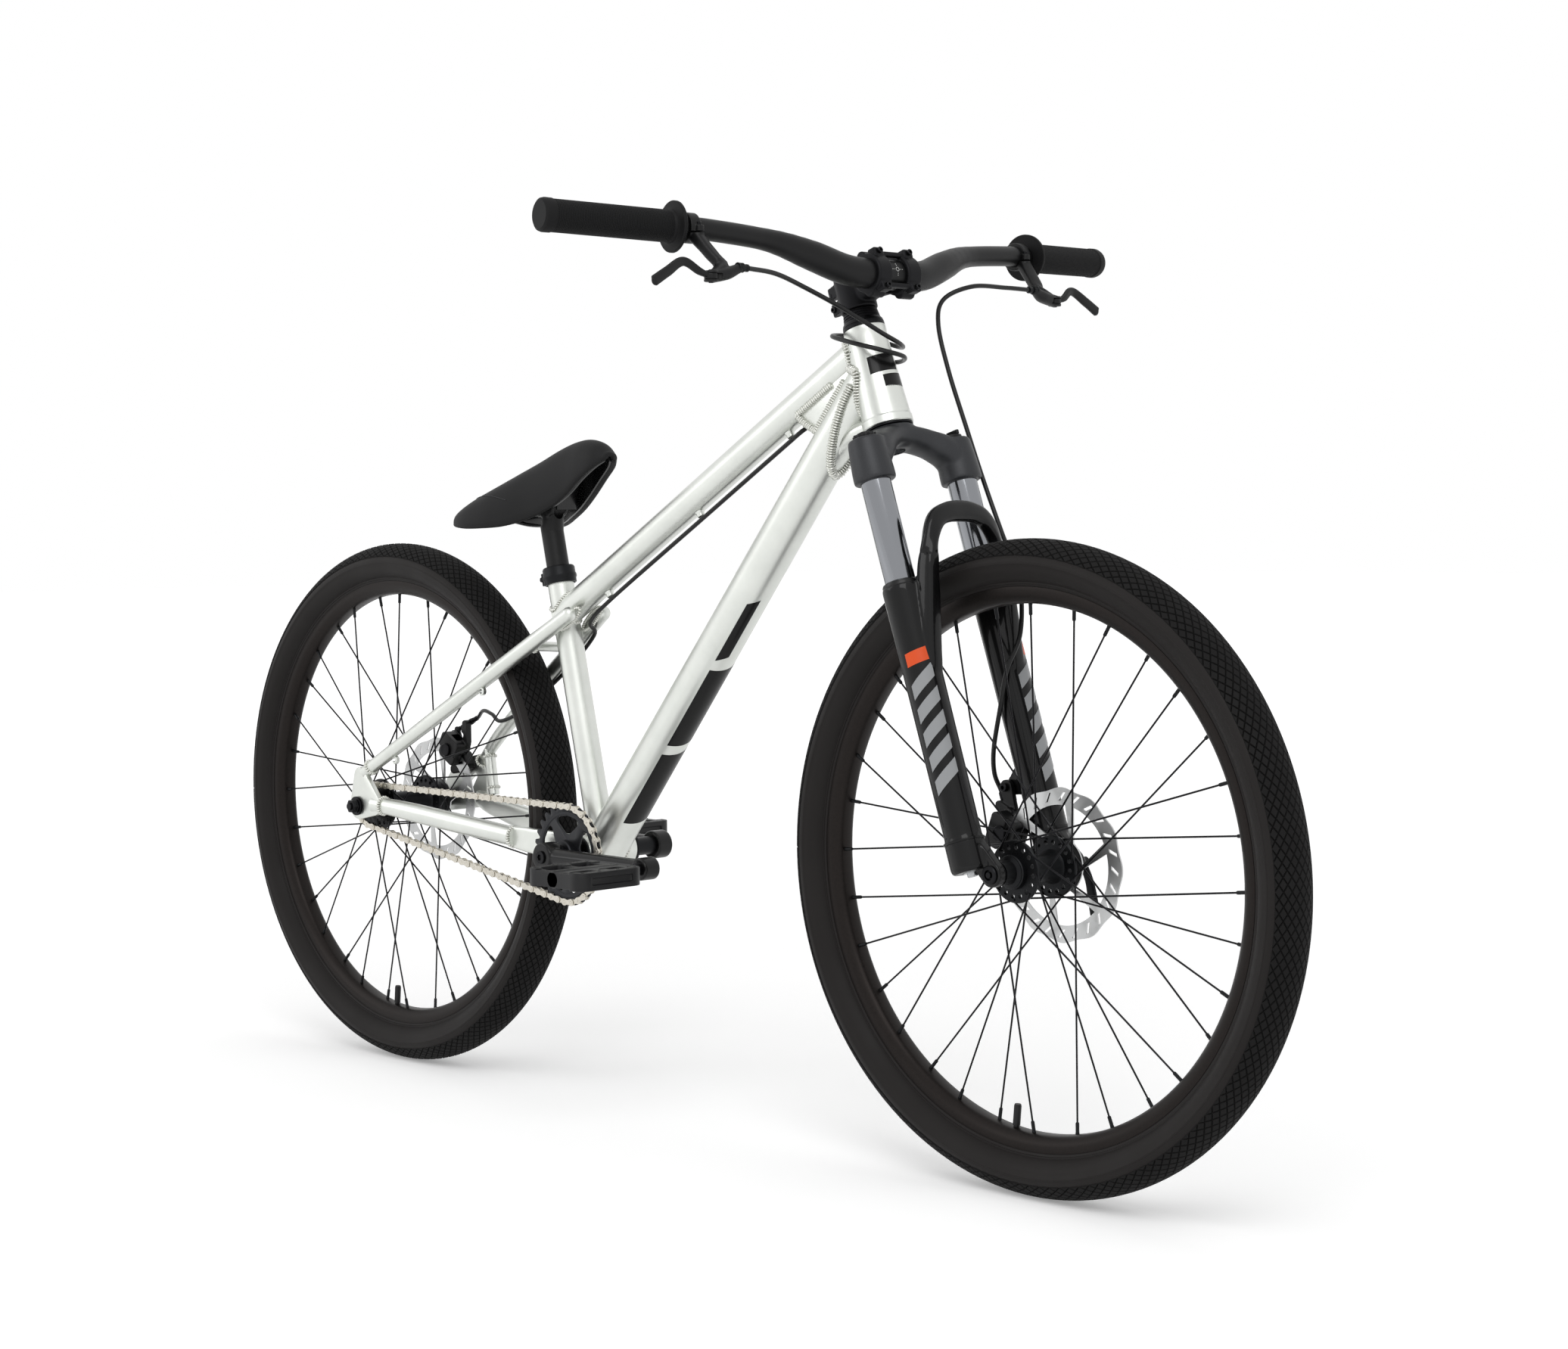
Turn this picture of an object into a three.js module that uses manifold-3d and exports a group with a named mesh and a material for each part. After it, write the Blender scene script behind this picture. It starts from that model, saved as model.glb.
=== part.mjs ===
// Dirt jump bike: hardtail frame, short-travel fork, one gear, cable disc brakes.
// Millimetres. +X points to the front wheel, +Y to the rider's left, +Z up.
// The origin lies on the ground, midway between the two axles.

import * as THREE from 'three';
import { mergeVertices } from 'three/addons/utils/BufferGeometryUtils.js';
import Module from 'manifold-3d';

const wasm = await Module();
wasm.setup();

// Driving sizes of the whole bike
const wheelbase = 1082;
const tyreRadius = 334;
const tyreWidth = 58;
const headAngleDegrees = 71.7;
const seatAngleDegrees = 77;
const forkOffset = 47.8;
const forkTravel = 100;
const crownRoom = 55;
const bottomBracketDrop = 33;
const seatTubeRoom = 68;
const frontDropoutSpacing = 110;
const rearDropoutSpacing = 135;
const axleToCrown = tyreRadius + forkTravel + crownRoom;
const chainstayLength = tyreRadius + seatTubeRoom;

// Clearances and small shares
const gap = 0.3;
const running = 0.06;
const beyond = 4;
const weldDistance = 0.0001;
const half = 0.5;

// Sides of round pieces
const fine = 14;
const round = 12;
const plain = 8;
const small = 6;
const wheelSides = 32;

const yAxis = point(0, 1, 0);
const zAxis = point(0, 0, 1);
const headTilt = radians(90 - headAngleDegrees);

const frontAxle = point(wheelbase * half, 0, tyreRadius);
const rearAxle = point(-wheelbase * half, 0, tyreRadius);
const bottomBracket = point(
  rearAxle.x + Math.sqrt(chainstayLength ** 2 - bottomBracketDrop ** 2),
  0,
  tyreRadius - bottomBracketDrop,
);
const crownRace = frontAxle.clone().sub(tilted(forkOffset, 0, -axleToCrown));
const seatDirection = point(-Math.cos(radians(seatAngleDegrees)), 0, Math.sin(radians(seatAngleDegrees)));

const colours = {
  rawAluminium: { color: 0xc9cbc4, roughness: 0.32, metalness: 0.9 },
  blackPaint: { color: 0x131314, roughness: 0.25, metalness: 0.2 },
  mattBlack: { color: 0x1b1b1c, roughness: 0.6, metalness: 0.2 },
  darkGrey: { color: 0x36373a, roughness: 0.5, metalness: 0.4 },
  darkChrome: { color: 0x4b4e54, roughness: 0.12, metalness: 1 },
  blackAnodised: { color: 0x17181a, roughness: 0.38, metalness: 0.7 },
  steel: { color: 0xb9bbbd, roughness: 0.28, metalness: 1 },
  nickel: { color: 0xcfc8bb, roughness: 0.25, metalness: 1 },
  tyreRubber: { color: 0x1a1a1b, roughness: 0.85, metalness: 0 },
  gripRubber: { color: 0x161617, roughness: 0.8, metalness: 0 },
  saddleCover: { color: 0x1c1c1e, roughness: 0.75, metalness: 0 },
  plastic: { color: 0x1d1e20, roughness: 0.5, metalness: 0 },
};

// Points and angles

function point(x, y, z) {
  return new THREE.Vector3(x, y, z);
}

function radians(degrees) {
  return (degrees * Math.PI) / 180;
}

function mirroredPoint(place) {
  return point(place.x, -place.y, place.z);
}

// A direction given along the fork's own axes: forward, left and up the steerer.
function tilted(forward, left, up) {
  return point(forward, left, up).applyAxisAngle(yAxis, -headTilt);
}

function onFork(forward, left, up) {
  return crownRace.clone().add(tilted(forward, left, up));
}

function onSeatTube(distance) {
  return bottomBracket.clone().addScaledVector(seatDirection, distance);
}

function along(from, direction, distance) {
  return from.clone().addScaledVector(direction, distance);
}

function boreRadius(radius, sides, clearance = running) {
  return (radius + clearance) / Math.cos(Math.PI / sides);
}

function blend(from, to, share) {
  return from + (to - from) * share;
}

function tableAtShare(share, rows) {
  const place = share * (rows.length - 1);
  const low = Math.min(Math.floor(place), rows.length - 2);
  return rows[low].map((value, k) => blend(value, rows[low + 1][k], place - low));
}

// Solids

function facingOut(positions, triangles) {
  let volume = 0;
  const corner = [point(0, 0, 0), point(0, 0, 0), point(0, 0, 0)];
  for (let i = 0; i < triangles.length; i += 3) {
    corner.forEach((place, k) => place.fromArray(positions, triangles[i + k] * 3));
    volume += corner[0].dot(corner[1].clone().cross(corner[2]));
  }
  if (volume > 0) return triangles;
  const flipped = [];
  for (let i = 0; i < triangles.length; i += 3) {
    flipped.push(triangles[i], triangles[i + 2], triangles[i + 1]);
  }
  return flipped;
}

function toSolid(geometry) {
  const bare = geometry.clone();
  bare.deleteAttribute('normal');
  bare.deleteAttribute('uv');
  const merged = mergeVertices(bare, weldDistance);
  const positions = new Float32Array(merged.attributes.position.array);
  const triangles = [];
  const index = merged.index.array;
  for (let i = 0; i < index.length; i += 3) {
    const [a, b, c] = [index[i], index[i + 1], index[i + 2]];
    if (a !== b && b !== c && c !== a) triangles.push(a, b, c);
  }
  const triVerts = new Uint32Array(facingOut(positions, triangles));
  return new wasm.Manifold(new wasm.Mesh({ numProp: 3, vertProperties: positions, triVerts }));
}

function toGeometry(solid) {
  const mesh = solid.getMesh();
  const geometry = new THREE.BufferGeometry();
  geometry.setAttribute('position', new THREE.BufferAttribute(new Float32Array(mesh.vertProperties), 3));
  geometry.setIndex(new THREE.BufferAttribute(new Uint32Array(mesh.triVerts), 1));
  return geometry;
}

function unite(geometries) {
  return toGeometry(geometries.map(toSolid).reduce((sum, next) => sum.add(next)));
}

function cut(geometry, tools) {
  return toGeometry(tools.map(toSolid).reduce((rest, tool) => rest.subtract(tool), toSolid(geometry)));
}

function common(first, second) {
  return toGeometry(toSolid(first).intersect(toSolid(second)));
}

// Keeps the biggest piece where a cut leaves crumbs
function largest(geometry) {
  const pieces = toSolid(geometry).decompose();
  return toGeometry(pieces.reduce((best, piece) => (piece.volume() > best.volume() ? piece : best)));
}

function moved(geometry, place) {
  return geometry.clone().translate(place.x, place.y, place.z);
}

function mirrored(geometry) {
  return geometry.clone().scale(1, -1, 1);
}

// Turns a geometry built upright round Z so that it stands along a direction.
function aimed(geometry, direction, place) {
  const turn = new THREE.Quaternion().setFromUnitVectors(zAxis, direction.clone().normalize());
  return moved(geometry.clone().applyQuaternion(turn), place);
}

function upright(geometry) {
  return geometry.clone().rotateX(Math.PI * half);
}

// Turned pieces from pairs of radius and distance along the axis
function turnedY(profile, sides) {
  return new THREE.LatheGeometry(profile.map(([radius, reach]) => new THREE.Vector2(radius, reach)), sides);
}

function turnedZ(profile, sides) {
  return upright(turnedY(profile, sides));
}

function ringProfile(inner, outer, low, high) {
  return [[inner, low], [outer, low], [outer, high], [inner, high], [inner, low]];
}

function rodProfile(radius, low, high) {
  return [[0, low], [radius, low], [radius, high], [0, high]];
}

function rod(from, to, fromRadius, toRadius = fromRadius, sides = round) {
  const reach = to.clone().sub(from);
  const profile = [[0, 0], [fromRadius, 0], [toRadius, reach.length()], [0, reach.length()]];
  return aimed(turnedZ(profile, sides), reach, from);
}

function lyingRod(radius, place, fromY, toY, sides = round) {
  return moved(turnedY(rodProfile(radius, fromY, toY), sides), point(place.x, 0, place.z));
}

// A round cord along a smooth line through points
function cord(points, radius, step) {
  const outline = [];
  for (let k = 0; k < plain; k += 1) {
    const angle = (k / plain) * Math.PI * 2;
    outline.push(new THREE.Vector2(Math.cos(angle) * radius, Math.sin(angle) * radius));
  }
  const path = new THREE.CatmullRomCurve3(points, false, 'centripetal');
  const steps = Math.round(path.getLength() / step);
  return new THREE.ExtrudeGeometry(new THREE.Shape(outline), { steps, extrudePath: path, bevelEnabled: false });
}

function shapeFrom(outline) {
  return new THREE.Shape(outline.map(([a, b]) => new THREE.Vector2(a, b)));
}

// A plate whose outline is given in X and Z
function sidePlate(outline, fromY, toY, holes = []) {
  const shape = shapeFrom(outline);
  shape.holes = holes.map(shapeFrom);
  const plate = new THREE.ExtrudeGeometry(shape, { depth: toY - fromY, bevelEnabled: false });
  return upright(plate).translate(0, toY, 0);
}

// A plate whose outline is given in X and Y
function flatPlate(outline, fromZ, toZ) {
  const plate = new THREE.ExtrudeGeometry(shapeFrom(outline), { depth: toZ - fromZ, bevelEnabled: false });
  return plate.translate(0, 0, fromZ);
}

function block(sizeX, sizeY, sizeZ, place) {
  return moved(new THREE.BoxGeometry(sizeX, sizeY, sizeZ), place);
}

function arc(centreA, centreB, radius, fromDegrees, toDegrees, steps) {
  const outline = [];
  for (let k = 0; k <= steps; k += 1) {
    const angle = radians(fromDegrees + ((toDegrees - fromDegrees) * k) / steps);
    outline.push([centreA + Math.cos(angle) * radius, centreB + Math.sin(angle) * radius]);
  }
  return outline;
}

function circle(centreA, centreB, radius, sides) {
  return arc(centreA, centreB, radius, 0, 360, sides).slice(1);
}

// The tight outline round circles given as [a, b, radius]
function wrapped(circles, sides = small) {
  const points = circles.flatMap(([a, b, radius]) => circle(a, b, radius, sides));
  points.sort((p, q) => p[0] - q[0] || p[1] - q[1]);
  const turn = (o, p, q) => (p[0] - o[0]) * (q[1] - o[1]) - (p[1] - o[1]) * (q[0] - o[0]);
  const chain = (list) => {
    const kept = [];
    list.forEach((next) => {
      while (kept.length > 1 && turn(kept[kept.length - 2], kept[kept.length - 1], next) <= 0) kept.pop();
      kept.push(next);
    });
    return kept.slice(0, -1);
  };
  return [...chain(points), ...chain([...points].reverse())];
}

function roundedBox(halfX, halfY, corner, steps) {
  return [
    ...arc(halfX - corner, halfY - corner, corner, 0, 90, steps),
    ...arc(corner - halfX, halfY - corner, corner, 90, 180, steps),
    ...arc(corner - halfX, corner - halfY, corner, 180, 270, steps),
    ...arc(halfX - corner, corner - halfY, corner, 270, 360, steps),
  ];
}

// A closed skin over a row of rings that all have the same number of points
function skin(rings) {
  const count = rings[0].length;
  const positions = rings.flat().flatMap((place) => [place.x, place.y, place.z]);
  const triangles = [];
  for (let row = 0; row + 1 < rings.length; row += 1) {
    for (let k = 0; k < count; k += 1) {
      const a = row * count + k;
      const b = row * count + ((k + 1) % count);
      triangles.push(a, b, a + count, b, b + count, a + count);
    }
  }
  const last = (rings.length - 1) * count;
  const faces = (ring) => THREE.ShapeUtils.triangulateShape(flattened(ring), []);
  faces(rings[0]).forEach(([a, b, c]) => triangles.push(a, c, b));
  faces(rings[rings.length - 1]).forEach(([a, b, c]) => triangles.push(last + a, last + b, last + c));
  const geometry = new THREE.BufferGeometry();
  geometry.setAttribute('position', new THREE.BufferAttribute(new Float32Array(positions), 3));
  geometry.setIndex(triangles);
  return geometry;
}

function flattened(ring) {
  const normal = point(0, 0, 0);
  const sum = ring.reduce((total, place) => total.add(place), point(0, 0, 0));
  const centre = sum.divideScalar(ring.length);
  ring.forEach((place, k) => {
    const next = ring[(k + 1) % ring.length];
    normal.add(place.clone().sub(centre).cross(next.clone().sub(centre)));
  });
  normal.normalize();
  const across = ring[0].clone().sub(centre).normalize();
  const other = normal.clone().cross(across);
  return ring.map((place) => {
    const offset = place.clone().sub(centre);
    return new THREE.Vector2(offset.dot(across), offset.dot(other));
  });
}

// An oval section swept along points; rows give half width and half height along the line.
function swept(points, rows, sides, steps, squareShare = 1) {
  const path = new THREE.CatmullRomCurve3(points, false, 'centripetal');
  const rings = [];
  for (let step = 0; step <= steps; step += 1) {
    const share = step / steps;
    const centre = path.getPointAt(share);
    const ahead = path.getTangentAt(share);
    const across = zAxis.clone().cross(ahead).normalize();
    if (across.lengthSq() < half) across.copy(yAxis);
    const upward = ahead.clone().cross(across);
    const [wide, tall] = tableAtShare(share, rows);
    const ring = [];
    for (let k = 0; k < sides; k += 1) {
      const angle = (k / sides) * Math.PI * 2 + Math.PI / sides;
      const cos = Math.cos(angle);
      const sin = Math.sin(angle);
      const a = Math.sign(cos) * Math.abs(cos) ** squareShare * wide;
      const b = Math.sign(sin) * Math.abs(sin) ** squareShare * tall;
      ring.push(centre.clone().addScaledVector(across, a).addScaledVector(upward, b));
    }
    rings.push(ring);
  }
  return skin(rings);
}

const bike = new THREE.Group();
bike.name = 'dirt_jump_bike';

// Flat faces are joined, which leaves the shape as it is
function named(group, name, geometry, look) {
  const closed = toGeometry(toSolid(geometry).asOriginal().simplify(weldDistance));
  closed.computeVertexNormals();
  const mesh = new THREE.Mesh(closed, new THREE.MeshStandardMaterial(look));
  mesh.name = name;
  group.add(mesh);
  return mesh;
}

function placedGroup(name, place, tilt = 0) {
  const group = new THREE.Group();
  group.name = name;
  group.position.copy(place);
  group.rotation.y = -tilt;
  bike.add(group);
  return group;
}

const frameGroup = placedGroup('frame_group', point(0, 0, 0));
const cockpitGroup = placedGroup('cockpit_group', point(0, 0, 0));
const forkGroup = placedGroup('fork_group', crownRace, headTilt);
const frontWheelGroup = placedGroup('front_wheel_group', frontAxle);
const rearWheelGroup = placedGroup('rear_wheel_group', rearAxle);
const crankGroup = placedGroup('crank_group', bottomBracket);

// Puts a piece drawn on the fork's axes into the bike's axes
function fromFork(geometry) {
  return moved(geometry.clone().rotateY(-headTilt), crownRace);
}

// Frame tubes
const headTube = {
  low: 2.65, height: 110.35, ringHeight: 9.35, lipHeight: 1, lowRadius: 26.5, ringRadius: 27.3, highRadius: 22.5,
  taperShare: 0.78, ventForward: -8, ventRadius: 1, ventDrops: [15, 23],
};
const steererRadius = 14.3;
const spindleRadius = 11;
const headBore = { cupRadius: 20.5, depth: 12, middleRadius: 17.5 };
const downTube = { lowRadius: 26, highRadius: 23, headPlace: 66 };
const chinGusset = { length: 130, rootLength: 110, drop: 18, halfWidth: 15, back: 14, heel: 9, chin: 40 };
const topTube = { radius: 17, headPlace: 95.8, seatPlace: 287.3 };
const throatGusset = { halfWidth: 11, start: 30, topLength: 120, downLength: 95 };
const guide = { shares: [0.143, 0.457, 0.747], seatRadius: 5, footRadius: 4.2, sunk: 1, height: 5.5 };
const seatTube = { radius: 15.9, high: 343.8 };
const shell = { radius: 20, halfWidth: 36.5, cupRadius: 18, cupWidth: 4 };
const seatPost = { radius: 13.6, low: 190, high: 408.5, wall: 2.2, capHeight: 30, neckDrop: 14, neckRadius: 10 };

const headHigh = headTube.low + headTube.height;
const downTubeHead = onFork(0, 0, downTube.headPlace);
const topTubeHead = onFork(0, 0, topTube.headPlace);
const topTubeSeat = onSeatTube(topTube.seatPlace);
const downDirection = downTubeHead.clone().sub(bottomBracket).normalize();
const topDirection = topTubeHead.clone().sub(topTubeSeat).normalize();
const underTop = point(topDirection.z, 0, -topDirection.x);
const underDown = point(downDirection.z, 0, -downDirection.x);

function headTubeBody(grow) {
  const ringTop = headTube.low + headTube.ringHeight;
  return fromFork(turnedZ([
    [0, headTube.low - grow],
    [headTube.ringRadius + grow, headTube.low - grow],
    [headTube.ringRadius + grow, ringTop],
    [headTube.lowRadius + grow, ringTop + headTube.lipHeight],
    [headTube.highRadius + grow, blend(headTube.low, headHigh, headTube.taperShare)],
    [headTube.highRadius + grow, headHigh + grow],
    [0, headHigh + grow],
  ], fine));
}

function downTubeBody(grow) {
  return rod(bottomBracket, downTubeHead, downTube.lowRadius + grow, downTube.highRadius + grow, fine);
}

function topTubeBody(grow) {
  return rod(topTubeSeat, topTubeHead, topTube.radius + grow, topTube.radius + grow, round);
}

function seatTubeBody(grow) {
  return rod(bottomBracket, onSeatTube(seatTube.high), seatTube.radius + grow, seatTube.radius + grow, fine);
}

function shellBody(grow) {
  const width = shell.halfWidth + grow;
  return lyingRod(shell.radius + grow, bottomBracket, -width, width, fine);
}

function makeHeadTube() {
  const bore = fromFork(turnedZ([
    [0, headTube.low - beyond],
    [headBore.cupRadius, headTube.low - beyond],
    [headBore.cupRadius, headTube.low + headBore.depth],
    [headBore.middleRadius, headTube.low + headBore.depth],
    [headBore.middleRadius, headHigh - headBore.depth],
    [headBore.cupRadius, headHigh - headBore.depth],
    [headBore.cupRadius, headHigh + beyond],
    [0, headHigh + beyond],
  ], fine));
  const vents = headTube.ventDrops.map((drop) => {
    const inside = onFork(headTube.ventForward, 0, headHigh - drop);
    const outside = onFork(headTube.ventForward, -headTube.highRadius - beyond, headHigh - drop);
    return rod(outside, inside, headTube.ventRadius, headTube.ventRadius, small);
  });
  named(frameGroup, 'head_tube', cut(headTubeBody(0), [bore, ...vents]), colours.rawAluminium);
}

// The tube and the plate that fills the angle under it at the head tube
function makeDownTube() {
  const tip = along(along(downTubeHead, downDirection, -chinGusset.length), underDown, chinGusset.drop);
  const heel = onFork(-chinGusset.back, 0, chinGusset.heel);
  const chin = onFork(-chinGusset.back, 0, chinGusset.chin);
  const root = along(downTubeHead, downDirection, -chinGusset.rootLength);
  const outline = [tip, heel, chin, root].map((place) => [place.x, place.z]);
  const gusset = sidePlate(outline, -chinGusset.halfWidth, chinGusset.halfWidth);
  const solid = unite([downTubeBody(0), gusset]);
  named(frameGroup, 'down_tube', largest(cut(solid, [headTubeBody(gap), shellBody(gap)])), colours.rawAluminium);
}

function guidePlace(share) {
  return topTubeSeat.clone().lerp(topTubeHead, share);
}

// The tube, its cable guides and the plate that fills the angle between both tubes at the head
function makeTopTube() {
  const guides = guide.shares.map((share) => {
    const seat = along(guidePlace(share), underTop, topTube.radius - guide.sunk);
    const foot = along(guidePlace(share), underTop, topTube.radius + guide.height);
    return rod(seat, foot, guide.seatRadius, guide.footRadius, small);
  });
  const throat = [
    along(topTubeHead, topDirection, -throatGusset.start),
    along(topTubeHead, topDirection, -throatGusset.topLength),
    along(downTubeHead, downDirection, -throatGusset.downLength),
    along(downTubeHead, downDirection, -throatGusset.start),
  ].map((place) => [place.x, place.z]);
  const gusset = sidePlate(throat, -throatGusset.halfWidth, throatGusset.halfWidth);
  const solid = unite([topTubeBody(0), gusset, ...guides]);
  const tools = [headTubeBody(gap), seatTubeBody(gap), downTubeBody(gap)];
  named(frameGroup, 'top_tube', largest(cut(solid, tools)), colours.rawAluminium);
}

function makeSeatTube() {
  const bore = boreRadius(seatPost.radius, fine);
  const hollow = rod(onSeatTube(shell.radius), onSeatTube(seatTube.high + beyond), bore, bore, fine);
  const solid = cut(seatTubeBody(0), [hollow, shellBody(gap), downTubeBody(gap)]);
  named(frameGroup, 'seat_tube', largest(solid), colours.rawAluminium);
}

function makeShell() {
  const width = shell.halfWidth + shell.cupWidth;
  const cups = lyingRod(shell.cupRadius, bottomBracket, -width, width, fine);
  const bore = lyingRod(boreRadius(spindleRadius, fine), bottomBracket, -2 * width, 2 * width, fine);
  named(frameGroup, 'bb_shell', cut(unite([shellBody(0), cups]), [bore]), colours.rawAluminium);
}

// Rear triangle
const stay = { seatRadius: 9, chainRadius: 11, plateInner: rearDropoutSpacing * half, plate: 7 };
const cluster = { ahead: 38.4, rise: 1.5, spread: 26.3 };
const rightStayEnd = { ahead: 10, rise: 43, spread: 69.5 };
const leftStayEnd = { ahead: 73, rise: 50, spread: 69.5 };
const leftStayBend = { share: 0.72, spread: 50 };
const axleRadius = 5;
const axleSlot = { reach: 40 };
const stayBridge = { ahead: 308, rightRise: 210, leftRise: 205, radius: 6, spread: 34 };
const brakeStrut = { ahead: 100, rise: 69, spread: 61, footAhead: 114, footRise: 12, footSpread: 57, radius: 7 };
const hook = { inner: 2.9, outer: 5.2, halfWidth: 2.5, mouth: 3, shares: [0.4, 0.844], drop: 9.6 };

// Rows for the chain stays: share from axle to bottom bracket, spread, rise over that line
const rightTubeRows = [[0.072, 70, 6], [0.177, 63.5, 6], [0.452, 50, 3], [0.711, 42, 1.5]];
const rightYokeRows = [[0.696, 42, 1.5], [0.781, 41.5, 2], [0.861, 37, 1.5], [0.971, 27, 0]];
const leftTubeRows = [
  [0.172, 68, 10], [0.237, 60, 8], [0.377, 50, 5.5], [0.519, 43, 3], [0.751, 40, 2], [0.861, 36, 1.5], [0.971, 27, 0],
];
const rightTubeSizes = [[10, 12], [10, 12]];
const rightYokeSizes = [[4.5, 13], [4.5, 15], [4.5, 17], [5, 18]];
const leftTubeSizes = [[7, 11], [7, 14], [6.5, 15], [5, 16]];
const flatShare = 0.45;
const ovalShare = 0.6;

// Plates at the rear axle: circles as distance ahead of the axle, rise over it and radius
const rightPlateCircles = [[5, 38, 12], [0, 0, 17], [36, 3, 13]];
const rightBossCircles = [[13, -18, 7], [29, -4, 8]];
const leftPlateCircles = [[0, 0, 17], [73, 50, 11], [73, 4, 12], [26, 42, 10]];

const stayTop = onSeatTube(topTube.seatPlace).add(point(cluster.ahead, 0, cluster.rise));

function stayLine(end, side) {
  const from = point(stayTop.x, side * cluster.spread, stayTop.z);
  const to = point(rearAxle.x + end.ahead, side * end.spread, rearAxle.z + end.rise);
  return [from, to];
}

function leftStayPoints() {
  const [from, to] = stayLine(leftStayEnd, 1);
  const bend = from.clone().lerp(to, leftStayBend.share);
  bend.y = leftStayBend.spread;
  return [from, bend, to];
}

function leftStayBody(grow) {
  const radius = stay.seatRadius + grow;
  return swept(leftStayPoints(), [[radius, radius], [radius, radius]], plain, small);
}

function chainLine(rows, side) {
  return rows.map(([share, spread, rise]) => {
    const place = rearAxle.clone().lerp(bottomBracket, share);
    return point(place.x, side * spread, place.z + rise);
  });
}

function atRearAxle(circles, grow = 0) {
  return wrapped(circles.map(([ahead, rise, radius]) => [rearAxle.x + ahead, rearAxle.z + rise, radius + grow]));
}

function axleSlotTool(from, to) {
  const size = axleRadius + gap;
  return sidePlate([
    ...arc(rearAxle.x, rearAxle.z, size, -90, 90, small),
    [rearAxle.x - axleSlot.reach, rearAxle.z + size],
    [rearAxle.x - axleSlot.reach, rearAxle.z - size],
  ], from - beyond, to + beyond);
}

function hookOn(line, share) {
  const place = line[0].clone().lerp(line[1], share);
  const ring = cut(
    turnedY(ringProfile(hook.inner, hook.outer, -hook.halfWidth, hook.halfWidth), plain),
    [block(2 * hook.outer, beyond * hook.mouth, hook.mouth, point(-hook.outer, 0, 0))],
  );
  return moved(ring, point(place.x, place.y, place.z - stay.seatRadius - hook.drop + hook.outer));
}

function rightPlateBody(grow) {
  const outer = -stay.plateInner - stay.plate;
  return sidePlate(atRearAxle(rightPlateCircles, grow), outer - grow, -stay.plateInner + grow);
}

function stayCap(place) {
  return moved(new THREE.SphereGeometry(stay.seatRadius, plain, small), place);
}

function makeRightStays() {
  const line = stayLine(rightStayEnd, -1);
  const neck = rod(line[0], line[1], stay.seatRadius, stay.seatRadius, plain);
  const bridgeX = rearAxle.x + stayBridge.ahead;
  const bridge = rod(
    point(bridgeX, -stayBridge.spread, rearAxle.z + stayBridge.rightRise),
    point(bridgeX, stayBridge.spread, rearAxle.z + stayBridge.leftRise),
    stayBridge.radius, stayBridge.radius, plain,
  );
  const hooks = hook.shares.map((share) => hookOn(line, share));
  const tools = [topTubeBody(gap), seatTubeBody(gap), leftStayBody(gap), rightPlateBody(gap)];
  named(frameGroup, 'seatstay_right', largest(cut(unite([neck, stayCap(line[0]), bridge, ...hooks]), tools)), colours.rawAluminium);
}

function makeRightChainstay() {
  const outer = -stay.plateInner - stay.plate;
  const tube = swept(chainLine(rightTubeRows, -1), rightTubeSizes, plain, small);
  const yoke = swept(chainLine(rightYokeRows, -1), rightYokeSizes, plain, small, flatShare);
  const boss = sidePlate(atRearAxle(rightBossCircles), outer, -stay.plateInner);
  const slot = axleSlotTool(outer, -stay.plateInner);
  const solid = cut(unite([rightPlateBody(0), tube, yoke, boss]), [slot, shellBody(gap), seatTubeBody(gap)]);
  named(frameGroup, 'chainstay_right', largest(solid), colours.rawAluminium);
}

function leftPlateBody(grow) {
  return sidePlate(atRearAxle(leftPlateCircles, grow), stay.plateInner - grow, stay.plateInner + stay.plate + grow);
}

function leftChainTube(grow) {
  const sizes = leftTubeSizes.map(([wide, tall]) => [wide + grow, tall + grow]);
  return swept(chainLine(leftTubeRows, 1), sizes, plain, round, ovalShare);
}

function makeLeftStays() {
  const top = point(rearAxle.x + brakeStrut.ahead, brakeStrut.spread, rearAxle.z + brakeStrut.rise);
  const foot = point(rearAxle.x + brakeStrut.footAhead, brakeStrut.footSpread, rearAxle.z + brakeStrut.footRise);
  const strut = rod(top, foot, brakeStrut.radius, brakeStrut.radius, plain);
  const tools = [topTubeBody(gap), seatTubeBody(gap), leftPlateBody(gap), leftChainTube(gap)];
  named(frameGroup, 'seatstay_left', largest(cut(unite([leftStayBody(0), stayCap(leftStayPoints()[0]), strut]), tools)), colours.rawAluminium);
}

function makeLeftChainstay() {
  const slot = axleSlotTool(stay.plateInner, stay.plateInner + stay.plate);
  const tools = [slot, shellBody(gap), seatTubeBody(gap), downTubeBody(gap)];
  const solid = cut(unite([leftPlateBody(0), leftChainTube(0)]), tools);
  named(frameGroup, 'chainstay_left', largest(solid), colours.rawAluminium);
}

// Seat clamp, post and saddle
const clamp = {
  low: 325, high: 345.5, radius: 19.6, waist: 1, waistHeight: 8, earLength: 11, earWidth: 15, earHeight: 15,
  earReach: 2.5, boltReach: 3.5, boltRadius: 3.4, boltHalf: 10.5, slit: 1.6,
};
const pivot = { drop: 2, ahead: 5.25, radius: 16, halfWidth: 13 };
const saddlePivot = along(onSeatTube(seatPost.high), zAxis, pivot.radius).add(point(pivot.ahead, 0, -pivot.drop));

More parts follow.
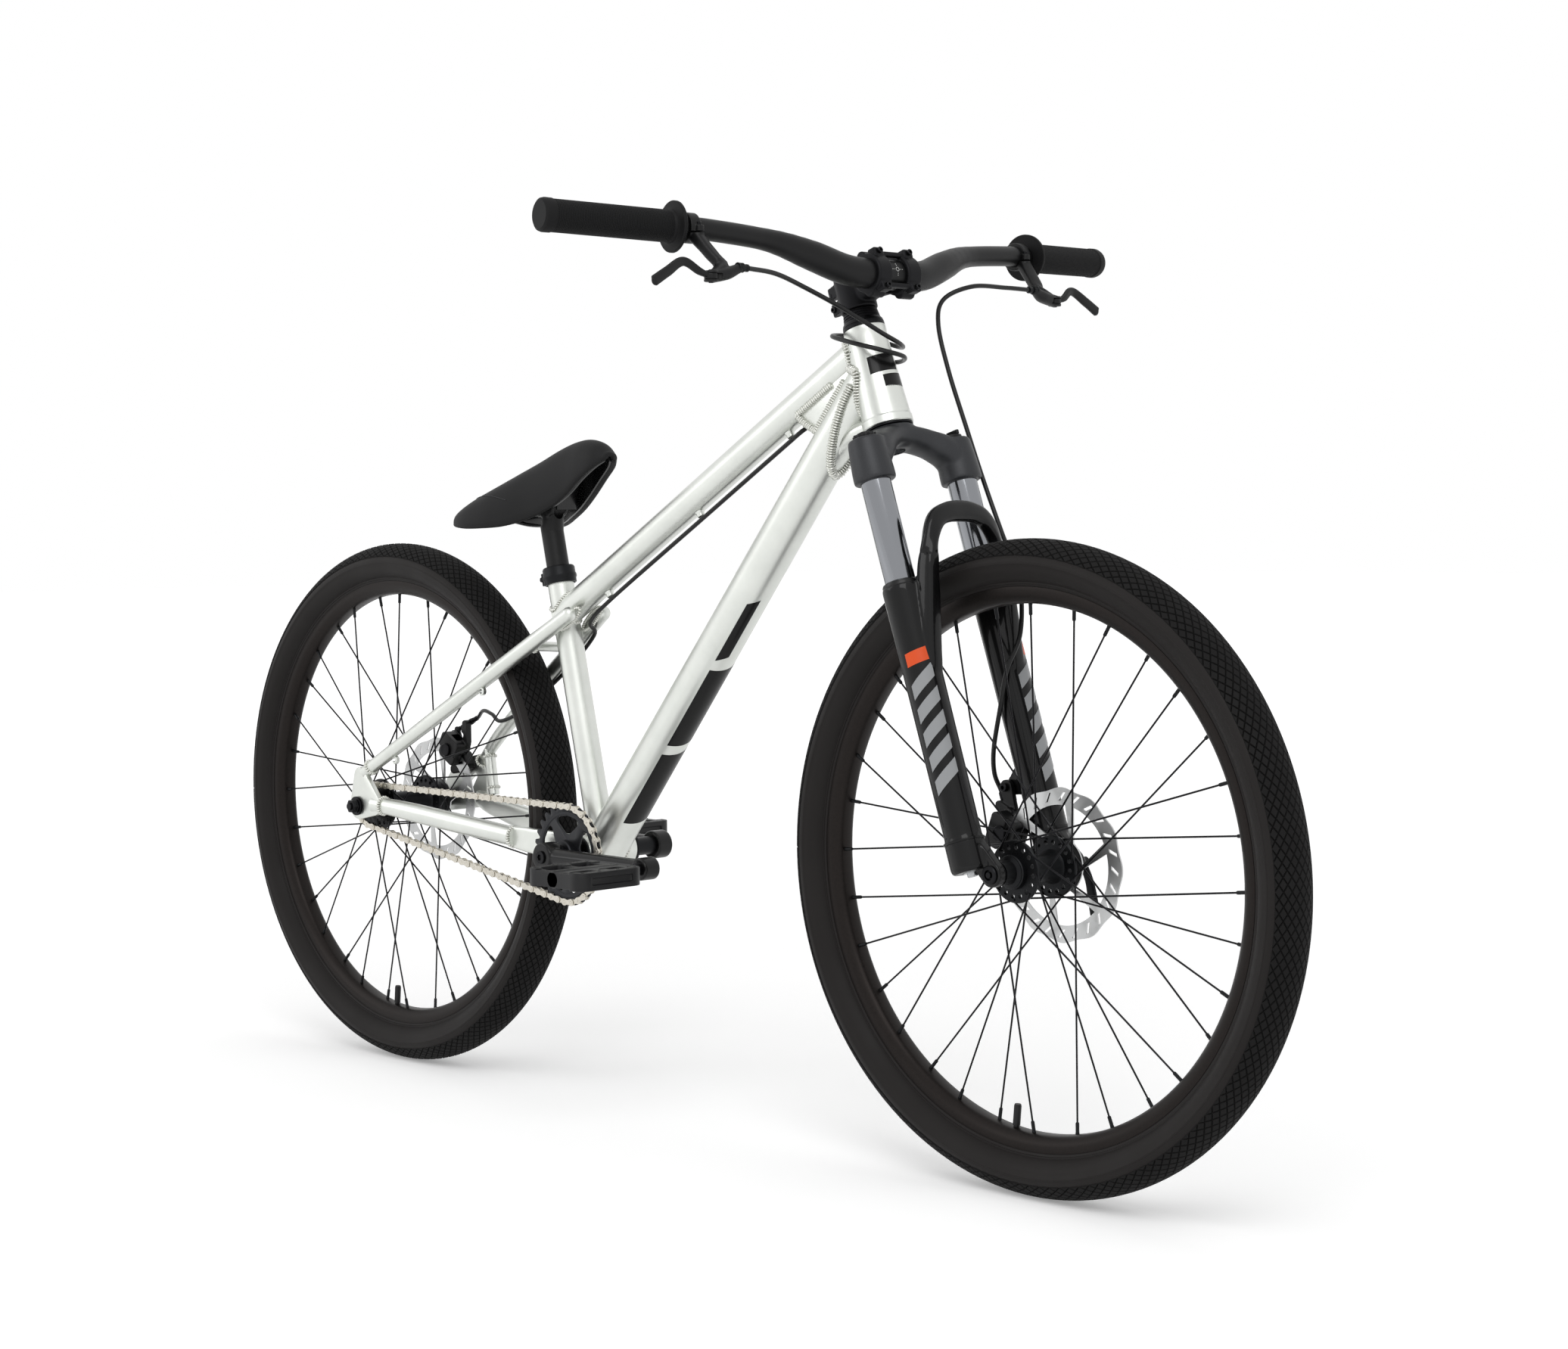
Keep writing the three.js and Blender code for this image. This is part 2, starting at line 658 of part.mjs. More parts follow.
function makeSeatClamp() {
  const collar = turnedZ([
    [seatTube.radius + gap, clamp.low],
    [clamp.radius, clamp.low],
    [clamp.radius + clamp.waist, clamp.low + clamp.waistHeight],
    [clamp.radius, clamp.high],
    [seatPost.radius + gap, clamp.high],
    [seatPost.radius + gap, seatTube.high + gap],
    [seatTube.radius + gap, seatTube.high + gap],
    [seatTube.radius + gap, clamp.low],
  ], fine);
  const middle = blend(clamp.low, clamp.high, half);
  const ears = block(clamp.earLength, clamp.earWidth, clamp.earHeight,
    point(-clamp.radius - clamp.earReach, 0, middle));
  const boltPlace = point(-clamp.radius - clamp.boltReach, 0, middle);
  const bolt = moved(turnedY(rodProfile(clamp.boltRadius, -clamp.boltHalf, clamp.boltHalf), small), boltPlace);
  const slit = block(2 * clamp.earLength, clamp.slit, 2 * clamp.high - 2 * clamp.low,
    point(-clamp.radius - clamp.earReach, 0, middle));
  const inside = turnedZ(rodProfile(seatTube.radius + gap, clamp.low - beyond, seatTube.high + gap), fine);
  const hole = turnedZ(rodProfile(seatPost.radius + gap, clamp.low - beyond, clamp.high + beyond), fine);
  const solid = unite([cut(unite([collar, ears]), [slit, inside, hole]), bolt]);
  named(frameGroup, 'seat_clamp', aimed(solid, seatDirection, bottomBracket), colours.blackAnodised);
}

function makeSeatPost() {
  const neckLow = onSeatTube(seatPost.high - seatPost.neckDrop);
  const postHigh = onSeatTube(seatPost.high - seatPost.wall);
  const post = rod(onSeatTube(seatPost.low), postHigh, seatPost.radius, seatPost.radius, fine);
  const inner = seatPost.radius - seatPost.wall;
  const bore = rod(onSeatTube(seatPost.low - beyond), onSeatTube(seatPost.high - seatPost.capHeight),
    inner, inner, plain);
  const drum = lyingRod(pivot.radius, saddlePivot, -pivot.halfWidth, pivot.halfWidth, fine);
  const neck = rod(neckLow, saddlePivot, seatPost.radius, seatPost.neckRadius, fine);
  named(frameGroup, 'seatpost', cut(unite([post, neck, drum]), [bore]), colours.blackAnodised);
}

// Rows from tail to nose: distance ahead of the pivot, half width, top and bottom over the pivot
const saddleRows = [
  [-130, 44, -7, -16], [-119, 60, 3, -22], [-95, 67, 16, -25], [-65, 64, 29, -25], [-35, 54, 42, -23],
  [-5, 42, 54, -16], [25, 33, 66, -5], [51, 27, 73.5, 10], [75, 24, 76, 29], [95, 20, 71.5, 43], [108, 12, 61, 52],
];
const saddleShape = {
  padding: 9, paddingShare: 0.6, crownShare: 0.8, shellThickness: 2.6, firstShell: 1, lastShell: 10,
  outerSides: 10, innerSides: 6, cheekLength: 44, cheekWidth: 34, cheekHeight: 50, cheekRise: 14, room: 80,
};

function saddleRing(row, inset, sides) {
  const [ahead, halfWidth, top, bottom] = row;
  const ring = [];
  for (let k = 0; k <= sides; k += 1) {
    const angle = (k / sides) * Math.PI;
    const rise = Math.sin(angle) ** saddleShape.crownShare;
    ring.push(saddlePivot.clone().add(
      point(ahead, Math.cos(angle) * (halfWidth - inset), bottom + rise * (top - bottom - inset)),
    ));
  }
  return ring;
}

function paddingAt(row) {
  return Math.min(saddleShape.padding, (row[2] - row[3]) * saddleShape.paddingShare);
}

function makeSaddle() {
  const { outerSides, innerSides } = saddleShape;
  const coverRings = saddleRows.map((row) => {
    return [...saddleRing(row, 0, outerSides), ...saddleRing(row, paddingAt(row), innerSides).reverse()];
  });
  named(frameGroup, 'saddle_cover', skin(coverRings), colours.saddleCover);
  const shellRings = [];
  const fullRings = [];
  saddleRows.slice(saddleShape.firstShell, saddleShape.lastShell).forEach((row) => {
    const depth = paddingAt(row) + 2 * gap;
    const outer = saddleRing(row, depth, innerSides);
    const inner = saddleRing(row, depth + saddleShape.shellThickness, innerSides).reverse();
    shellRings.push([...outer, ...inner].reverse());
    fullRings.push([...outer].reverse());
  });
  const cheeks = block(saddleShape.cheekLength, saddleShape.cheekWidth, saddleShape.cheekHeight,
    along(saddlePivot, zAxis, saddleShape.cheekRise));
  const drum = lyingRod(boreRadius(pivot.radius, fine, gap), saddlePivot, -saddleShape.room, saddleShape.room, fine);
  const under = block(saddleShape.room, saddleShape.room, saddleShape.room,
    along(saddlePivot, zAxis, -saddleShape.room * half - 2 * gap));
  const mount = cut(common(cheeks, skin(fullRings)), [drum, under]);
  named(frameGroup, 'saddle_base', largest(unite([skin(shellRings), mount])), colours.plastic);
}

// Headset, fork and stem, drawn on the fork's axes
const crown = {
  low: -67, top: -20, collarHeight: 27, shoulderHeight: 5, flare: 6.2, lowFlare: 5.2, waistFlare: 5, topFlare: 3,
  bossRadius: 24, bossRootRadius: 17, bossLow: -24, bossMiddle: -14, bossHigh: -5, boreTop: -28, seatRadius: 13.4,
  armHalfWidth: 19, armHalfHeight: 15, middleHalfWidth: 21, middleHalfHeight: 11, hollowRadius: 11.5, hollowDepth: 60,
  steererRoom: 3,
};
const fork = {
  legSpread: 65, legForward: 23.7, stanchionRadius: 16, stanchionWall: 2, wiperRoom: 12, stanchionReach: 151,
  legRadius: 20, legSwell: 0.6, footRise: 9, collarRise: 43, bushingDrop: 60, armThickness: 11,
};
const sealTop = crown.low - forkTravel - fork.wiperRoom;
const legLow = -axleToCrown + fork.footRise;
const collarTop = -axleToCrown + fork.collarRise;
const stanchionLow = sealTop - fork.stanchionReach;
const stem = {
  low: 134, height: 40, reach: 50.4, barRise: 20.6, clampRadius: 20, bandRadius: 21, bandInner: 12, neckHalfWidth: 16,
  boltRise: 19, lugRadius: 6, splitAhead: 2, bridgeAhead: 15, bridge: [10, 40, 9], headRadius: 3.4, headHeight: 5,
  headAhead: 2.5, headSpread: 17, rearBack: 24, rear: [13, 22, 36], rearRises: [11, 29], rearBoltHalf: 14, slit: 1.8,
};
const stemHigh = stem.low + stem.height;
const barUp = stem.low + stem.barRise;
const headset = { race: 0.5, flangeHeight: 5, shoulder: 2, height: 9, spacerLow: 20, spacerHigh: 18 };
const topCap = { radius: 17.5, edge: 0.5, rise: 2, height: 5, topRadius: 15 };
const leftLeg = point(fork.legForward, fork.legSpread, 0);
const rightLeg = mirroredPoint(leftLeg);

function makeHeadset() {
  const cup = headBore.cupRadius - gap;
  const inner = boreRadius(steererRadius, fine);
  const flange = headTube.ringRadius - 1;
  const lowerTop = headTube.low + headBore.depth - gap;
  const lower = turnedZ([
    [inner, headset.race], [flange, headset.race], [flange, headTube.low - gap], [cup, headTube.low - gap],
    [cup, lowerTop], [inner, lowerTop], [inner, headset.race],
  ], fine);
  named(frameGroup, 'headset_lower_cup', fromFork(lower), colours.blackAnodised);
  const seat = headHigh - headBore.depth + gap;
  const high = headHigh + headset.height;
  const upper = turnedZ([
    [inner, seat], [cup, seat], [cup, headHigh + gap], [headTube.highRadius, headHigh + gap],
    [headTube.highRadius, headHigh + headset.flangeHeight], [headTube.highRadius - headset.shoulder, high],
    [inner, high], [inner, seat],
  ], fine);
  named(frameGroup, 'headset_upper_cup', fromFork(upper), colours.blackAnodised);
  const spacerInner = steererRadius + gap;
  const spacer = turnedZ([
    [spacerInner, high + gap], [headset.spacerLow, high + gap], [headset.spacerHigh, stem.low - gap],
    [spacerInner, stem.low - gap], [spacerInner, high + gap],
  ], fine);
  named(forkGroup, 'headset_spacer', spacer, colours.blackAnodised);
}

// The arms fall from the middle to both collars
function makeCrown() {
  const steerer = turnedZ(rodProfile(steererRadius, crown.bossMiddle, stemHigh - crown.steererRoom), fine);
  const flange = headTube.ringRadius - 1;
  const boss = turnedZ([
    [0, crown.bossLow], [crown.bossRootRadius, crown.bossLow], [crown.bossRadius, crown.bossMiddle],
    [flange, crown.bossHigh], [flange, 0], [0, 0],
  ], fine);
  const line = [[0.3, 0, -12], [0.5, 30, -17], [0.96, 50, -31], [1, fork.legSpread + beyond, -44]];
  const place = ([share, left, up]) => point(share * fork.legForward, left, up);
  const leftArm = line.map(place);
  const arm = swept([...leftArm.map(mirroredPoint).reverse(), ...leftArm.slice(1)], [
    [crown.armHalfWidth, crown.armHalfHeight],
    [crown.middleHalfWidth, crown.middleHalfHeight],
    [crown.armHalfWidth, crown.armHalfHeight],
  ], plain, plain);
  const collar = turnedZ([
    [0, crown.low],
    [fork.stanchionRadius + crown.lowFlare, crown.low],
    [fork.stanchionRadius + crown.flare, crown.low + crown.collarHeight],
    [fork.stanchionRadius + crown.waistFlare, crown.top - crown.shoulderHeight],
    [fork.stanchionRadius + crown.topFlare, crown.top],
    [0, crown.top],
  ], fine);
  const bore = turnedZ(rodProfile(fork.stanchionRadius + gap, 2 * crown.low, crown.boreTop), fine);
  const seat = turnedZ(rodProfile(crown.seatRadius, crown.top, -crown.top), fine);
  const hollow = turnedZ(rodProfile(crown.hollowRadius, -crown.hollowDepth, crown.hollowDepth), plain);
  const legs = [rightLeg, leftLeg];
  const solid = unite([boss, arm, steerer, ...legs.map((leg) => moved(collar, leg))]);
  const tools = legs.flatMap((leg) => [moved(bore, leg), moved(seat, leg)]);
  named(forkGroup, 'fork_crown', cut(solid, [...tools, hollow]), colours.darkGrey);
}

const knob = { teeth: 10, radius: 12.6, waistRadius: 11.4, preloadHeight: 6, lockoutHeight: 5, fin: [24, 4, 5] };

function knobBody(height) {
  const outline = [];
  for (let k = 0; k < knob.teeth * 2; k += 1) {
    const angle = (k / knob.teeth) * Math.PI;
    const radius = k % 2 ? knob.radius : knob.waistRadius;
    outline.push([Math.cos(angle) * radius, Math.sin(angle) * radius]);
  }
  return flatPlate(outline, crown.top + gap, crown.top + gap + height);
}

function makeForkUppers() {
  const top = crown.boreTop - gap;
  const outer = turnedZ(rodProfile(fork.stanchionRadius, stanchionLow, top), fine);
  const innerRadius = fork.stanchionRadius - fork.stanchionWall;
  const inner = turnedZ(rodProfile(innerRadius, stanchionLow - beyond, top - fork.wiperRoom), plain);
  const tube = cut(outer, [inner]);
  named(forkGroup, 'stanchion_right', moved(tube, rightLeg), colours.darkChrome);
  named(forkGroup, 'stanchion_left', moved(tube, leftLeg), colours.darkChrome);
  const finPlace = point(0, 0, crown.top + gap + knob.lockoutHeight + knob.fin[2] * half - gap);
  const fin = block(...knob.fin, finPlace);
  named(forkGroup, 'preload_knob', moved(knobBody(knob.preloadHeight), rightLeg), colours.mattBlack);
  named(forkGroup, 'lockout_knob', moved(unite([knobBody(knob.lockoutHeight), fin]), leftLeg), colours.mattBlack);
}

const frontRotorY = 42.5;
const rearRotorY = 52;
const rotor = {
  radius: 80, thickness: 1.8, waves: 12, waveDepth: 3.2, arms: 6, armHalfAngle: 7, lean: 10, innerRadius: 28,
  outerRadius: 61.5, boreRadius: 17.3, slotLow: 66, slotHigh: 74, slotAngles: [-3, 1.5, 5, 1],
};
const axleBoss = point(forkOffset, 0, -axleToCrown);
const frontAxle15 = { radius: 7.4, headRadius: 9.5, headWidth: 1.6, capRadius: 9, capWidth: 3 };
const frontAxleRadius = frontAxle15.radius;
const legOuter = frontDropoutSpacing * half + gap + fork.armThickness;

// The ridge runs from the leg's front up into the arch: forward, left, over the seal, half width, half height
const archRows = [
  [25, 63, -130, 9, 10], [34, 61.5, -96, 11, 12], [44, 59, -56, 12, 12], [54, 54.5, -16, 12, 12],
  [61.5, 47.5, 28, 11, 11], [65.5, 36, 52, 8.5, 8.5], [66.5, 18, 61, 7.5, 10.5], [66.5, 0, 63, 7.5, 11.5],
];
const dropoutCircles = [[0, 0, 13], [-18.1, 31, 11], [-16.1, 39, 9]];
const brakeTab = { circles: [[14, 91, 9], [-10, 97, 8], [14, 115, 7]], inner: 58.2, outer: 66 };

function legBody(grow) {
  const radius = fork.legRadius + fork.legSwell + grow;
  return turnedZ([
    [0, legLow], [fork.legRadius - 1, legLow], [radius, legLow + beyond], [radius, collarTop],
    [radius - 2 * fork.legSwell, collarTop + beyond], [fork.legRadius + grow, sealTop - fork.bushingDrop],
    [radius, sealTop - fork.wiperRoom], [fork.legRadius - 1, sealTop], [0, sealTop],
  ], fine);
}

function lowerLeg(side) {
  const tube = moved(legBody(0), point(fork.legForward, side * fork.legSpread, 0));
  const line = archRows.map(([ahead, left, up]) => point(ahead, side * left, sealTop + up));
  const ridge = swept(line, archRows.map((row) => row.slice(3)), plain, plain);
  const inner = frontDropoutSpacing * half + gap;
  const circles = dropoutCircles.map(([ahead, up, radius]) => [axleBoss.x + ahead, axleBoss.z + up, radius]);
  const arm = sidePlate(wrapped(circles), Math.min(side * inner, side * legOuter), Math.max(side * inner, side * legOuter));
  return unite([tube, ridge, arm]);
}

function makeLowers() {
  const depth = stanchionLow - forkTravel - fork.footRise;
  const bore = turnedZ(rodProfile(boreRadius(fork.stanchionRadius, fine), depth, sealTop + beyond), fine);
  const bores = [rightLeg, leftLeg].map((leg) => moved(bore, leg));
  const shaft = moved(turnedY(rodProfile(frontAxleRadius + gap, -2 * legOuter, 2 * legOuter), round), axleBoss);
  const circles = brakeTab.circles.map(([ahead, up, radius]) => [ahead, axleBoss.z + up, radius]);
  const tab = sidePlate(wrapped(circles), brakeTab.inner, brakeTab.outer);
  const solid = cut(unite([lowerLeg(-1), lowerLeg(1), tab]), [...bores, shaft]);
  named(forkGroup, 'fork_lowers', solid, colours.blackPaint);
}

function makeFrontAxle() {
  const face = legOuter + gap;
  const shaft = turnedY([
    [0, -face - frontAxle15.headWidth], [frontAxle15.headRadius, -face - frontAxle15.headWidth],
    [frontAxle15.headRadius, -face], [frontAxleRadius, -face], [frontAxleRadius, face],
    [frontAxle15.capRadius, face], [frontAxle15.capRadius, face + frontAxle15.capWidth], [0, face + frontAxle15.capWidth],
  ], round);
  named(forkGroup, 'front_axle', moved(shaft, axleBoss), colours.blackAnodised);
}

// The cam lever that closes the front axle, drawn round the middle of its cam
const axleLever = { camRadius: 5, camHalf: 6, rows: [[2.6, 4.5], [2.2, 5.5], [2, 6.5]] };
const axleLeverPlace = point(axleBoss.x, legOuter + 2 * gap + frontAxle15.capWidth + axleLever.camRadius, axleBoss.z);

function makeAxleLever() {
  const cam = turnedY(rodProfile(axleLever.camRadius, -axleLever.camHalf, axleLever.camHalf), plain);
  const line = [point(0, 0, 0), point(0, 3, -20), point(0, 1, -40), point(0, -1, -56)];
  const blade = swept(line, axleLever.rows.map(([wide, tall]) => [tall, wide]), small, small);
  const solid = unite([cam.rotateZ(Math.PI * half), blade]);
  named(forkGroup, 'front_axle_lever', moved(solid, axleLeverPlace), colours.blackAnodised);
}

// Wheels
const rim = { depth: 17.5, drop: 48, halfWidth: 15, bed: 7, wallDrop: 11, wall: 2.4, edge: 0.6, baseHalf: 6 };
const rimOuter = tyreRadius - rim.drop;
const rimInner = rimOuter - rim.depth;
const rimBed = rimOuter - rim.bed;
const tyre = {
  beadOuter: 12.2, beadInner: 9.5, beadDrop: 2, lowerDrop: 40, wideDrop: 27, shoulderDrop: 11, shoulder: 5.5,
  crownHalf: 8, wall: 4, crownWall: 7, wallDrop: 29,
};
const spoke = { radius: 1, crossAngle: 67.5, pairAngle: 22.5, perSide: 8, rimSpread: 3 };
const flange = { radius: 32, halfThickness: 2, grip: 1 };
const hubBody = { endRadius: 11, neckRadius: 18, waistRadius: 14, seatRadius: 22, rotorSeat: 16.8, slope: 1 };
const frontHub = { flanges: [-28, 28], rightNeck: -42, waistHalf: 10 };
const rearHub = { flanges: [-37, 33], rightEnd: -47.5, rightRadius: 15, waistHalf: 15, endRadius: 10 };

function makeTyre(group, name) {
  const wide = tyreWidth * half;
  const side = [
    [rimOuter - tyre.beadDrop, tyre.beadOuter], [tyreRadius - tyre.lowerDrop, wide - tyre.wall],
    [tyreRadius - tyre.wideDrop, wide], [tyreRadius - tyre.shoulderDrop, wide - tyre.shoulder],
    [tyreRadius, tyre.crownHalf],
  ];
  const inside = [
    [tyreRadius - tyre.crownWall, 0], [tyreRadius - tyre.wallDrop, wide - tyre.wall],
    [rimOuter - tyre.beadDrop, tyre.beadInner],
  ];
  const mirror = (rows) => rows.map(([radius, y]) => [radius, -y]).reverse();
  const profile = [...side, ...mirror(side), ...mirror(inside), ...inside.slice(1), side[0]];
  named(group, name, turnedY(profile, wheelSides), colours.tyreRubber);
}

function makeRim(group, name) {
  const wide = rim.halfWidth;
  const low = rimOuter - rim.wallDrop;
  const profile = [
    [rimInner, -rim.baseHalf], [low, rim.edge - wide], [rimOuter, -wide], [rimBed, rim.wall - wide],
    [rimBed, wide - rim.wall], [rimOuter, wide], [low, wide - rim.edge], [rimInner, rim.baseHalf],
    [rimInner, -rim.baseHalf],
  ];
  named(group, name, turnedY(profile, wheelSides), colours.blackAnodised);
}

// Half of the spokes leave each flange on its outside and half on its inside.
function spokeSet(side, flangeY) {
  const facet = (Math.PI * 2) / wheelSides;
  const rimRadius = (degrees) => {
    const turn = ((radians(degrees) % facet) + facet) % facet;
    return (rimInner * Math.cos(facet * half)) / Math.cos(turn - facet * half) - gap;
  };
  const place = (radius, degrees, y) => {
    const angle = radians(degrees);
    return point(Math.sin(angle) * radius, y, Math.cos(angle) * radius);
  };
  const pieces = [];
  const start = side > 0 ? spoke.pairAngle * half : 0;
  for (let k = 0; k < spoke.perSide; k += 1) {
    [[0, spoke.crossAngle, 1], [spoke.pairAngle, -spoke.crossAngle, -1]].forEach(([shift, cross, face]) => {
      const degrees = (360 / spoke.perSide) * k + shift + start;
      const hubY = flangeY + side * face * (flange.halfThickness - spoke.radius * half);
      const hub = place(flange.radius - flange.grip, degrees, hubY);
      const end = place(rimRadius(degrees + cross), degrees + cross, side * spoke.rimSpread);
      pieces.push(rod(hub, end, spoke.radius, spoke.radius, 3));
    });
  }
  return pieces;
}

function rotorGeometry(y) {
  const outline = [];
  for (let k = 0; k < 2 * rotor.waves; k += 1) {
    const angle = (k / rotor.waves) * Math.PI;
    const radius = rotor.radius - (k % 2 ? 0 : rotor.waveDepth);
    outline.push([Math.cos(angle) * radius, Math.sin(angle) * radius]);
  }
  const holes = [circle(0, 0, rotor.boreRadius, fine).reverse()];
  for (let k = 0; k < rotor.arms; k += 1) {
    const from = (360 / rotor.arms) * k + rotor.armHalfAngle;
    const to = (360 / rotor.arms) * (k + 1) - rotor.armHalfAngle;
    const outer = arc(0, 0, rotor.outerRadius, from - rotor.lean, to - rotor.lean, 4);
    const inner = arc(0, 0, rotor.innerRadius, to, from, 1);
    holes.push([...outer, ...inner].reverse());
  }
  for (let k = 0; k < rotor.waves; k += 1) {
    const angle = (360 / rotor.waves) * (k + half);
    const [low, highNear, highFar, lowFar] = rotor.slotAngles.map((turn) => angle + turn);
    const corner = (radius, degrees) => arc(0, 0, radius, degrees, degrees, 1)[0];
    holes.push([
      corner(rotor.slotLow, low), corner(rotor.slotHigh, highNear),
      corner(rotor.slotHigh, highFar), corner(rotor.slotLow, lowFar),
    ]);
  }
  return sidePlate(outline, y - rotor.thickness * half, y + rotor.thickness * half, holes);
}

// The hub's turned profile from its left flange to its left end, with the step that carries the rotor
function leftHubProfile(flangeY, rotorY, endRadius, end) {
  const seat = rotorY - rotor.thickness * half - gap;
  return [
    [flange.radius, flangeY - flange.halfThickness], [flange.radius, flangeY + flange.halfThickness],
    [hubBody.seatRadius, flangeY + flange.halfThickness + hubBody.slope], [hubBody.seatRadius, seat],
    [hubBody.rotorSeat, seat], [hubBody.rotorSeat, rotorY + rotor.thickness * 2], [endRadius, rotorY + beyond],
    [endRadius, end],
  ];
}

function makeFrontWheel() {
  makeTyre(frontWheelGroup, 'front_tyre');
  makeRim(frontWheelGroup, 'front_rim');
  const end = frontDropoutSpacing * half;
  const bore = boreRadius(frontAxleRadius, round);
  const [rightFlange, leftFlange] = frontHub.flanges;
  const body = turnedY([
    [bore, -end], [hubBody.endRadius, -end], [hubBody.endRadius, frontHub.rightNeck],
    [hubBody.neckRadius, frontHub.rightNeck + beyond], [flange.radius, rightFlange - flange.halfThickness],
    [flange.radius, rightFlange + flange.halfThickness], [hubBody.waistRadius, -frontHub.waistHalf],
    [hubBody.waistRadius, frontHub.waistHalf],
    ...leftHubProfile(leftFlange, frontRotorY, hubBody.endRadius, end), [bore, end], [bore, -end],
  ], round);
  const hub = unite([body, ...spokeSet(-1, rightFlange), ...spokeSet(1, leftFlange)]);
  named(frontWheelGroup, 'front_hub', hub, colours.blackAnodised);
  named(frontWheelGroup, 'front_rotor', rotorGeometry(frontRotorY), colours.steel);
}

const axleNut = { radius: 12, width: 5, endRadius: 8.5, endWidth: 7.5, edge: 1.5 };

function makeRearWheel() {
  makeTyre(rearWheelGroup, 'rear_tyre');
  makeRim(rearWheelGroup, 'rear_rim');
  const bore = boreRadius(axleRadius, round);
  const end = rearDropoutSpacing * half - gap;
  const [rightFlange, leftFlange] = rearHub.flanges;
  const body = turnedY([
    [bore, rearHub.rightEnd], [rearHub.rightRadius, rearHub.rightEnd],
    [flange.radius, rightFlange - flange.halfThickness], [flange.radius, rightFlange + flange.halfThickness],
    [hubBody.waistRadius, -rearHub.waistHalf], [hubBody.waistRadius, rearHub.waistHalf],
    ...leftHubProfile(leftFlange, rearRotorY, rearHub.endRadius, end), [bore, end], [bore, rearHub.rightEnd],
  ], round);
  const hub = unite([body, ...spokeSet(-1, rightFlange), ...spokeSet(1, leftFlange)]);
  named(rearWheelGroup, 'rear_hub', hub, colours.blackAnodised);
  named(rearWheelGroup, 'rear_rotor', rotorGeometry(rearRotorY), colours.steel);
  const face = stay.plateInner + stay.plate + gap;
  const nut = face + axleNut.width;
  const tip = nut + axleNut.endWidth;
  const halfProfile = [
    [axleRadius, face], [axleNut.radius, face], [axleNut.radius, nut], [axleNut.endRadius, nut],
    [axleNut.endRadius, tip], [axleNut.endRadius - axleNut.edge, tip + axleNut.edge], [0, tip + axleNut.edge],
  ];
  const axle = turnedY([...halfProfile.map(([radius, y]) => [radius, -y]).reverse(), ...halfProfile], round);
  named(rearWheelGroup, 'rear_axle', axle, colours.blackAnodised);
}

// Brakes: the caliper's body straddles the rotor; its arm turns beside it when the cable pulls
const caliper = { halfAlong: 20, halfOut: 12, corner: 6, centreOut: 77, slotHalf: 1.6, barrelRadius: 3.6 };
const caliperArm = { thickness: 3, hubRadius: 8, anchorRadius: 4.5 };
const frontCaliper = {
  angle: 140, inner: 27.5, outer: 58, tip: [-14, 18], stop: [-71.8, 60, 87], stopWay: [0, 0, -1],
  ear: [[-63.8, 73, 5.5], [-71.8, 82, 4.5]],
};
const rearCaliper = {
  angle: 60, inner: 38, outer: 60, tip: [-8, 24], stop: [67, 62, 105], stopWay: [-0.92, 0, -0.38],
  ear: [[57, 76, 7], [59, 100, 5]],
};
const caliperEar = { depth: 8, length: 10 };

function caliperCentre(spec) {
  const angle = radians(spec.angle);
  return [Math.cos(angle) * caliper.centreOut, Math.sin(angle) * caliper.centreOut];
}

// Drawn round the axle, in side view
function caliperBody(spec, rotorY, bracket) {
  const angle = radians(spec.angle);
  const [x, z] = caliperCentre(spec);
  const corners = [[-1, -1], [1, -1], [1, 1], [-1, 1]].map(([alongSign, outSign]) => {
    const a = alongSign * (caliper.halfAlong - caliper.corner);
    const b = outSign * (caliper.halfOut + caliper.corner * half);
    return [x - Math.sin(angle) * a + Math.cos(angle) * b, z + Math.cos(angle) * a + Math.sin(angle) * b, caliper.corner];
  });
  const body = sidePlate(wrapped(corners, plain), spec.inner, spec.outer);
  const slot = turnedY(rodProfile(rotor.radius + 2, rotorY - caliper.slotHalf, rotorY + caliper.slotHalf), wheelSides);
  const ear = sidePlate(wrapped(spec.ear), spec.outer - caliperEar.depth, spec.outer);
  const stop = point(...spec.stop);
  const way = point(...spec.stopWay);
  const barrel = rod(stop, along(stop, way, caliperEar.length), caliper.barrelRadius, caliper.barrelRadius, small);
  return unite([cut(body, [slot]), ear, barrel, bracket]);
}

function caliperArmBody(spec) {
  const [x, z] = caliperCentre(spec);
  const tip = [x + spec.tip[0], z + spec.tip[1], caliperArm.anchorRadius];
  const from = spec.outer + gap;
  return sidePlate(wrapped([[x, z, caliperArm.hubRadius], tip], plain), from, from + caliperArm.thickness);
}

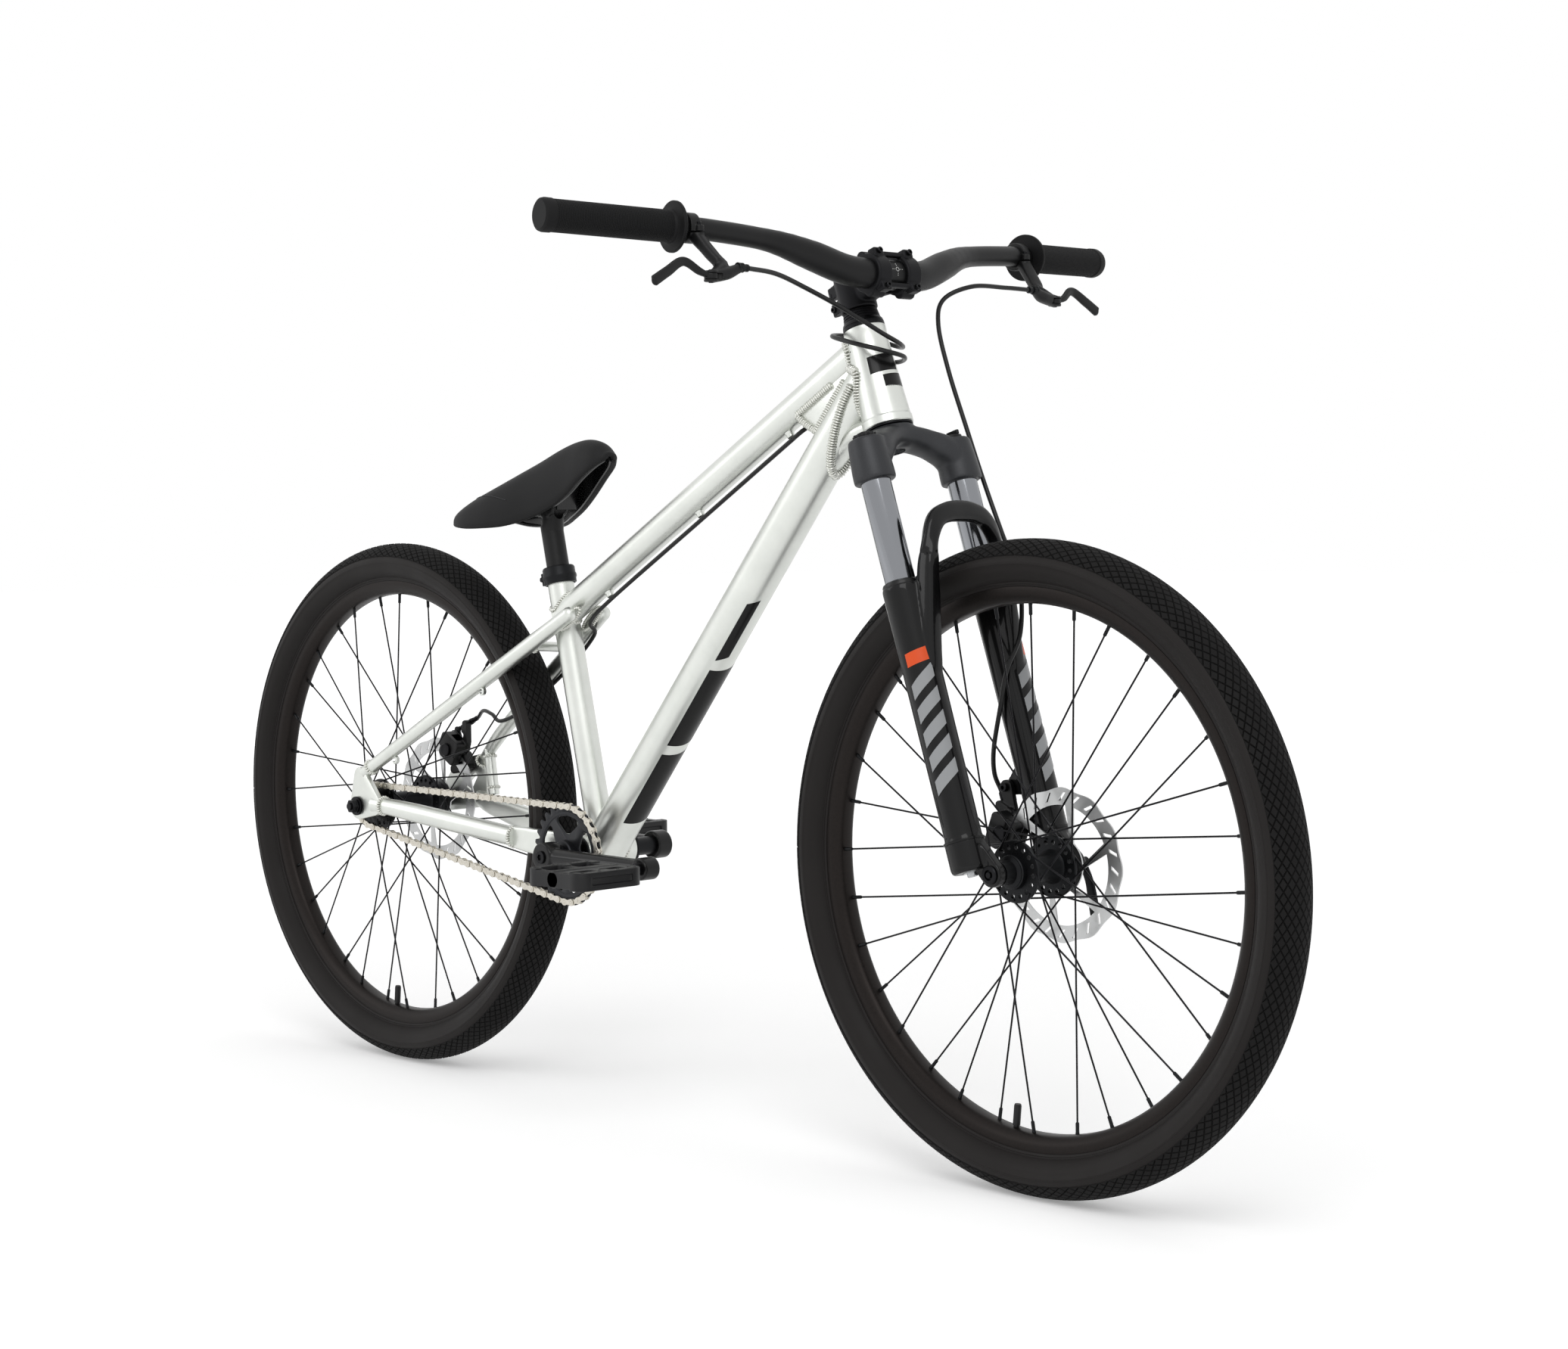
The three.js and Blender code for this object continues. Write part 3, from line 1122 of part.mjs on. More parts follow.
function makeBrakes() {
  const [x, z] = caliperCentre(frontCaliper);
  const legRoom = moved(legBody(2 * gap), point(fork.legForward - axleBoss.x, fork.legSpread, -axleBoss.z));
  const frontBracket = sidePlate(wrapped([
    [brakeTab.circles[1][0] - axleBoss.x, brakeTab.circles[1][1], caliperArm.hubRadius],
    [x, z + caliper.halfOut, caliper.corner],
  ]), brakeTab.inner - gap - caliper.corner, brakeTab.inner - gap);
  const front = largest(cut(caliperBody(frontCaliper, frontRotorY, frontBracket), [legRoom]));
  named(forkGroup, 'front_caliper', moved(front, axleBoss), colours.blackAnodised);
  named(forkGroup, 'front_caliper_arm', moved(caliperArmBody(frontCaliper), axleBoss), colours.blackAnodised);
  const rearBracket = sidePlate(
    wrapped([[31, 40, caliper.corner], [57, 46, caliper.corner], [50, 58, caliper.corner]]),
    rearRotorY + caliper.slotHalf, stay.plateInner - gap,
  );
  const rear = caliperBody(rearCaliper, rearRotorY, rearBracket);
  named(frameGroup, 'rear_caliper', moved(rear, rearAxle), colours.blackAnodised);
  named(frameGroup, 'rear_caliper_arm', moved(caliperArmBody(rearCaliper), rearAxle), colours.blackAnodised);
}

// Drivetrain
const pitch = 12.7;
const ringTeeth = 28;
const cogTeeth = 13;
const rollerRadius = 3.6;
const chainY = -55;
const plateThickness = 2.4;
const link = { inside: 1.6, outside: 3.4, bulge: 4.2, waist: 3, roller: 2.1 };
const tooth = { rootHalf: 4.9, rootOut: 4, tipHalf: 2.9, tipDrop: 4.1 };
const ring = { windows: 5, outer: 46, outerHalf: 25, inner: 24, innerHalf: 12, turn: 20, hubRadius: 17, hubIn: 9, hubOut: 3 };
const cog = { bossRadius: 14, bossOuter: 12, bossInner: 7 };

function pitchRadius(teeth) {
  return (pitch * half) / Math.sin(Math.PI / teeth);
}

function toothOutline(teeth, startAngle) {
  const middle = pitchRadius(teeth);
  const marks = [
    [-tooth.rootHalf, tooth.rootOut], [-tooth.tipHalf, -tooth.tipDrop],
    [tooth.tipHalf, -tooth.tipDrop], [tooth.rootHalf, tooth.rootOut],
  ];
  const outline = [];
  for (let k = 0; k < teeth; k += 1) {
    const angle = startAngle + (k / teeth) * Math.PI * 2;
    marks.forEach(([across, out]) => {
      const radius = middle + out;
      outline.push([
        Math.cos(angle) * radius - Math.sin(angle) * across,
        Math.sin(angle) * radius + Math.cos(angle) * across,
      ]);
    });
  }
  return outline;
}

const chainSlope = Math.atan2(bottomBracket.z - rearAxle.z, bottomBracket.x - rearAxle.x);

function sprocket(outline, holes) {
  return sidePlate(outline, chainY - plateThickness * half, chainY + plateThickness * half, holes);
}

function makeRing() {
  const windows = [];
  for (let k = 0; k < ring.windows; k += 1) {
    const middle = (360 / ring.windows) * k + ring.turn;
    windows.push([
      ...arc(0, 0, ring.outer, middle - ring.outerHalf, middle + ring.outerHalf, 5),
      ...arc(0, 0, ring.inner, middle + ring.innerHalf, middle - ring.innerHalf, 2),
    ].reverse());
  }
  const centre = circle(0, 0, spindleRadius + gap, fine).reverse();
  const plate = sprocket(toothOutline(ringTeeth, chainSlope), [centre, ...windows]);
  const profile = ringProfile(spindleRadius + gap, ring.hubRadius, chainY - ring.hubIn, chainY + ring.hubOut);
  named(crankGroup, 'chainring', unite([plate, turnedY(profile, fine)]), colours.darkGrey);
}

function makeCog() {
  const centre = circle(0, 0, axleRadius + beyond, round).reverse();
  const plate = sprocket(toothOutline(cogTeeth, chainSlope + Math.PI), [centre]);
  const bore = boreRadius(axleRadius, fine);
  const boss = turnedY(ringProfile(bore, cog.bossRadius, chainY - cog.bossOuter, chainY + cog.bossInner), fine);
  named(rearWheelGroup, 'rear_cog', unite([plate, boss]), colours.blackAnodised);
}

// Pin places in order round both sprockets
function chainPins() {
  const centreRing = [bottomBracket.x, bottomBracket.z];
  const centreCog = [rearAxle.x, rearAxle.z];
  const wrap = (centre, teeth, start, reach) => {
    const radius = pitchRadius(teeth);
    const pins = [];
    for (let k = -reach; k <= reach; k += 1) {
      const angle = start + (k / teeth) * Math.PI * 2;
      pins.push([centre[0] + Math.cos(angle) * radius, centre[1] + Math.sin(angle) * radius]);
    }
    return pins;
  };
  const ringPins = wrap(centreRing, ringTeeth, chainSlope, Math.floor(ringTeeth / 4));
  const cogPins = wrap(centreCog, cogTeeth, chainSlope + Math.PI, Math.floor(cogTeeth / 4));
  const run = (from, to) => {
    const links = Math.round(Math.hypot(to[0] - from[0], to[1] - from[1]) / pitch);
    const between = [];
    for (let k = 1; k < links; k += 1) {
      between.push([blend(from[0], to[0], k / links), blend(from[1], to[1], k / links)]);
    }
    return between;
  };
  return [
    ...ringPins,
    ...run(ringPins[ringPins.length - 1], cogPins[0]),
    ...cogPins,
    ...run(cogPins[cogPins.length - 1], ringPins[0]),
  ];
}

// One edge of a row of link plates: a bulge at every pin and, on the outer edge, a waist between pins
function plateLine(pins, side, waisted) {
  const outline = [];
  const offset = ([x, z], from, to, out) => {
    const length = Math.hypot(to[0] - from[0], to[1] - from[1]);
    const reach = (side * out) / length;
    return [x + (to[1] - from[1]) * reach, z - (to[0] - from[0]) * reach];
  };
  pins.forEach((pin, k) => {
    const next = pins[(k + 1) % pins.length];
    const before = pins[(k + pins.length - 1) % pins.length];
    outline.push(offset(pin, before, next, link.bulge));
    const middle = [blend(pin[0], next[0], half), blend(pin[1], next[1], half)];
    if (waisted) outline.push(offset(middle, pin, next, link.waist));
  });
  return outline;
}

function makeChain() {
  const pins = chainPins();
  const outer = plateLine(pins, 1, true);
  const inner = plateLine(pins, -1, false).reverse();
  const pieces = [
    sidePlate(outer, chainY + link.inside, chainY + link.outside, [inner]),
    sidePlate(outer, chainY - link.outside, chainY - link.inside, [inner]),
  ];
  pins.forEach(([x, z]) => {
    pieces.push(lyingRod(rollerRadius, point(x, 0, z), chainY - link.roller, chainY + link.roller, 4));
  });
  named(frameGroup, 'chain', unite(pieces), colours.nickel);
}

const crank = {
  length: 175, y: 84, armRadius: 10.5, armTaper: 0.8, bossRadius: 17, tipRadius: 13, halfWidth: 11, boltRadius: 6,
  boltWidth: 7, keyRoom: 5.5, spindlePast: 26,
};
const pedal = {
  length: 96, width: 92, thickness: 20, spindle: 5, room: 31, corner: 14, windowHalfX: 11, windowHalfY: 15,
  windowCorner: 4, windowX: 25.5, windowY: 20.5, notch: [5, 60, 8], scoopLength: 58, scoop: 1.5, barrelRadius: 9.5,
};
const crankInner = crank.y - crank.halfWidth;
const crankOuter = crank.y + crank.halfWidth;

function crankArm(side) {
  const reach = -side * crank.length;
  const y = side * crank.y;
  const arm = rod(point(0, y, 0), point(reach, y, 0), crank.armRadius, crank.armRadius - crank.armTaper, plain);
  const low = Math.min(side * crankInner, side * crankOuter);
  const high = Math.max(side * crankInner, side * crankOuter);
  const boss = turnedY(rodProfile(crank.bossRadius, low, high), fine);
  const tip = turnedY(rodProfile(crank.tipRadius, low, high), round).translate(reach, 0, 0);
  const spindleEnd = crankOuter + pedal.width + crank.spindlePast;
  const spindle = turnedY(rodProfile(pedal.spindle, crankOuter - 1, spindleEnd), plain);
  const placed = side > 0 ? spindle : mirrored(spindle);
  return unite([arm, boss, tip, placed.translate(reach, 0, 0)]);
}

function makeCranks() {
  const bolt = turnedY(rodProfile(crank.boltRadius, -crankOuter - 1, crank.boltWidth - crankOuter - 1), small);
  const keyFace = crank.keyRoom - crankOuter;
  const hole = turnedY(rodProfile(spindleRadius + gap, keyFace - gap, beyond - crankInner), fine);
  const right = unite([cut(crankArm(-1), [hole]), bolt]);
  named(crankGroup, 'crank_right', right, colours.blackPaint);
  const spindle = turnedY(rodProfile(spindleRadius, keyFace + 2 * gap, crankOuter - crank.boltRadius), fine);
  named(crankGroup, 'crank_left', unite([crankArm(1), spindle]), colours.blackPaint);
}

function makePedal(name, side) {
  const halfLength = pedal.length * half;
  const halfWidth = pedal.width * half;
  const outline = roundedBox(halfLength, halfWidth, pedal.corner, 2);
  const body = flatPlate(outline, -pedal.thickness * half, pedal.thickness * half);
  const hole = roundedBox(pedal.windowHalfX, pedal.windowHalfY, pedal.windowCorner, 1);
  const window = flatPlate(hole, -pedal.thickness, pedal.thickness);
  const tools = [];
  [-1, 1].forEach((sign) => {
    [-1, 1].forEach((outside) => {
      tools.push(moved(window, point(sign * pedal.windowX, outside * pedal.windowY, 0)));
    });
    tools.push(block(...pedal.notch, point(sign * halfLength, 0, 0)));
    tools.push(block(pedal.scoopLength, 2 * pedal.width, 2 * pedal.scoop, point(0, 0, sign * pedal.thickness * half)));
  });
  const barrel = turnedY(rodProfile(pedal.barrelRadius, -halfWidth - beyond, halfWidth), plain);
  const centreY = crankOuter + pedal.room + halfWidth;
  const solid = unite([cut(body, tools), barrel]).translate(0, centreY, 0);
  const boreEnd = crankOuter + pedal.width + crank.spindlePast + 2;
  const bore = turnedY(rodProfile(boreRadius(pedal.spindle, plain), 0, boreEnd), plain);
  const whole = cut(solid, [bore]);
  const placed = side > 0 ? whole : mirrored(whole);
  named(crankGroup, name, placed.translate(-side * crank.length, 0, 0), colours.plastic);
}

// Stem, bar, grips and levers
const bar = { clampRadius: 15.9, endRadius: 11.1, straight: 33, gripRoom: 40, plugRoom: 8 };
const barCentre = onFork(stem.reach, 0, barUp);
const gripStart = onBar(-40, 261.1, 36.5);
const gripEnd = onBar(-65.8, 415.1, 40.9);
const grip = {
  radius: 16, flange: 26, flangeWidth: 4, root: 1, rootWidth: 3, plainFrom: 14, taper: 0.5, band: 10, bandWidth: 4,
  endRadius: 14, endRoom: 2.4,
};
const gripDirection = gripEnd.clone().sub(gripStart).normalize();
const barHoleRadius = bar.endRadius / Math.cos(Math.PI / plain) + gap;

function onBar(ahead, left, up) {
  return barCentre.clone().add(point(ahead, left, up));
}

function barLine() {
  const leftHalf = [
    onBar(0, bar.straight, 0), onBar(-4.4, 62, 3.6), onBar(-13.4, 100, 16.1), onBar(-25.6, 146.8, 29),
    along(gripStart, gripDirection, -bar.gripRoom), gripStart, along(gripEnd, gripDirection, -bar.plugRoom),
  ];
  return [...leftHalf.map(mirroredPoint).reverse(), barCentre, ...leftHalf];
}

function makeBar() {
  const end = [bar.endRadius, bar.endRadius];
  const middle = [bar.clampRadius, bar.clampRadius];
  const sizes = [end, end, end, end, middle, middle, middle, end, end, end, end];
  named(cockpitGroup, 'handlebar', swept(barLine(), sizes, plain, 22), colours.mattBlack);
}

function makeGrips() {
  const length = gripStart.distanceTo(gripEnd);
  const plug = length - bar.plugRoom + gap;
  const shape = turnedZ([
    [barHoleRadius, 0], [grip.flange, 0], [grip.flange, grip.flangeWidth],
    [grip.radius + grip.root, grip.flangeWidth + grip.rootWidth], [grip.radius, grip.plainFrom],
    [grip.radius - grip.taper, length - grip.band - beyond], [grip.radius + grip.root, length - grip.band],
    [grip.radius + grip.root, length - grip.band + grip.bandWidth], [grip.endRadius, length - grip.endRoom],
    [0, length - grip.endRoom], [0, plug], [barHoleRadius, plug], [barHoleRadius, 0],
  ], round);
  const left = aimed(shape, gripDirection, gripStart);
  named(cockpitGroup, 'grip_left', left, colours.gripRubber);
  named(cockpitGroup, 'grip_right', mirrored(left), colours.gripRubber);
}

// The stem is drawn on the fork's axes; its face plate is the front part of the same two bands.
function makeStem() {
  const clampTube = turnedZ(rodProfile(stem.clampRadius, stem.low, stemHigh), fine);
  const barPlace = point(stem.reach, 0, barUp);
  const barHalf = 2 * bar.straight;
  const barTool = moved(turnedY(rodProfile(boreRadius(bar.clampRadius, fine, gap), -barHalf, barHalf), fine), barPlace);
  const neck = sidePlate(wrapped([
    [stem.lugRadius, stem.low + stem.boltRise, stem.lugRadius * 2.5],
    [stem.reach - bar.plugRoom, barUp, bar.clampRadius + 1],
  ]), -stem.neckHalfWidth, stem.neckHalfWidth);
  const bandOutline = wrapped([
    [0, 0, stem.bandRadius], [-2, stem.boltRise, stem.lugRadius], [-2, -stem.boltRise, stem.lugRadius],
  ]);
  const band = moved(sidePlate(bandOutline, stem.bandInner, bar.straight - 1), barPlace);
  const bands = [band, mirrored(band)];
  const room = 3 * stem.bandRadius;
  const front = block(room, 2 * room, 2 * room, point(stem.reach + stem.splitAhead + room * half, 0, barUp));
  const back = block(room, 2 * room, 2 * room, point(stem.reach + stem.splitAhead + gap - room * half, 0, barUp));
  const rearPlace = point(-stem.rearBack, 0, stem.low + stem.height * half);
  const rear = block(...stem.rear, rearPlace);
  const slit = block(2 * stem.rear[0], stem.slit, 2 * stem.rear[2], point(-stem.rearBack - beyond, 0, rearPlace.z));
  const boltRod = turnedY(rodProfile(stem.headRadius, -stem.rearBoltHalf, stem.rearBoltHalf), small);
  const bolts = stem.rearRises.map((up) => moved(boltRod, point(-stem.rearBack - 1, 0, stem.low + up)));
  const tube = turnedZ(rodProfile(steererRadius + gap, stem.low - beyond, stemHigh + beyond), fine);
  const body = cut(unite([clampTube, neck, rear, ...bands]), [barTool, front, tube, slit]);
  named(forkGroup, 'stem', unite([body, ...bolts]), colours.mattBlack);
  const bridges = [];
  const heads = [];
  [-1, 1].forEach((up) => {
    bridges.push(block(...stem.bridge, point(stem.reach + stem.bridgeAhead, 0, barUp + up * stem.boltRise)));
    [-1, 1].forEach((side) => {
      const head = turnedZ(rodProfile(stem.headRadius, 0, stem.headHeight), small).rotateY(Math.PI * half);
      const place = point(stem.reach + stem.headAhead, side * stem.headSpread, barUp + up * stem.boltRise);
      heads.push(moved(head, place));
    });
  });
  const face = cut(unite([...bands, ...bridges]), [barTool, back]);
  named(forkGroup, 'stem_faceplate', unite([face, ...heads]), colours.mattBlack);
  const cap = turnedZ([
    [0, stemHigh + gap], [topCap.radius - topCap.edge, stemHigh + gap], [topCap.radius, stemHigh + topCap.rise],
    [topCap.topRadius, stemHigh + topCap.height], [0, stemHigh + topCap.height],
  ], fine);
  named(forkGroup, 'steerer_top_cap', cap, colours.mattBlack);
}

// One brake lever on the left, placed from the bar's middle; the right one is its mirror image.
const lever = {
  bandRoom: 16, bandHalf: 6, bandRadius: 15.4, pivot: onBar(8.6, 253, -15.9), barrel: onBar(11.1, 214, -5.6),
  barrelRadius: 4.2, barrelEnd: 3.4, barrelHalf: 6, barrelShift: 2, hubRadius: 7, hubHalf: 2.9, hubShift: 4,
  room: 12, boltRadius: 3, boltLow: onBar(-23.4, 244, 20.1), boltHigh: onBar(-23.4, 244, 39.1),
};
const bandMiddle = along(gripStart, gripDirection, -lever.bandRoom);
const perchLine = [
  bandMiddle.clone().add(point(10, 0, -8)), onBar(-8.4, 240, 7.1), onBar(2.6, 238, -4.9), lever.pivot,
];
const perchSizes = [[7, 7], [7.5, 6.5], [7, 6], [6, 6]];
const bodySizes = [[6, 6], [7, 6], [4.6, 4.6]];
const bladeLine = [
  along(lever.pivot, yAxis, 6), onBar(8.6, 272, -11.9), onBar(4.6, 290, -2.9), onBar(6.6, 312, -13.9),
  onBar(7.6, 331, -24.4),
];
const bladeSizes = [[3.4, 2.6], [3.4, 4.5], [3.2, 5], [3, 5], [3.4, 5.4]];

function makeLevers() {
  const hubMiddle = along(lever.pivot, yAxis, lever.hubShift);
  const stack = (radius, halfHeight, sides) => {
    return rod(along(hubMiddle, zAxis, -halfHeight), along(hubMiddle, zAxis, halfHeight), radius, radius, sides);
  };
  const onBand = (reach) => along(bandMiddle, gripDirection, reach);
  const band = rod(onBand(-lever.bandHalf), onBand(lever.bandHalf), lever.bandRadius, lever.bandRadius, plain);
  const barHole = rod(onBand(-3 * lever.bandHalf), onBand(3 * lever.bandHalf), barHoleRadius, barHoleRadius, plain);
  const arm = swept(perchLine, perchSizes, small, 4);
  const body = swept([
    hubMiddle, onBar(8.6, 236, -11.9), along(lever.barrel, yAxis, lever.barrelHalf),
  ], bodySizes, small, 3);
  const barrelRoot = along(lever.barrel, yAxis, lever.barrelHalf + lever.barrelShift);
  const barrelEnd = along(lever.barrel, yAxis, lever.barrelShift - lever.barrelHalf);
  const barrel = rod(barrelRoot, barrelEnd, lever.barrelRadius, lever.barrelEnd, small);
  const bolt = rod(lever.boltHigh, lever.boltLow, lever.boltRadius, lever.boltRadius, small);
  const room = stack(lever.room, lever.hubHalf + gap, round);
  const perch = largest(cut(unite([band, arm, body, barrel, bolt]), [barHole, room]));
  named(cockpitGroup, 'brake_perch_left', perch, colours.mattBlack);
  named(cockpitGroup, 'brake_perch_right', mirrored(perch), colours.mattBlack);
  const hub = stack(lever.hubRadius, lever.hubHalf, plain);
  const blade = largest(cut(unite([hub, swept(bladeLine, bladeSizes, small, 7)]), [perch]));
  named(cockpitGroup, 'brake_lever_left', blade, colours.mattBlack);
  named(cockpitGroup, 'brake_lever_right', mirrored(blade), colours.mattBlack);
}

// Brake cables: a long loop round the headset lets the bar spin
const cable = { radius: 2.5, step: 15, guideRoom: 0.4 };

function cableUnder(share) {
  const reach = topTube.radius + guide.height + cable.radius + cable.guideRoom;
  return along(guidePlace(share), underTop, reach);
}

function leverExit(side) {
  const end = along(lever.barrel, yAxis, lever.barrelShift - lever.barrelHalf - 2 * gap);
  return side > 0 ? end : mirroredPoint(end);
}

function makeCables() {
  const frontStop = point(...frontCaliper.stop).add(axleBoss);
  const frontLine = [
    leverExit(1), onBar(9, 175, -5), onBar(6, 125, -6), onFork(36, 95, 138), onFork(25, 89, 113),
    onFork(23, 89, 61), onFork(25, 92, -4), onFork(30, 92, -66), onFork(42, 86, -128), onFork(66, 66, -190),
    onFork(60, 55, -244), onFork(40, 43, -278), onFork(20, 41, -313), onFork(-6, 45, -350),
    onFork(-20, 52, -374), onFork(frontStop.x, frontStop.y, frontStop.z + caliperEar.length),
    onFork(frontStop.x, frontStop.y, frontStop.z + gap),
  ];
  named(cockpitGroup, 'front_brake_cable', cord(frontLine, cable.radius, cable.step), colours.plastic);
  const guideStart = cableUnder(guide.shares[2]);
  const loopLine = [
    leverExit(-1), onBar(4, -165, -8), onBar(-1, -120, -19), onBar(3, -70, -38), onFork(44, -25, 92),
    onFork(39, 6, 82), onFork(12, 34, 90), onFork(-22, 27, 114), onFork(-34, 0, 120), onFork(-20, -29, 112),
    onFork(12, -35, 92), onFork(34, -18, 76), onFork(34, 12, 70), onFork(10, 31, 74), onFork(-25, 29, 84),
    onFork(-66, 25, 76), onFork(-108, 16, 56), along(guideStart, topDirection, guide.seatRadius * 3),
    along(guideStart, topDirection, 2 * gap),
  ];
  named(cockpitGroup, 'rear_brake_cable_loop', cord(loopLine, cable.radius, cable.step), colours.plastic);
  const rearStop = rearAxle.clone().add(point(...rearCaliper.stop));
  const wayBack = point(...rearCaliper.stopWay).negate();
  const frameLine = [
    guideStart, cableUnder(guide.shares[1]), cableUnder(guide.shares[0]), point(-168, 8, 572), point(-184, 26, 555),
    point(-258, 38, 507), point(-336, 37, 460), point(-384, 37, 443), point(-410, 43, 450), point(-440, 52, 453),
    along(rearStop, wayBack, caliperEar.length), along(rearStop, wayBack, gap),
  ];
  named(frameGroup, 'rear_brake_cable', cord(frameLine, cable.radius, cable.step), colours.plastic);
}

makeHeadTube();
makeDownTube();
makeTopTube();
makeSeatTube();
makeShell();
makeRightStays();
makeRightChainstay();
makeLeftStays();
makeLeftChainstay();
makeSeatClamp();
makeSeatPost();
makeSaddle();
makeHeadset();
makeCrown();
makeForkUppers();
makeLowers();
makeFrontAxle();
makeAxleLever();
makeFrontWheel();
makeRearWheel();
makeBrakes();
makeRing();
makeCog();
makeChain();
makeCranks();
makePedal('pedal_right', -1);
makePedal('pedal_left', 1);
makeBar();
makeGrips();
makeStem();
makeLevers();
makeCables();

export default bike;
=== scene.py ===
from math import atan2, copysign, cos, pi, radians, sin, sqrt, tau as TAU

import bmesh
import bpy
from mathutils import Matrix, Vector


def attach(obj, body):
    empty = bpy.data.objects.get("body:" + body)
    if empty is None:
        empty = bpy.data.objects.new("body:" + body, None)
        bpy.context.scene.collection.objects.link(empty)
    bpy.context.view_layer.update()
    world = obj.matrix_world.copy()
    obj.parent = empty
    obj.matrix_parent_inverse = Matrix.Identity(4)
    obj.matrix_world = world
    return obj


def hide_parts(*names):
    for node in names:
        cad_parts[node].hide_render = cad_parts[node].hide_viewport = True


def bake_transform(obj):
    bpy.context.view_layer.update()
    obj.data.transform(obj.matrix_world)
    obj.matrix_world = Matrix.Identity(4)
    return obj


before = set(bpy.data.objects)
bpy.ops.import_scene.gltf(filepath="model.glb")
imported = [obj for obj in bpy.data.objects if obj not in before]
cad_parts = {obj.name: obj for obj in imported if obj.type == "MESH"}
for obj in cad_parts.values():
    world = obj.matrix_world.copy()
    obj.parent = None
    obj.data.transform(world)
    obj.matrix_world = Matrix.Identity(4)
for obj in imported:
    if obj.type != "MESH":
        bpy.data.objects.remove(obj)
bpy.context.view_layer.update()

# Dirt jump bike in metres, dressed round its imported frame.
# +X points to the front wheel, +Y to the rider's left, +Z up.

MM = 0.001

# Driving sizes in millimetres, the same as in the solids
WHEELBASE = 1082
TYRE_RADIUS = 334
HEAD_TILT = radians(90 - 71.7)
SEAT_ANGLE = radians(77)
AXLE_TO_CROWN = 489
FORK_OFFSET = 47.8
CHAINSTAY = 402
BOTTOM_BRACKET_DROP = 33


def mm(x, y, z):
    return Vector((x, y, z)) * MM


def tilted(forward, left, up):
    """A direction on the fork's axes, in metres."""
    c, s = cos(HEAD_TILT), sin(HEAD_TILT)
    return mm(forward * c - up * s, left, forward * s + up * c)


FRONT_AXLE = mm(WHEELBASE / 2, 0, TYRE_RADIUS)
REAR_AXLE = mm(-WHEELBASE / 2, 0, TYRE_RADIUS)
BOTTOM_BRACKET = mm(
    -WHEELBASE / 2 + sqrt(CHAINSTAY**2 - BOTTOM_BRACKET_DROP**2), 0, TYRE_RADIUS - BOTTOM_BRACKET_DROP
)
CROWN_RACE = FRONT_AXLE - tilted(FORK_OFFSET, 0, -AXLE_TO_CROWN)
SEAT_DIRECTION = Vector((-cos(SEAT_ANGLE), 0, sin(SEAT_ANGLE)))

# Local Z up the steerer, to the left along an axle, and to the right with local Y up
ON_FORK = Matrix.Translation(CROWN_RACE) @ Matrix.Rotation(-HEAD_TILT, 4, "Y")
ALONG_Y = Matrix.Rotation(-pi / 2, 4, "X")
UPRIGHT = Matrix.Rotation(pi / 2, 4, "X")
MIRROR = Matrix.Scale(-1, 4, (0, 1, 0))
SIDES = ((-1, "right"), (1, "left"))


def on_fork(forward, left, up):
    return CROWN_RACE + tilted(forward, left, up)


def on_seat_tube(distance):
    return BOTTOM_BRACKET + SEAT_DIRECTION * distance * MM


def mirrored(place):
    return Vector((place.x, -place.y, place.z))


def at(place):
    return Matrix.Translation(place)


def aimed(direction, place):
    """Turns local Z to a direction, at a place."""
    return at(place) @ direction.to_track_quat("Z", "Y").to_matrix().to_4x4()


def turn_y(degrees):
    return Matrix.Rotation(radians(degrees), 4, "Y")


def turn_z(degrees):
    return Matrix.Rotation(radians(degrees), 4, "Z")


# Making and shaping


def nothing():
    """Takes the selection off everything."""
    bpy.ops.object.select_all(action="DESELECT")


def alone(piece):
    """Selects one piece and nothing else."""
    nothing()
    piece.select_set(True)
    bpy.context.view_layer.objects.active = piece
    return piece


def made():
    return bpy.context.active_object


def edit(piece):
    alone(piece)
    bpy.ops.object.mode_set(mode="EDIT")
    bpy.ops.mesh.select_all(action="SELECT")


def leave():
    bpy.ops.object.mode_set(mode="OBJECT")


def tidy(piece, merge=0.00001):
    """Merges doubled corners and turns all faces outwards."""
    edit(piece)
    bpy.ops.mesh.remove_doubles(threshold=merge)
    bpy.ops.mesh.normals_make_consistent(inside=False)
    leave()
    return piece


def moved(piece, *places):
    """Puts a piece in place, in its mesh."""
    whole = Matrix.Identity(4)
    for place in places:
        whole = whole @ place
    piece.data.transform(whole)
    if whole.determinant() < 0:
        piece.data.flip_normals()
    piece.data.update()
    return piece


def copy_of(piece, *places):
    again = piece.copy()
    again.data = piece.data.copy()
    bpy.context.scene.collection.objects.link(again)
    return moved(again, *places)


def joined(pieces):
    nothing()
    for piece in pieces:
        piece.select_set(True)
    bpy.context.view_layer.objects.active = pieces[0]
    bpy.ops.object.join()
    return pieces[0]


def with_modifier(piece, kind, **settings):
    alone(piece)
    modifier = piece.modifiers.new(kind.lower(), kind)
    for name, value in settings.items():
        setattr(modifier, name, value)
    bpy.ops.object.modifier_apply(modifier=modifier.name)
    return piece


def cut(piece, cutters):
    cutter = joined(cutters)
    with_modifier(piece, "BOOLEAN", operation="DIFFERENCE", solver="EXACT", object=cutter)
    bpy.data.objects.remove(cutter)
    return piece


def cut_each(piece, cutters):
    """Cuts with one tool after another, for tools that cross each other."""
    for cutter in cutters:
        cut(piece, [cutter])
    return piece


def softened(piece, width, segments=2, angle=30):
    """Small rounds on all sharp edges."""
    return with_modifier(
        piece, "BEVEL", width=width * MM, segments=segments, limit_method="ANGLE",
        angle_limit=radians(angle), harden_normals=False,
    )


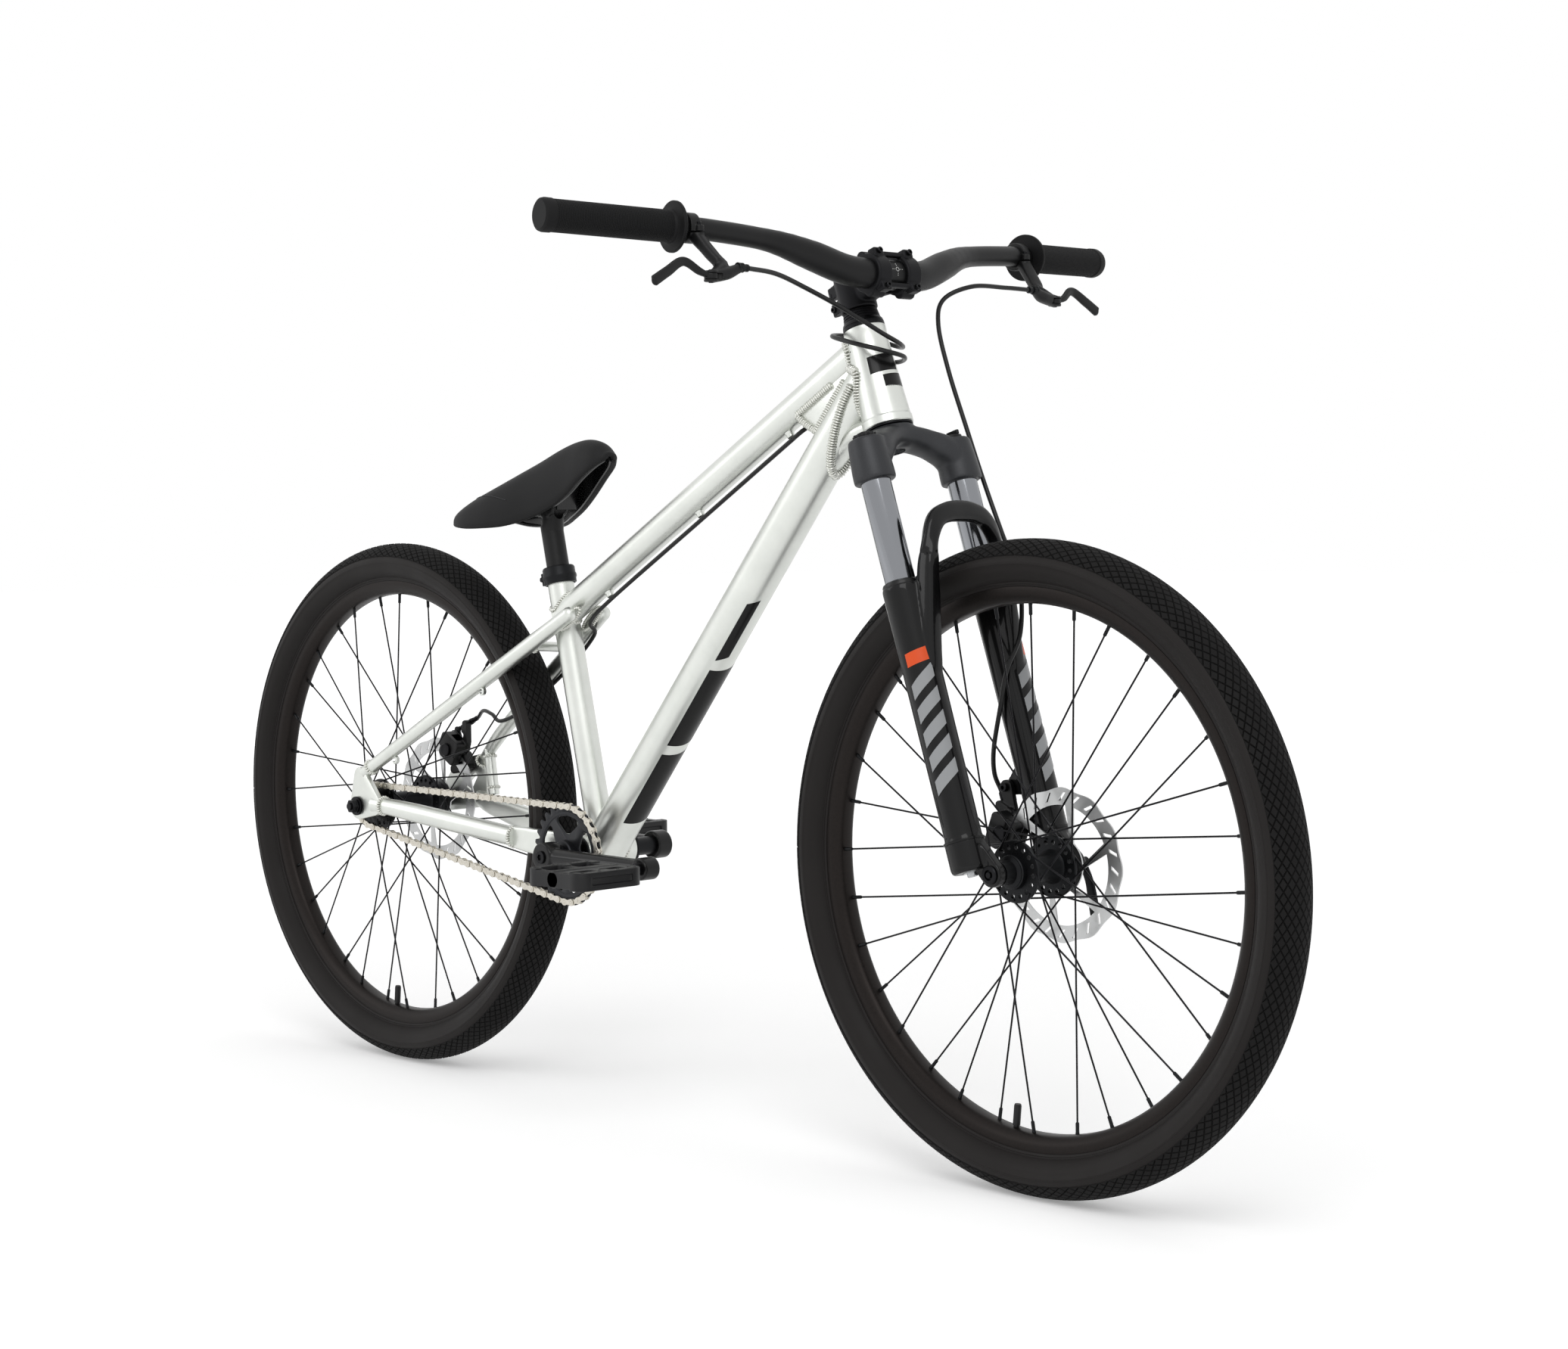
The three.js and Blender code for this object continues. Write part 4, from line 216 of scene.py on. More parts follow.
def corner_chain(corners):
    """A line of edges drawn by extruding one corner."""
    nothing()
    bpy.ops.mesh.primitive_plane_add(size=MM)
    bpy.ops.object.mode_set(mode="EDIT")
    bpy.ops.mesh.merge(type="CENTER")
    bpy.ops.transform.translate(value=corners[0])
    for last, following in zip(corners, corners[1:]):
        bpy.ops.mesh.extrude_region_move(TRANSFORM_OT_translate={"value": following - last})
    return made()


def turned(profile, steps=64):
    """A round piece about Z, from rows of radius and height in millimetres."""
    corner_chain([mm(radius, 0, height) for radius, height in profile])
    bpy.ops.mesh.select_all(action="SELECT")
    bpy.ops.mesh.spin(steps=steps, angle=TAU, center=(0, 0, 0), axis=(0, 0, 1))
    leave()
    return tidy(made())


def slug(radius, low, high, edge=0, steps=64, end_radius=None):
    """A round slug about Z, its two rims broken by an edge where one is given."""
    last = radius if end_radius is None else end_radius
    first_rows, last_rows = [(radius, low)], [(last, high)]
    if edge:
        first_rows = [(radius - edge, low), (radius, low + edge)]
        last_rows = [(last, high - edge), (last - edge, high)]
    return turned([(0, low), *first_rows, *last_rows, (0, high)], steps)


def rod(start, end, radius, end_radius=None, steps=48, edge=0):
    """A slug laid between two places."""
    along = end - start
    return moved(slug(radius, 0, along.length / MM, edge, steps, end_radius), aimed(along, start))


def plate(outline, low, high):
    """A flat piece from an outline in its own X and Y, from low to high along Z."""
    corners = [mm(a, b, low) for a, b in outline]
    corner_chain(corners + corners[:1])
    bpy.ops.mesh.select_all(action="SELECT")
    bpy.ops.mesh.remove_doubles(threshold=0.00001)
    bpy.ops.mesh.edge_face_add()
    bpy.ops.mesh.extrude_region_move(TRANSFORM_OT_translate={"value": mm(0, 0, high - low)})
    leave()
    return tidy(made())


def side_plate(outline, from_y, to_y):
    """A flat piece from an outline in X and Z."""
    return moved(plate(outline, 0, to_y - from_y), at(mm(0, to_y, 0)), UPRIGHT)


def block(size, centre, edge=0.6):
    """A box of the given three sizes with its edges rounded."""
    nothing()
    bpy.ops.mesh.primitive_cube_add(size=1, scale=[s * MM for s in size])
    box = made()
    moved(box, Matrix.Diagonal((*box.scale, 1)))
    box.scale = (1, 1, 1)
    edit(box)
    if edge:
        bpy.ops.mesh.bevel(offset=edge * MM, segments=2)
    leave()
    return moved(box, at(centre))


def ball(radius, centre, squash=(1, 1, 1), segments=24):
    nothing()
    bpy.ops.mesh.primitive_uv_sphere_add(segments=segments, ring_count=segments // 2, radius=radius * MM)
    return moved(made(), at(centre), Matrix.Diagonal((*squash, 1)))


def arc(centre_a, centre_b, radius, start, end, steps):
    rows = []
    for k in range(steps + 1):
        angle = radians(start + (end - start) * k / steps)
        rows.append((centre_a + cos(angle) * radius, centre_b + sin(angle) * radius))
    return rows


def closed(*profile):
    """A profile that ends where it starts, as a ring or a sleeve has."""
    return [*profile, profile[0]]


def circle(centre_a, centre_b, radius, steps=32):
    return arc(centre_a, centre_b, radius, 0, 360, steps)[1:]


def wrapped(circles, steps=32):
    """The tight outline round circles given as centre, centre, radius."""
    points = sorted(p for a, b, radius in circles for p in circle(a, b, radius, steps))

    def side(points):
        kept = []
        for p in points:
            while len(kept) > 1:
                o, q = kept[-2], kept[-1]
                if (q[0] - o[0]) * (p[1] - o[1]) - (q[1] - o[1]) * (p[0] - o[0]) > 0:
                    break
                kept.pop()
            kept.append(p)
        return kept[:-1]

    return side(points) + side(points[::-1])


def smooth_path(points, steps):
    """Evenly spaced places on a smooth curve through points."""
    fine = []
    ends = [points[0] * 2 - points[1], *points, points[-1] * 2 - points[-2]]
    for a, b, c, d in zip(ends, ends[1:], ends[2:], ends[3:]):
        for k in range(24):
            t = k / 24
            fine.append(0.5 * (2 * b + (c - a) * t + (2 * a - 5 * b + 4 * c - d) * t * t
                               + (3 * b - a - 3 * c + d) * t**3))
    fine.append(points[-1].copy())
    lengths = [0.0]
    for a, b in zip(fine, fine[1:]):
        lengths.append(lengths[-1] + (b - a).length)
    path, k = [], 0
    for step in range(steps + 1):
        goal = lengths[-1] * step / steps
        while k < len(lengths) - 2 and lengths[k + 1] < goal:
            k += 1
        share = (goal - lengths[k]) / max(lengths[k + 1] - lengths[k], 1e-9)
        path.append(fine[k].lerp(fine[k + 1], min(share, 1)))
    return path


def at_share(share, rows):
    """The values between two rows, eased from one to the next."""
    place = share * (len(rows) - 1)
    low = min(int(place), len(rows) - 2)
    t = place - low
    t = t * t * (3 - 2 * t)
    return [a + (b - a) * t for a, b in zip(rows[low], rows[low + 1])]


def skinned(rings):
    """A closed skin over rings that have the same number of corners."""
    shape = bmesh.new()
    rows = [[shape.verts.new(p) for p in ring] for ring in rings]
    for row, following in zip(rows, rows[1:]):
        for k, corner in enumerate(row):
            after = (k + 1) % len(row)
            shape.faces.new((corner, row[after], following[after], following[k]))
    shape.faces.new(rows[0][::-1])
    shape.faces.new(rows[-1])
    data = bpy.data.meshes.new("skin")
    shape.to_mesh(data)
    shape.free()
    piece = bpy.data.objects.new("skin", data)
    bpy.context.scene.collection.objects.link(piece)
    return tidy(piece, 0.000001)


def swept(points, size_rows, steps=40, sides=32, square=1.0):
    """An oval section drawn along points; each size row is half width and half height."""
    path = smooth_path(points, steps)
    rings = []
    for k, centre in enumerate(path):
        ahead = (path[min(k + 1, steps)] - path[max(k - 1, 0)]).normalized()
        across = Vector((0, 0, 1)).cross(ahead)
        across = Vector((0, 1, 0)) if across.length < 0.3 else across.normalized()
        upward = ahead.cross(across)
        wide, tall = at_share(k / steps, size_rows)
        ring = []
        for n in range(sides):
            c, s = cos(n / sides * TAU), sin(n / sides * TAU)
            a = copysign(abs(c) ** square, c) * wide * MM
            b = copysign(abs(s) ** square, s) * tall * MM
            ring.append(centre + across * a + upward * b)
        rings.append(ring)
    return skinned(rings)


def repeated(pattern, places):
    """One mesh of many copies of a pattern, which is used up."""
    shape = bmesh.new()
    for place in places:
        again = pattern.data.copy()
        again.transform(place)
        if place.determinant() < 0:
            again.flip_normals()
        shape.from_mesh(again)
        bpy.data.meshes.remove(again)
    shape.to_mesh(pattern.data)
    shape.free()
    return pattern


def fit(piece, name, body, look, nodes=(), smooth=32):
    """Names a finished piece, gives it its look and hangs it on its body, if it rides on one alone."""
    piece.name = name
    piece.data.name = name
    piece.data.materials.clear()
    piece.data.materials.append(look)
    alone(piece)
    bpy.ops.object.shade_smooth_by_angle(angle=radians(smooth))
    if body:
        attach(piece, body)
    if nodes:
        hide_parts(*nodes)
    return piece


# Looks


def colour(code):
    """An sRGB hex value as linear colour."""
    parts = [int(code[k : k + 2], 16) / 255 for k in (0, 2, 4)]
    return [c / 12.92 if c <= 0.04045 else ((c + 0.055) / 1.055) ** 2.4 for c in parts] + [1]


def add(tree, kind, settings=(), links=()):
    """Adds a node with its settings and the sockets that feed it."""
    node = tree.nodes.new(kind)
    for name, value in dict(settings).items():
        if isinstance(name, str) and hasattr(node, name):
            setattr(node, name, value)
        else:
            node.inputs[name].default_value = value
    for name, source in dict(links).items():
        tree.links.new(source, node.inputs[name])
    return node


def base_look(name, code, metallic, roughness, **sockets):
    """A named material and its tree, shader and place in the object."""
    look = bpy.data.materials.new(name)
    look.use_nodes = True
    tree = look.node_tree
    shader = tree.nodes["Principled BSDF"]
    values = {"Base Color": colour(code), "Metallic": metallic, "Roughness": roughness, **sockets}
    for socket, value in values.items():
        shader.inputs[socket].default_value = value
    place = tree.nodes.new("ShaderNodeTexCoord").outputs["Object"]
    return look, tree, shader, place


def per_metre(size):
    """Texture scale for a pattern of this many millimetres."""
    return 1 / (size * MM)


def bumped(tree, shader, height, strength, depth):
    bump = add(tree, "ShaderNodeBump", {"Strength": strength, "Distance": depth * MM}, {"Height": height})
    tree.links.new(bump.outputs["Normal"], shader.inputs["Normal"])


def two_tones(tree, share, low, high):
    """Colour that goes from one tone to another with a share."""
    ramp = add(tree, "ShaderNodeValToRGB", {}, {"Fac": share})
    ramp.color_ramp.elements[0].color = colour(low)
    ramp.color_ramp.elements[1].color = colour(high)
    return ramp.outputs["Color"]


def between(tree, share, low, high):
    """A number that goes from low to high with a share."""
    ends = {"To Min": low, "To Max": high}
    return add(tree, "ShaderNodeMapRange", ends, {"Value": share}).outputs["Result"]


def noise_at(tree, place, size, detail=3, roughness=0.5):
    settings = {"Scale": per_metre(size), "Detail": detail, "Roughness": roughness}
    return add(tree, "ShaderNodeTexNoise", settings, {"Vector": place}).outputs["Fac"]


def grained(base, grain, gloss=None, tones=None, relief=None, **sockets):
    """A finish with one grain, that can set its gloss, its tone and its relief.

    The base is name, colour, metallic and roughness; the grain is its size in millimetres, detail and
    roughness; the relief is strength and depth in millimetres.
    """
    look, tree, shader, place = base_look(*base, **sockets)
    noise = noise_at(tree, place, *grain)
    if tones:
        tree.links.new(two_tones(tree, noise, *tones), shader.inputs["Base Color"])
    if gloss:
        tree.links.new(between(tree, noise, *gloss), shader.inputs["Roughness"])
    if relief:
        bumped(tree, shader, noise, *relief)
    return look


def plastic(ior, specular):
    """How strongly a plastic or painted face mirrors; blacks are kept low so that they stay black."""
    return {"IOR": ior, "Specular IOR Level": specular}


def brushed_aluminium(name, direction):
    """6061 aluminium, tube drawn and rubbed with an abrasive pad: fine bright lines along each tube."""
    look, tree, shader, place = base_look(name, "d6d8d3", 1.0, 0.34)
    turn = direction.to_track_quat("Z", "Y").inverted().to_euler()
    along = add(tree, "ShaderNodeMapping", {"vector_type": "POINT", "Rotation": turn}, {"Vector": place})
    stretch = add(tree, "ShaderNodeMapping", {"Scale": (1, 1, 0.035)}, {"Vector": along.outputs["Vector"]})
    # Real pad lines are about 0.1 mm apart; 0.8 mm is the finest that shows in the render.
    lines = noise_at(tree, stretch.outputs["Vector"], 0.8, 4, 0.65)
    clouds = noise_at(tree, place, 45, 4, 0.6)
    tree.links.new(two_tones(tree, clouds, "cacdc8", "e2e4df"), shader.inputs["Base Color"])
    tree.links.new(between(tree, lines, 0.28, 0.44), shader.inputs["Roughness"])
    return look


def weld_bead():
    """Aluminium filler left as welded: bright, a little grainy and softer in gloss than the tube."""
    return grained(("weld_bead_aluminium", "cfd0ca", 1.0, 0.34), (0.9, 2), (0.28, 0.44), relief=(0.2, 0.05))


def black_anodised():
    """Aluminium, bead blasted and dyed black: an even satin with a very fine grain."""
    base = ("black_anodised_aluminium", "17181a", 0.75, 0.4)
    return grained(base, (0.7, 2), (0.34, 0.48), relief=(0.12, 0.03))


def rim_anodised():
    """Rolled and anodised rim section: a dark brown black satin, a little mottled."""
    return grained(("anodised_rim_section", "1d1918", 0.8, 0.42), (3, 3), (0.36, 0.5), ("181514", "241f1d"))


def gloss_black():
    """Gloss black enamel under clear coat: deep, with a slight flow in its surface."""
    coat = {"Coat Weight": 0.35, "Coat Roughness": 0.05}
    base = ("gloss_black_enamel", "060607", 0.0, 0.4)
    return grained(base, (9, 2), relief=(0.08, 0.05), **coat, **plastic(1.5, 0.1))


def satin_black():
    """Satin black powder coat: even, with the faint orange peel of a baked powder."""
    base = ("satin_black_powder_coat", "0d0d0e", 0.0, 0.4)
    return grained(base, (1.6, 2), (0.38, 0.5), relief=(0.12, 0.06), **plastic(1.5, 0.25))


def matt_black():
    """Blasted matt black anodising on bar, stem and levers."""
    return grained(("matt_black_anodised", "1c1c1e", 0.85, 0.46), (0.6, 2), (0.45, 0.58), relief=(0.1, 0.03))


def crown_grey():
    """Cast crown under dark grey satin paint with fine metal flake."""
    base = ("dark_grey_casting_paint", "2f3033", 0.5, 0.46)
    return grained(base, (0.8, 2), tones=("28292b", "393a3d"), relief=(0.12, 0.04))


def dark_chrome():
    """Black chrome plate on ground steel tube: a dark mirror."""
    return grained(("black_chrome_plate", "8a8c90", 1.0, 0.1), (22, 2), (0.09, 0.16))


def rotor_steel():
    """Stainless disc, its face ground: thin, uneven scratches."""
    base = ("ground_stainless_disc", "c3c4c4", 1.0, 0.3)
    return grained(base, (0.9, 4, 0.7), (0.22, 0.42), relief=(0.15, 0.03))


def chain_nickel():
    """Nickel plate on rolled steel plates: warm silver with a soft shine."""
    return grained(("nickel_plated_steel", "cbc7bd", 1.0, 0.28), (2.5, 2), (0.22, 0.4), ("b2ada2", "dad6cc"))


def bolt_steel():
    """Black oxide on steel bolts."""
    return grained(("black_oxide_steel", "1d1d1f", 0.9, 0.36), (0.8, 2), (0.3, 0.44))


def bright_steel():
    """Zinc plated steel nuts and screws."""
    return grained(("zinc_plated_steel", "b9bbbd", 1.0, 0.3), (0.9, 2), (0.22, 0.4))


def tyre_rubber(name, code, roughness):
    """Moulded carbon black rubber: dull, with a faint bloom and fine mould grain."""
    look, tree, shader, place = base_look(name, code, 0.0, roughness, **plastic(1.52, 0.2))
    grain = noise_at(tree, place, 1.1, 3)
    bloom = noise_at(tree, place, 60, 4)
    tree.links.new(between(tree, bloom, roughness - 0.1, roughness + 0.1), shader.inputs["Roughness"])
    bumped(tree, shader, grain, 0.2, 0.06)
    return look


def grip_rubber():
    """Soft moulded rubber: matt with a very fine spark texture."""
    base = ("moulded_grip_rubber", "0b0b0c", 0.0, 0.62)
    return grained(base, (0.7, 2), relief=(0.2, 0.05), **plastic(1.5, 0.2))


def saddle_leatherette():
    """Embossed polyurethane cloth: matt black with a small pebble grain."""
    base = ("embossed_polyurethane_cover", "0e0e0f", 0.0, 0.6)
    look, tree, shader, place = base_look(*base, **plastic(1.5, 0.25))
    # The real pebble is 0.6 mm; it is drawn 1.2 mm wide so that it shows.
    cells = {"Scale": per_metre(1.2), "feature": "SMOOTH_F1"}
    pebble = add(tree, "ShaderNodeTexVoronoi", cells, {"Vector": place})
    bumped(tree, shader, pebble.outputs["Distance"], 0.35, 0.12)
    tone = noise_at(tree, place, 30, 3)
    tree.links.new(two_tones(tree, tone, "0c0c0d", "121213"), shader.inputs["Base Color"])
    return look


def moulded_nylon():
    """Glass filled nylon, injection moulded: satin black with a spark eroded grain."""
    base = ("moulded_black_nylon", "0e0e10", 0.0, 0.46)
    return grained(base, (0.9, 3), (0.4, 0.55), relief=(0.22, 0.06), **plastic(1.53, 0.3))


def cable_housing():
    """Extruded PVC cable casing: smooth satin black."""
    return grained(("extruded_cable_casing", "09090a", 0.0, 0.34), (4, 2), (0.3, 0.4), **plastic(1.53, 0.3))


def ring_grey():
    """Machined aluminium chainring, dyed dark grey: satin with a fine turned grain."""
    base = ("dyed_chainring_aluminium", "26272a", 0.7, 0.4)
    return grained(base, (0.8, 3), (0.34, 0.48), relief=(0.12, 0.03))


def cast_black():
    """Die cast caliper body under black paint: satin with soft casting waves."""
    base = ("painted_die_casting", "0c0c0d", 0.2, 0.36)
    return grained(base, (3.5, 3), (0.3, 0.46), relief=(0.2, 0.12), **plastic(1.5, 0.3))


def gloss_moulding():
    """Glass filled nylon from a polished mould: black with a soft gloss."""
    base = ("polished_black_nylon", "0a0a0b", 0.0, 0.24)
    return grained(base, (12, 2), (0.18, 0.32), **plastic(1.53, 0.35))


def soft_rubber():
    """Thin moulded rubber of the cable boots: dull black."""
    base = ("moulded_boot_rubber", "0b0b0c", 0.0, 0.6)
    return grained(base, (1, 2), relief=(0.12, 0.04), **plastic(1.5, 0.2))


def sewing_thread():
    """Polyester thread: dark grey and dull, a shade lighter than the cover so that the seam reads."""
    return grained(("polyester_thread", "2c2c2e", 0.0, 0.7), (0.6, 2), tones=("242426", "38383a"), IOR=1.5)


def decal(name, code):
    """Printed vinyl film under clear coat: one flat colour with a soft gloss."""
    coat = {"Coat Weight": 0.1}
    return grained((name, code, 0.0, 0.3), (5, 2), (0.25, 0.38), **coat, **plastic(1.5, 0.2))


bead_look = weld_bead()
anodised = black_anodised()
rim_look = rim_anodised()
gloss = gloss_black()
satin = satin_black()
matt = matt_black()
crown_look = crown_grey()
chrome = dark_chrome()
disc_steel = rotor_steel()
nickel = chain_nickel()
bolt_look = bolt_steel()
bright = bright_steel()
side_rubber = tyre_rubber("tyre_sidewall_rubber", "181514", 0.6)
tread_rubber = tyre_rubber("tyre_tread_rubber", "0c0b0b", 0.76)
grip_look = grip_rubber()
leatherette = saddle_leatherette()
nylon = moulded_nylon()
casing = cable_housing()
black_decal = decal("black_vinyl_decal", "030303")
orange_decal = decal("orange_vinyl_decal", "e2572b")
grey_decal = decal("grey_vinyl_decal", "9a9c9e")
mark_look = decal("white_pad_print", "d9d9d6")
ring_look = ring_grey()
cast_look = cast_black()
gloss_nylon = gloss_moulding()
rubber_look = soft_rubber()
thread_look = sewing_thread()


# Frame

DOWN = {"low": 26, "high": 23, "head": 66}
TOP = {"radius": 17, "head": 95.8, "seat": 287.3}
SEAT = {"radius": 15.9, "high": 343.8}
SHELL = {"radius": 20, "half_width": 36.5}
WELD_PITCH = 3
FILM_GAP = 0.16

down_head = on_fork(0, 0, DOWN["head"])
top_head = on_fork(0, 0, TOP["head"])
top_seat = on_seat_tube(TOP["seat"])
down_along = (down_head - BOTTOM_BRACKET).normalized()
top_along = (top_head - top_seat).normalized()
over_down = Vector((-down_along.z, 0, down_along.x))
under_top = Vector((top_along.z, 0, -top_along.x))
HEAD_ALONG = tilted(0, 0, 1).normalized()
AHEAD = tilted(1, 0, 0).normalized()
TO_LEFT = Vector((0, 1, 0))

RIGHT_STAY = [mm(-166.6, -26.3, 582.4), mm(-531, -69.5, 377)]
LEFT_STAY = [mm(-166.6, 26.3, 582.4), mm(-383.6, 50, 439.6), mm(-468, 69.5, 384)]

# Each tube has its own brushing, along its own length
head_look, down_look, top_look, seat_look, shell_look, stay_look, chain_look = (
    brushed_aluminium(f"brushed_aluminium_{tube}", direction) for tube, direction in (
        ("head_tube", HEAD_ALONG), ("down_tube", down_along), ("top_tube", top_along),
        ("seat_tube", SEAT_DIRECTION), ("shell", TO_LEFT),
        ("seat_stays", (RIGHT_STAY[-1] - RIGHT_STAY[0]).normalized()),
        ("chain_stays", Vector((1, 0, -0.1)).normalized()),
    )
)


def bare(piece, name, look, *nodes):
    """Fits a piece of bare aluminium to the frame."""
    return fit(piece, name, "frame", look, nodes)


def meeting(start, along, radius, other, other_along, other_radius, steps=120):
    """Runs of places where the skin of one tube meets the skin of another."""
    first = along.orthogonal().normalized()
    second = along.cross(first)
    runs, run = [], []
    for k in range(steps + 1):
        angle = TAU * k / steps
        skin = start + (first * cos(angle) + second * sin(angle)) * radius * MM
        across = along - other_along * along.dot(other_along)
        offset = (skin - other) - other_along * (skin - other).dot(other_along)
        a, b = across.dot(across), 2 * across.dot(offset)
        inside = b * b - 4 * a * (offset.dot(offset) - (other_radius * MM) ** 2)
        if inside < 0:
            if len(run) > 3:
                runs.append(run)
            run = []
            continue
        run.append(skin + along * ((-b - sqrt(inside)) / (2 * a)))
    if len(run) > 3:
        runs.append(run)
    return runs


def bead_places(path, size):
    """Overlapping drops, one pitch apart, along a path."""
    places, left = [], 0.0
    for a, b in zip(path, path[1:]):
        step = (b - a).length
        while left <= step and step > 1e-7:
            spot = a.lerp(b, left / step)
            wobble = 1 + 0.06 * sin(len(places) * 2.4)
            places.append(aimed(b - a, spot) @ Matrix.Diagonal((size * wobble, size * wobble, 1, 1)))
            left += WELD_PITCH * MM
        left -= step
    return places


def weld(name, paths, size):
    """A row of overlapping weld drops on the frame."""
    nothing()
    bpy.ops.mesh.primitive_ico_sphere_add(subdivisions=2, radius=MM)
    drop = moved(made(), Matrix.Diagonal((3.1, 3.1, 1.7, 1)))
    places = [place for path in paths for place in bead_places(path, size)]
    fit(repeated(drop, places), name, "frame", bead_look, smooth=60)


def patch(name, body, start, along, up, radii, low, high, angle_low, angle_high, look, lean=0):
    """A thin film wrapped on a tapered tube between two distances and two angles."""
    side = along.cross(up).normalized()
    crown = side.cross(along).normalized()
    nothing()
    bpy.ops.mesh.primitive_grid_add(x_subdivisions=24, y_subdivisions=8, size=2)
    film = made()
    for vertex in film.data.vertices:
        across, down = vertex.co.x / 2 + 0.5, vertex.co.y / 2 + 0.5
        angle = radians(angle_low + (angle_high - angle_low) * across)
        distance = (low + (high - low) * down + lean * across) * MM
        out = crown * cos(angle) + side * sin(angle)
        radius = radii[0] + (radii[1] - radii[0]) * (distance / MM - low) / (high - low)
        vertex.co = start + along * distance + out * (radius + FILM_GAP) * MM
    edit(film)
    bpy.ops.mesh.normals_make_consistent(inside=False)
    leave()
    face = film.data.polygons[0]
    from_foot = face.center - start
    if (from_foot - along * along.dot(from_foot)).dot(face.normal) < 0:
        film.data.flip_normals()
    with_modifier(film, "SOLIDIFY", thickness=0.0001, offset=-1)
    fit(film, name, body, look)


def make_head_tube():
    tube = turned([
        (17.5, 2.65), (26.3, 2.65), (27.3, 3.6), (27.3, 10.9), (26.6, 12), (26.3, 14), (25.8, 24),
        (24.6, 48), (23.2, 76), (22.6, 90), (22.5, 106), (22.9, 107.5), (22.9, 112.3), (22.2, 113),
        (17.5, 113), (17.5, 2.65),
    ], 96)
    moved(tube, ON_FORK)
    vents = []
    for up in (98, 90):
        place = on_fork(-8, -20, up)
        vents.append(rod(place + mm(0, -12, 0), place + mm(0, 6, 0), 1, steps=20))
    cut(tube, vents)
    bare(tube, "head_tube_skin", head_look, "head_tube")


def make_main_tubes():
    down = rod(BOTTOM_BRACKET, down_head, DOWN["low"], DOWN["high"], 96)
    bare(down, "down_tube_skin", down_look, "down_tube")
    chin = on_fork(-16, 0, 12)
    start = BOTTOM_BRACKET + down_along * ((down_head - BOTTOM_BRACKET).length - 0.128)
    gusset_line = [
        start - over_down * 0.012, start + down_along * 0.05 - over_down * 0.0195,
        chin - over_down * 0.001, chin + down_along * 0.012,
    ]
    gusset = swept(gusset_line, [[4, 3], [13, 8], [17, 12], [15, 10]], 28, 40)
    bare(gusset, "down_tube_gusset", down_look)
    top = rod(top_seat - top_along * 0.006, top_head, TOP["radius"], steps=96)
    bare(top, "top_tube_skin", top_look, "top_tube")
    seat = rod(BOTTOM_BRACKET, on_seat_tube(SEAT["high"]), SEAT["radius"], SEAT["radius"], 80)
    bare(seat, "seat_tube_skin", seat_look, "seat_tube")
    wide = SHELL["half_width"]
    shell = turned([
        (0, -wide), (18.8, -wide), (20, -wide + 1.2), (20, wide - 1.2), (18.8, wide), (0, wide),
    ], 80)
    bare(moved(shell, at(BOTTOM_BRACKET), ALONG_Y), "bottom_bracket_shell", shell_look, "bb_shell")
    for side, name in SIDES:
        cup = turned(closed((12, 0), (19.2, 0), (20.2, 0.8), (20.2, 3), (18.6, 4), (12, 4)), 64)
        place = at(BOTTOM_BRACKET + mm(0, side * wide, 0)) @ (ALONG_Y if side > 0 else UPRIGHT)
        fit(moved(cup, place), f"bottom_bracket_cup_{name}", "frame", anodised)


def over_down_tube(backs, rise):
    """Places over the down tube's middle line, back from the head."""
    return [down_head + (over_down * rise - down_along * back) * MM for back in backs]


def below_top_tube(backs, drop):
    """Places below the top tube's middle line, back from the head."""
    return [top_head + (under_top * drop - top_along * back) * MM for back in backs]


def make_top_gusset():
    """Small plate that braces the angle between the two tubes at the head."""
    corners = over_down_tube((20, 95), 12) + below_top_tube((120, 20), 8)
    outline = [(place.x / MM, place.z / MM) for place in corners]
    web = softened(side_plate(outline, -11, 11), 1.2)
    bare(web, "top_tube_web", top_look)


def on_down_tube(back, angle, grow=0.0):
    """A place on the down tube's skin, back from the head; angle 0 on top, 90 at its right side."""
    way = over_down * cos(radians(angle)) - TO_LEFT * sin(radians(angle))
    return down_head - down_along * back * MM + way * (DOWN["high"] + 0.0042 * back + grow) * MM


def make_gusset_welds():
    """Beads round the plate between the tubes and round the one under the down tube."""
    paths = []
    for side in (-1, 1):
        across = mm(0, side * 11.4, 0)
        low = [place + across for place in over_down_tube((30, 50, 70, 97), 20.6)]
        high = [place + across for place in below_top_tube((60, 80, 100, 121), 13)]
        paths.append(smooth_path(low, 30))
        paths.append(smooth_path(high, 30))
        paths.append(smooth_path([low[-1], low[-1].lerp(high[-1], 0.5) - mm(2, 0, 0), high[-1]], 12))
    weld("weld_throat_plate", paths, size=1.4)
    half_line = [(20, 92), (42, 98), (68, 112), (92, 130), (112, 152), (122, 180)]
    points = [on_down_tube(back, angle, 0.8) for back, angle in half_line]
    points += [mirrored(place) for place in points[-2::-1]]
    weld("weld_chin_plate", [smooth_path(points, 90)], size=1.7)


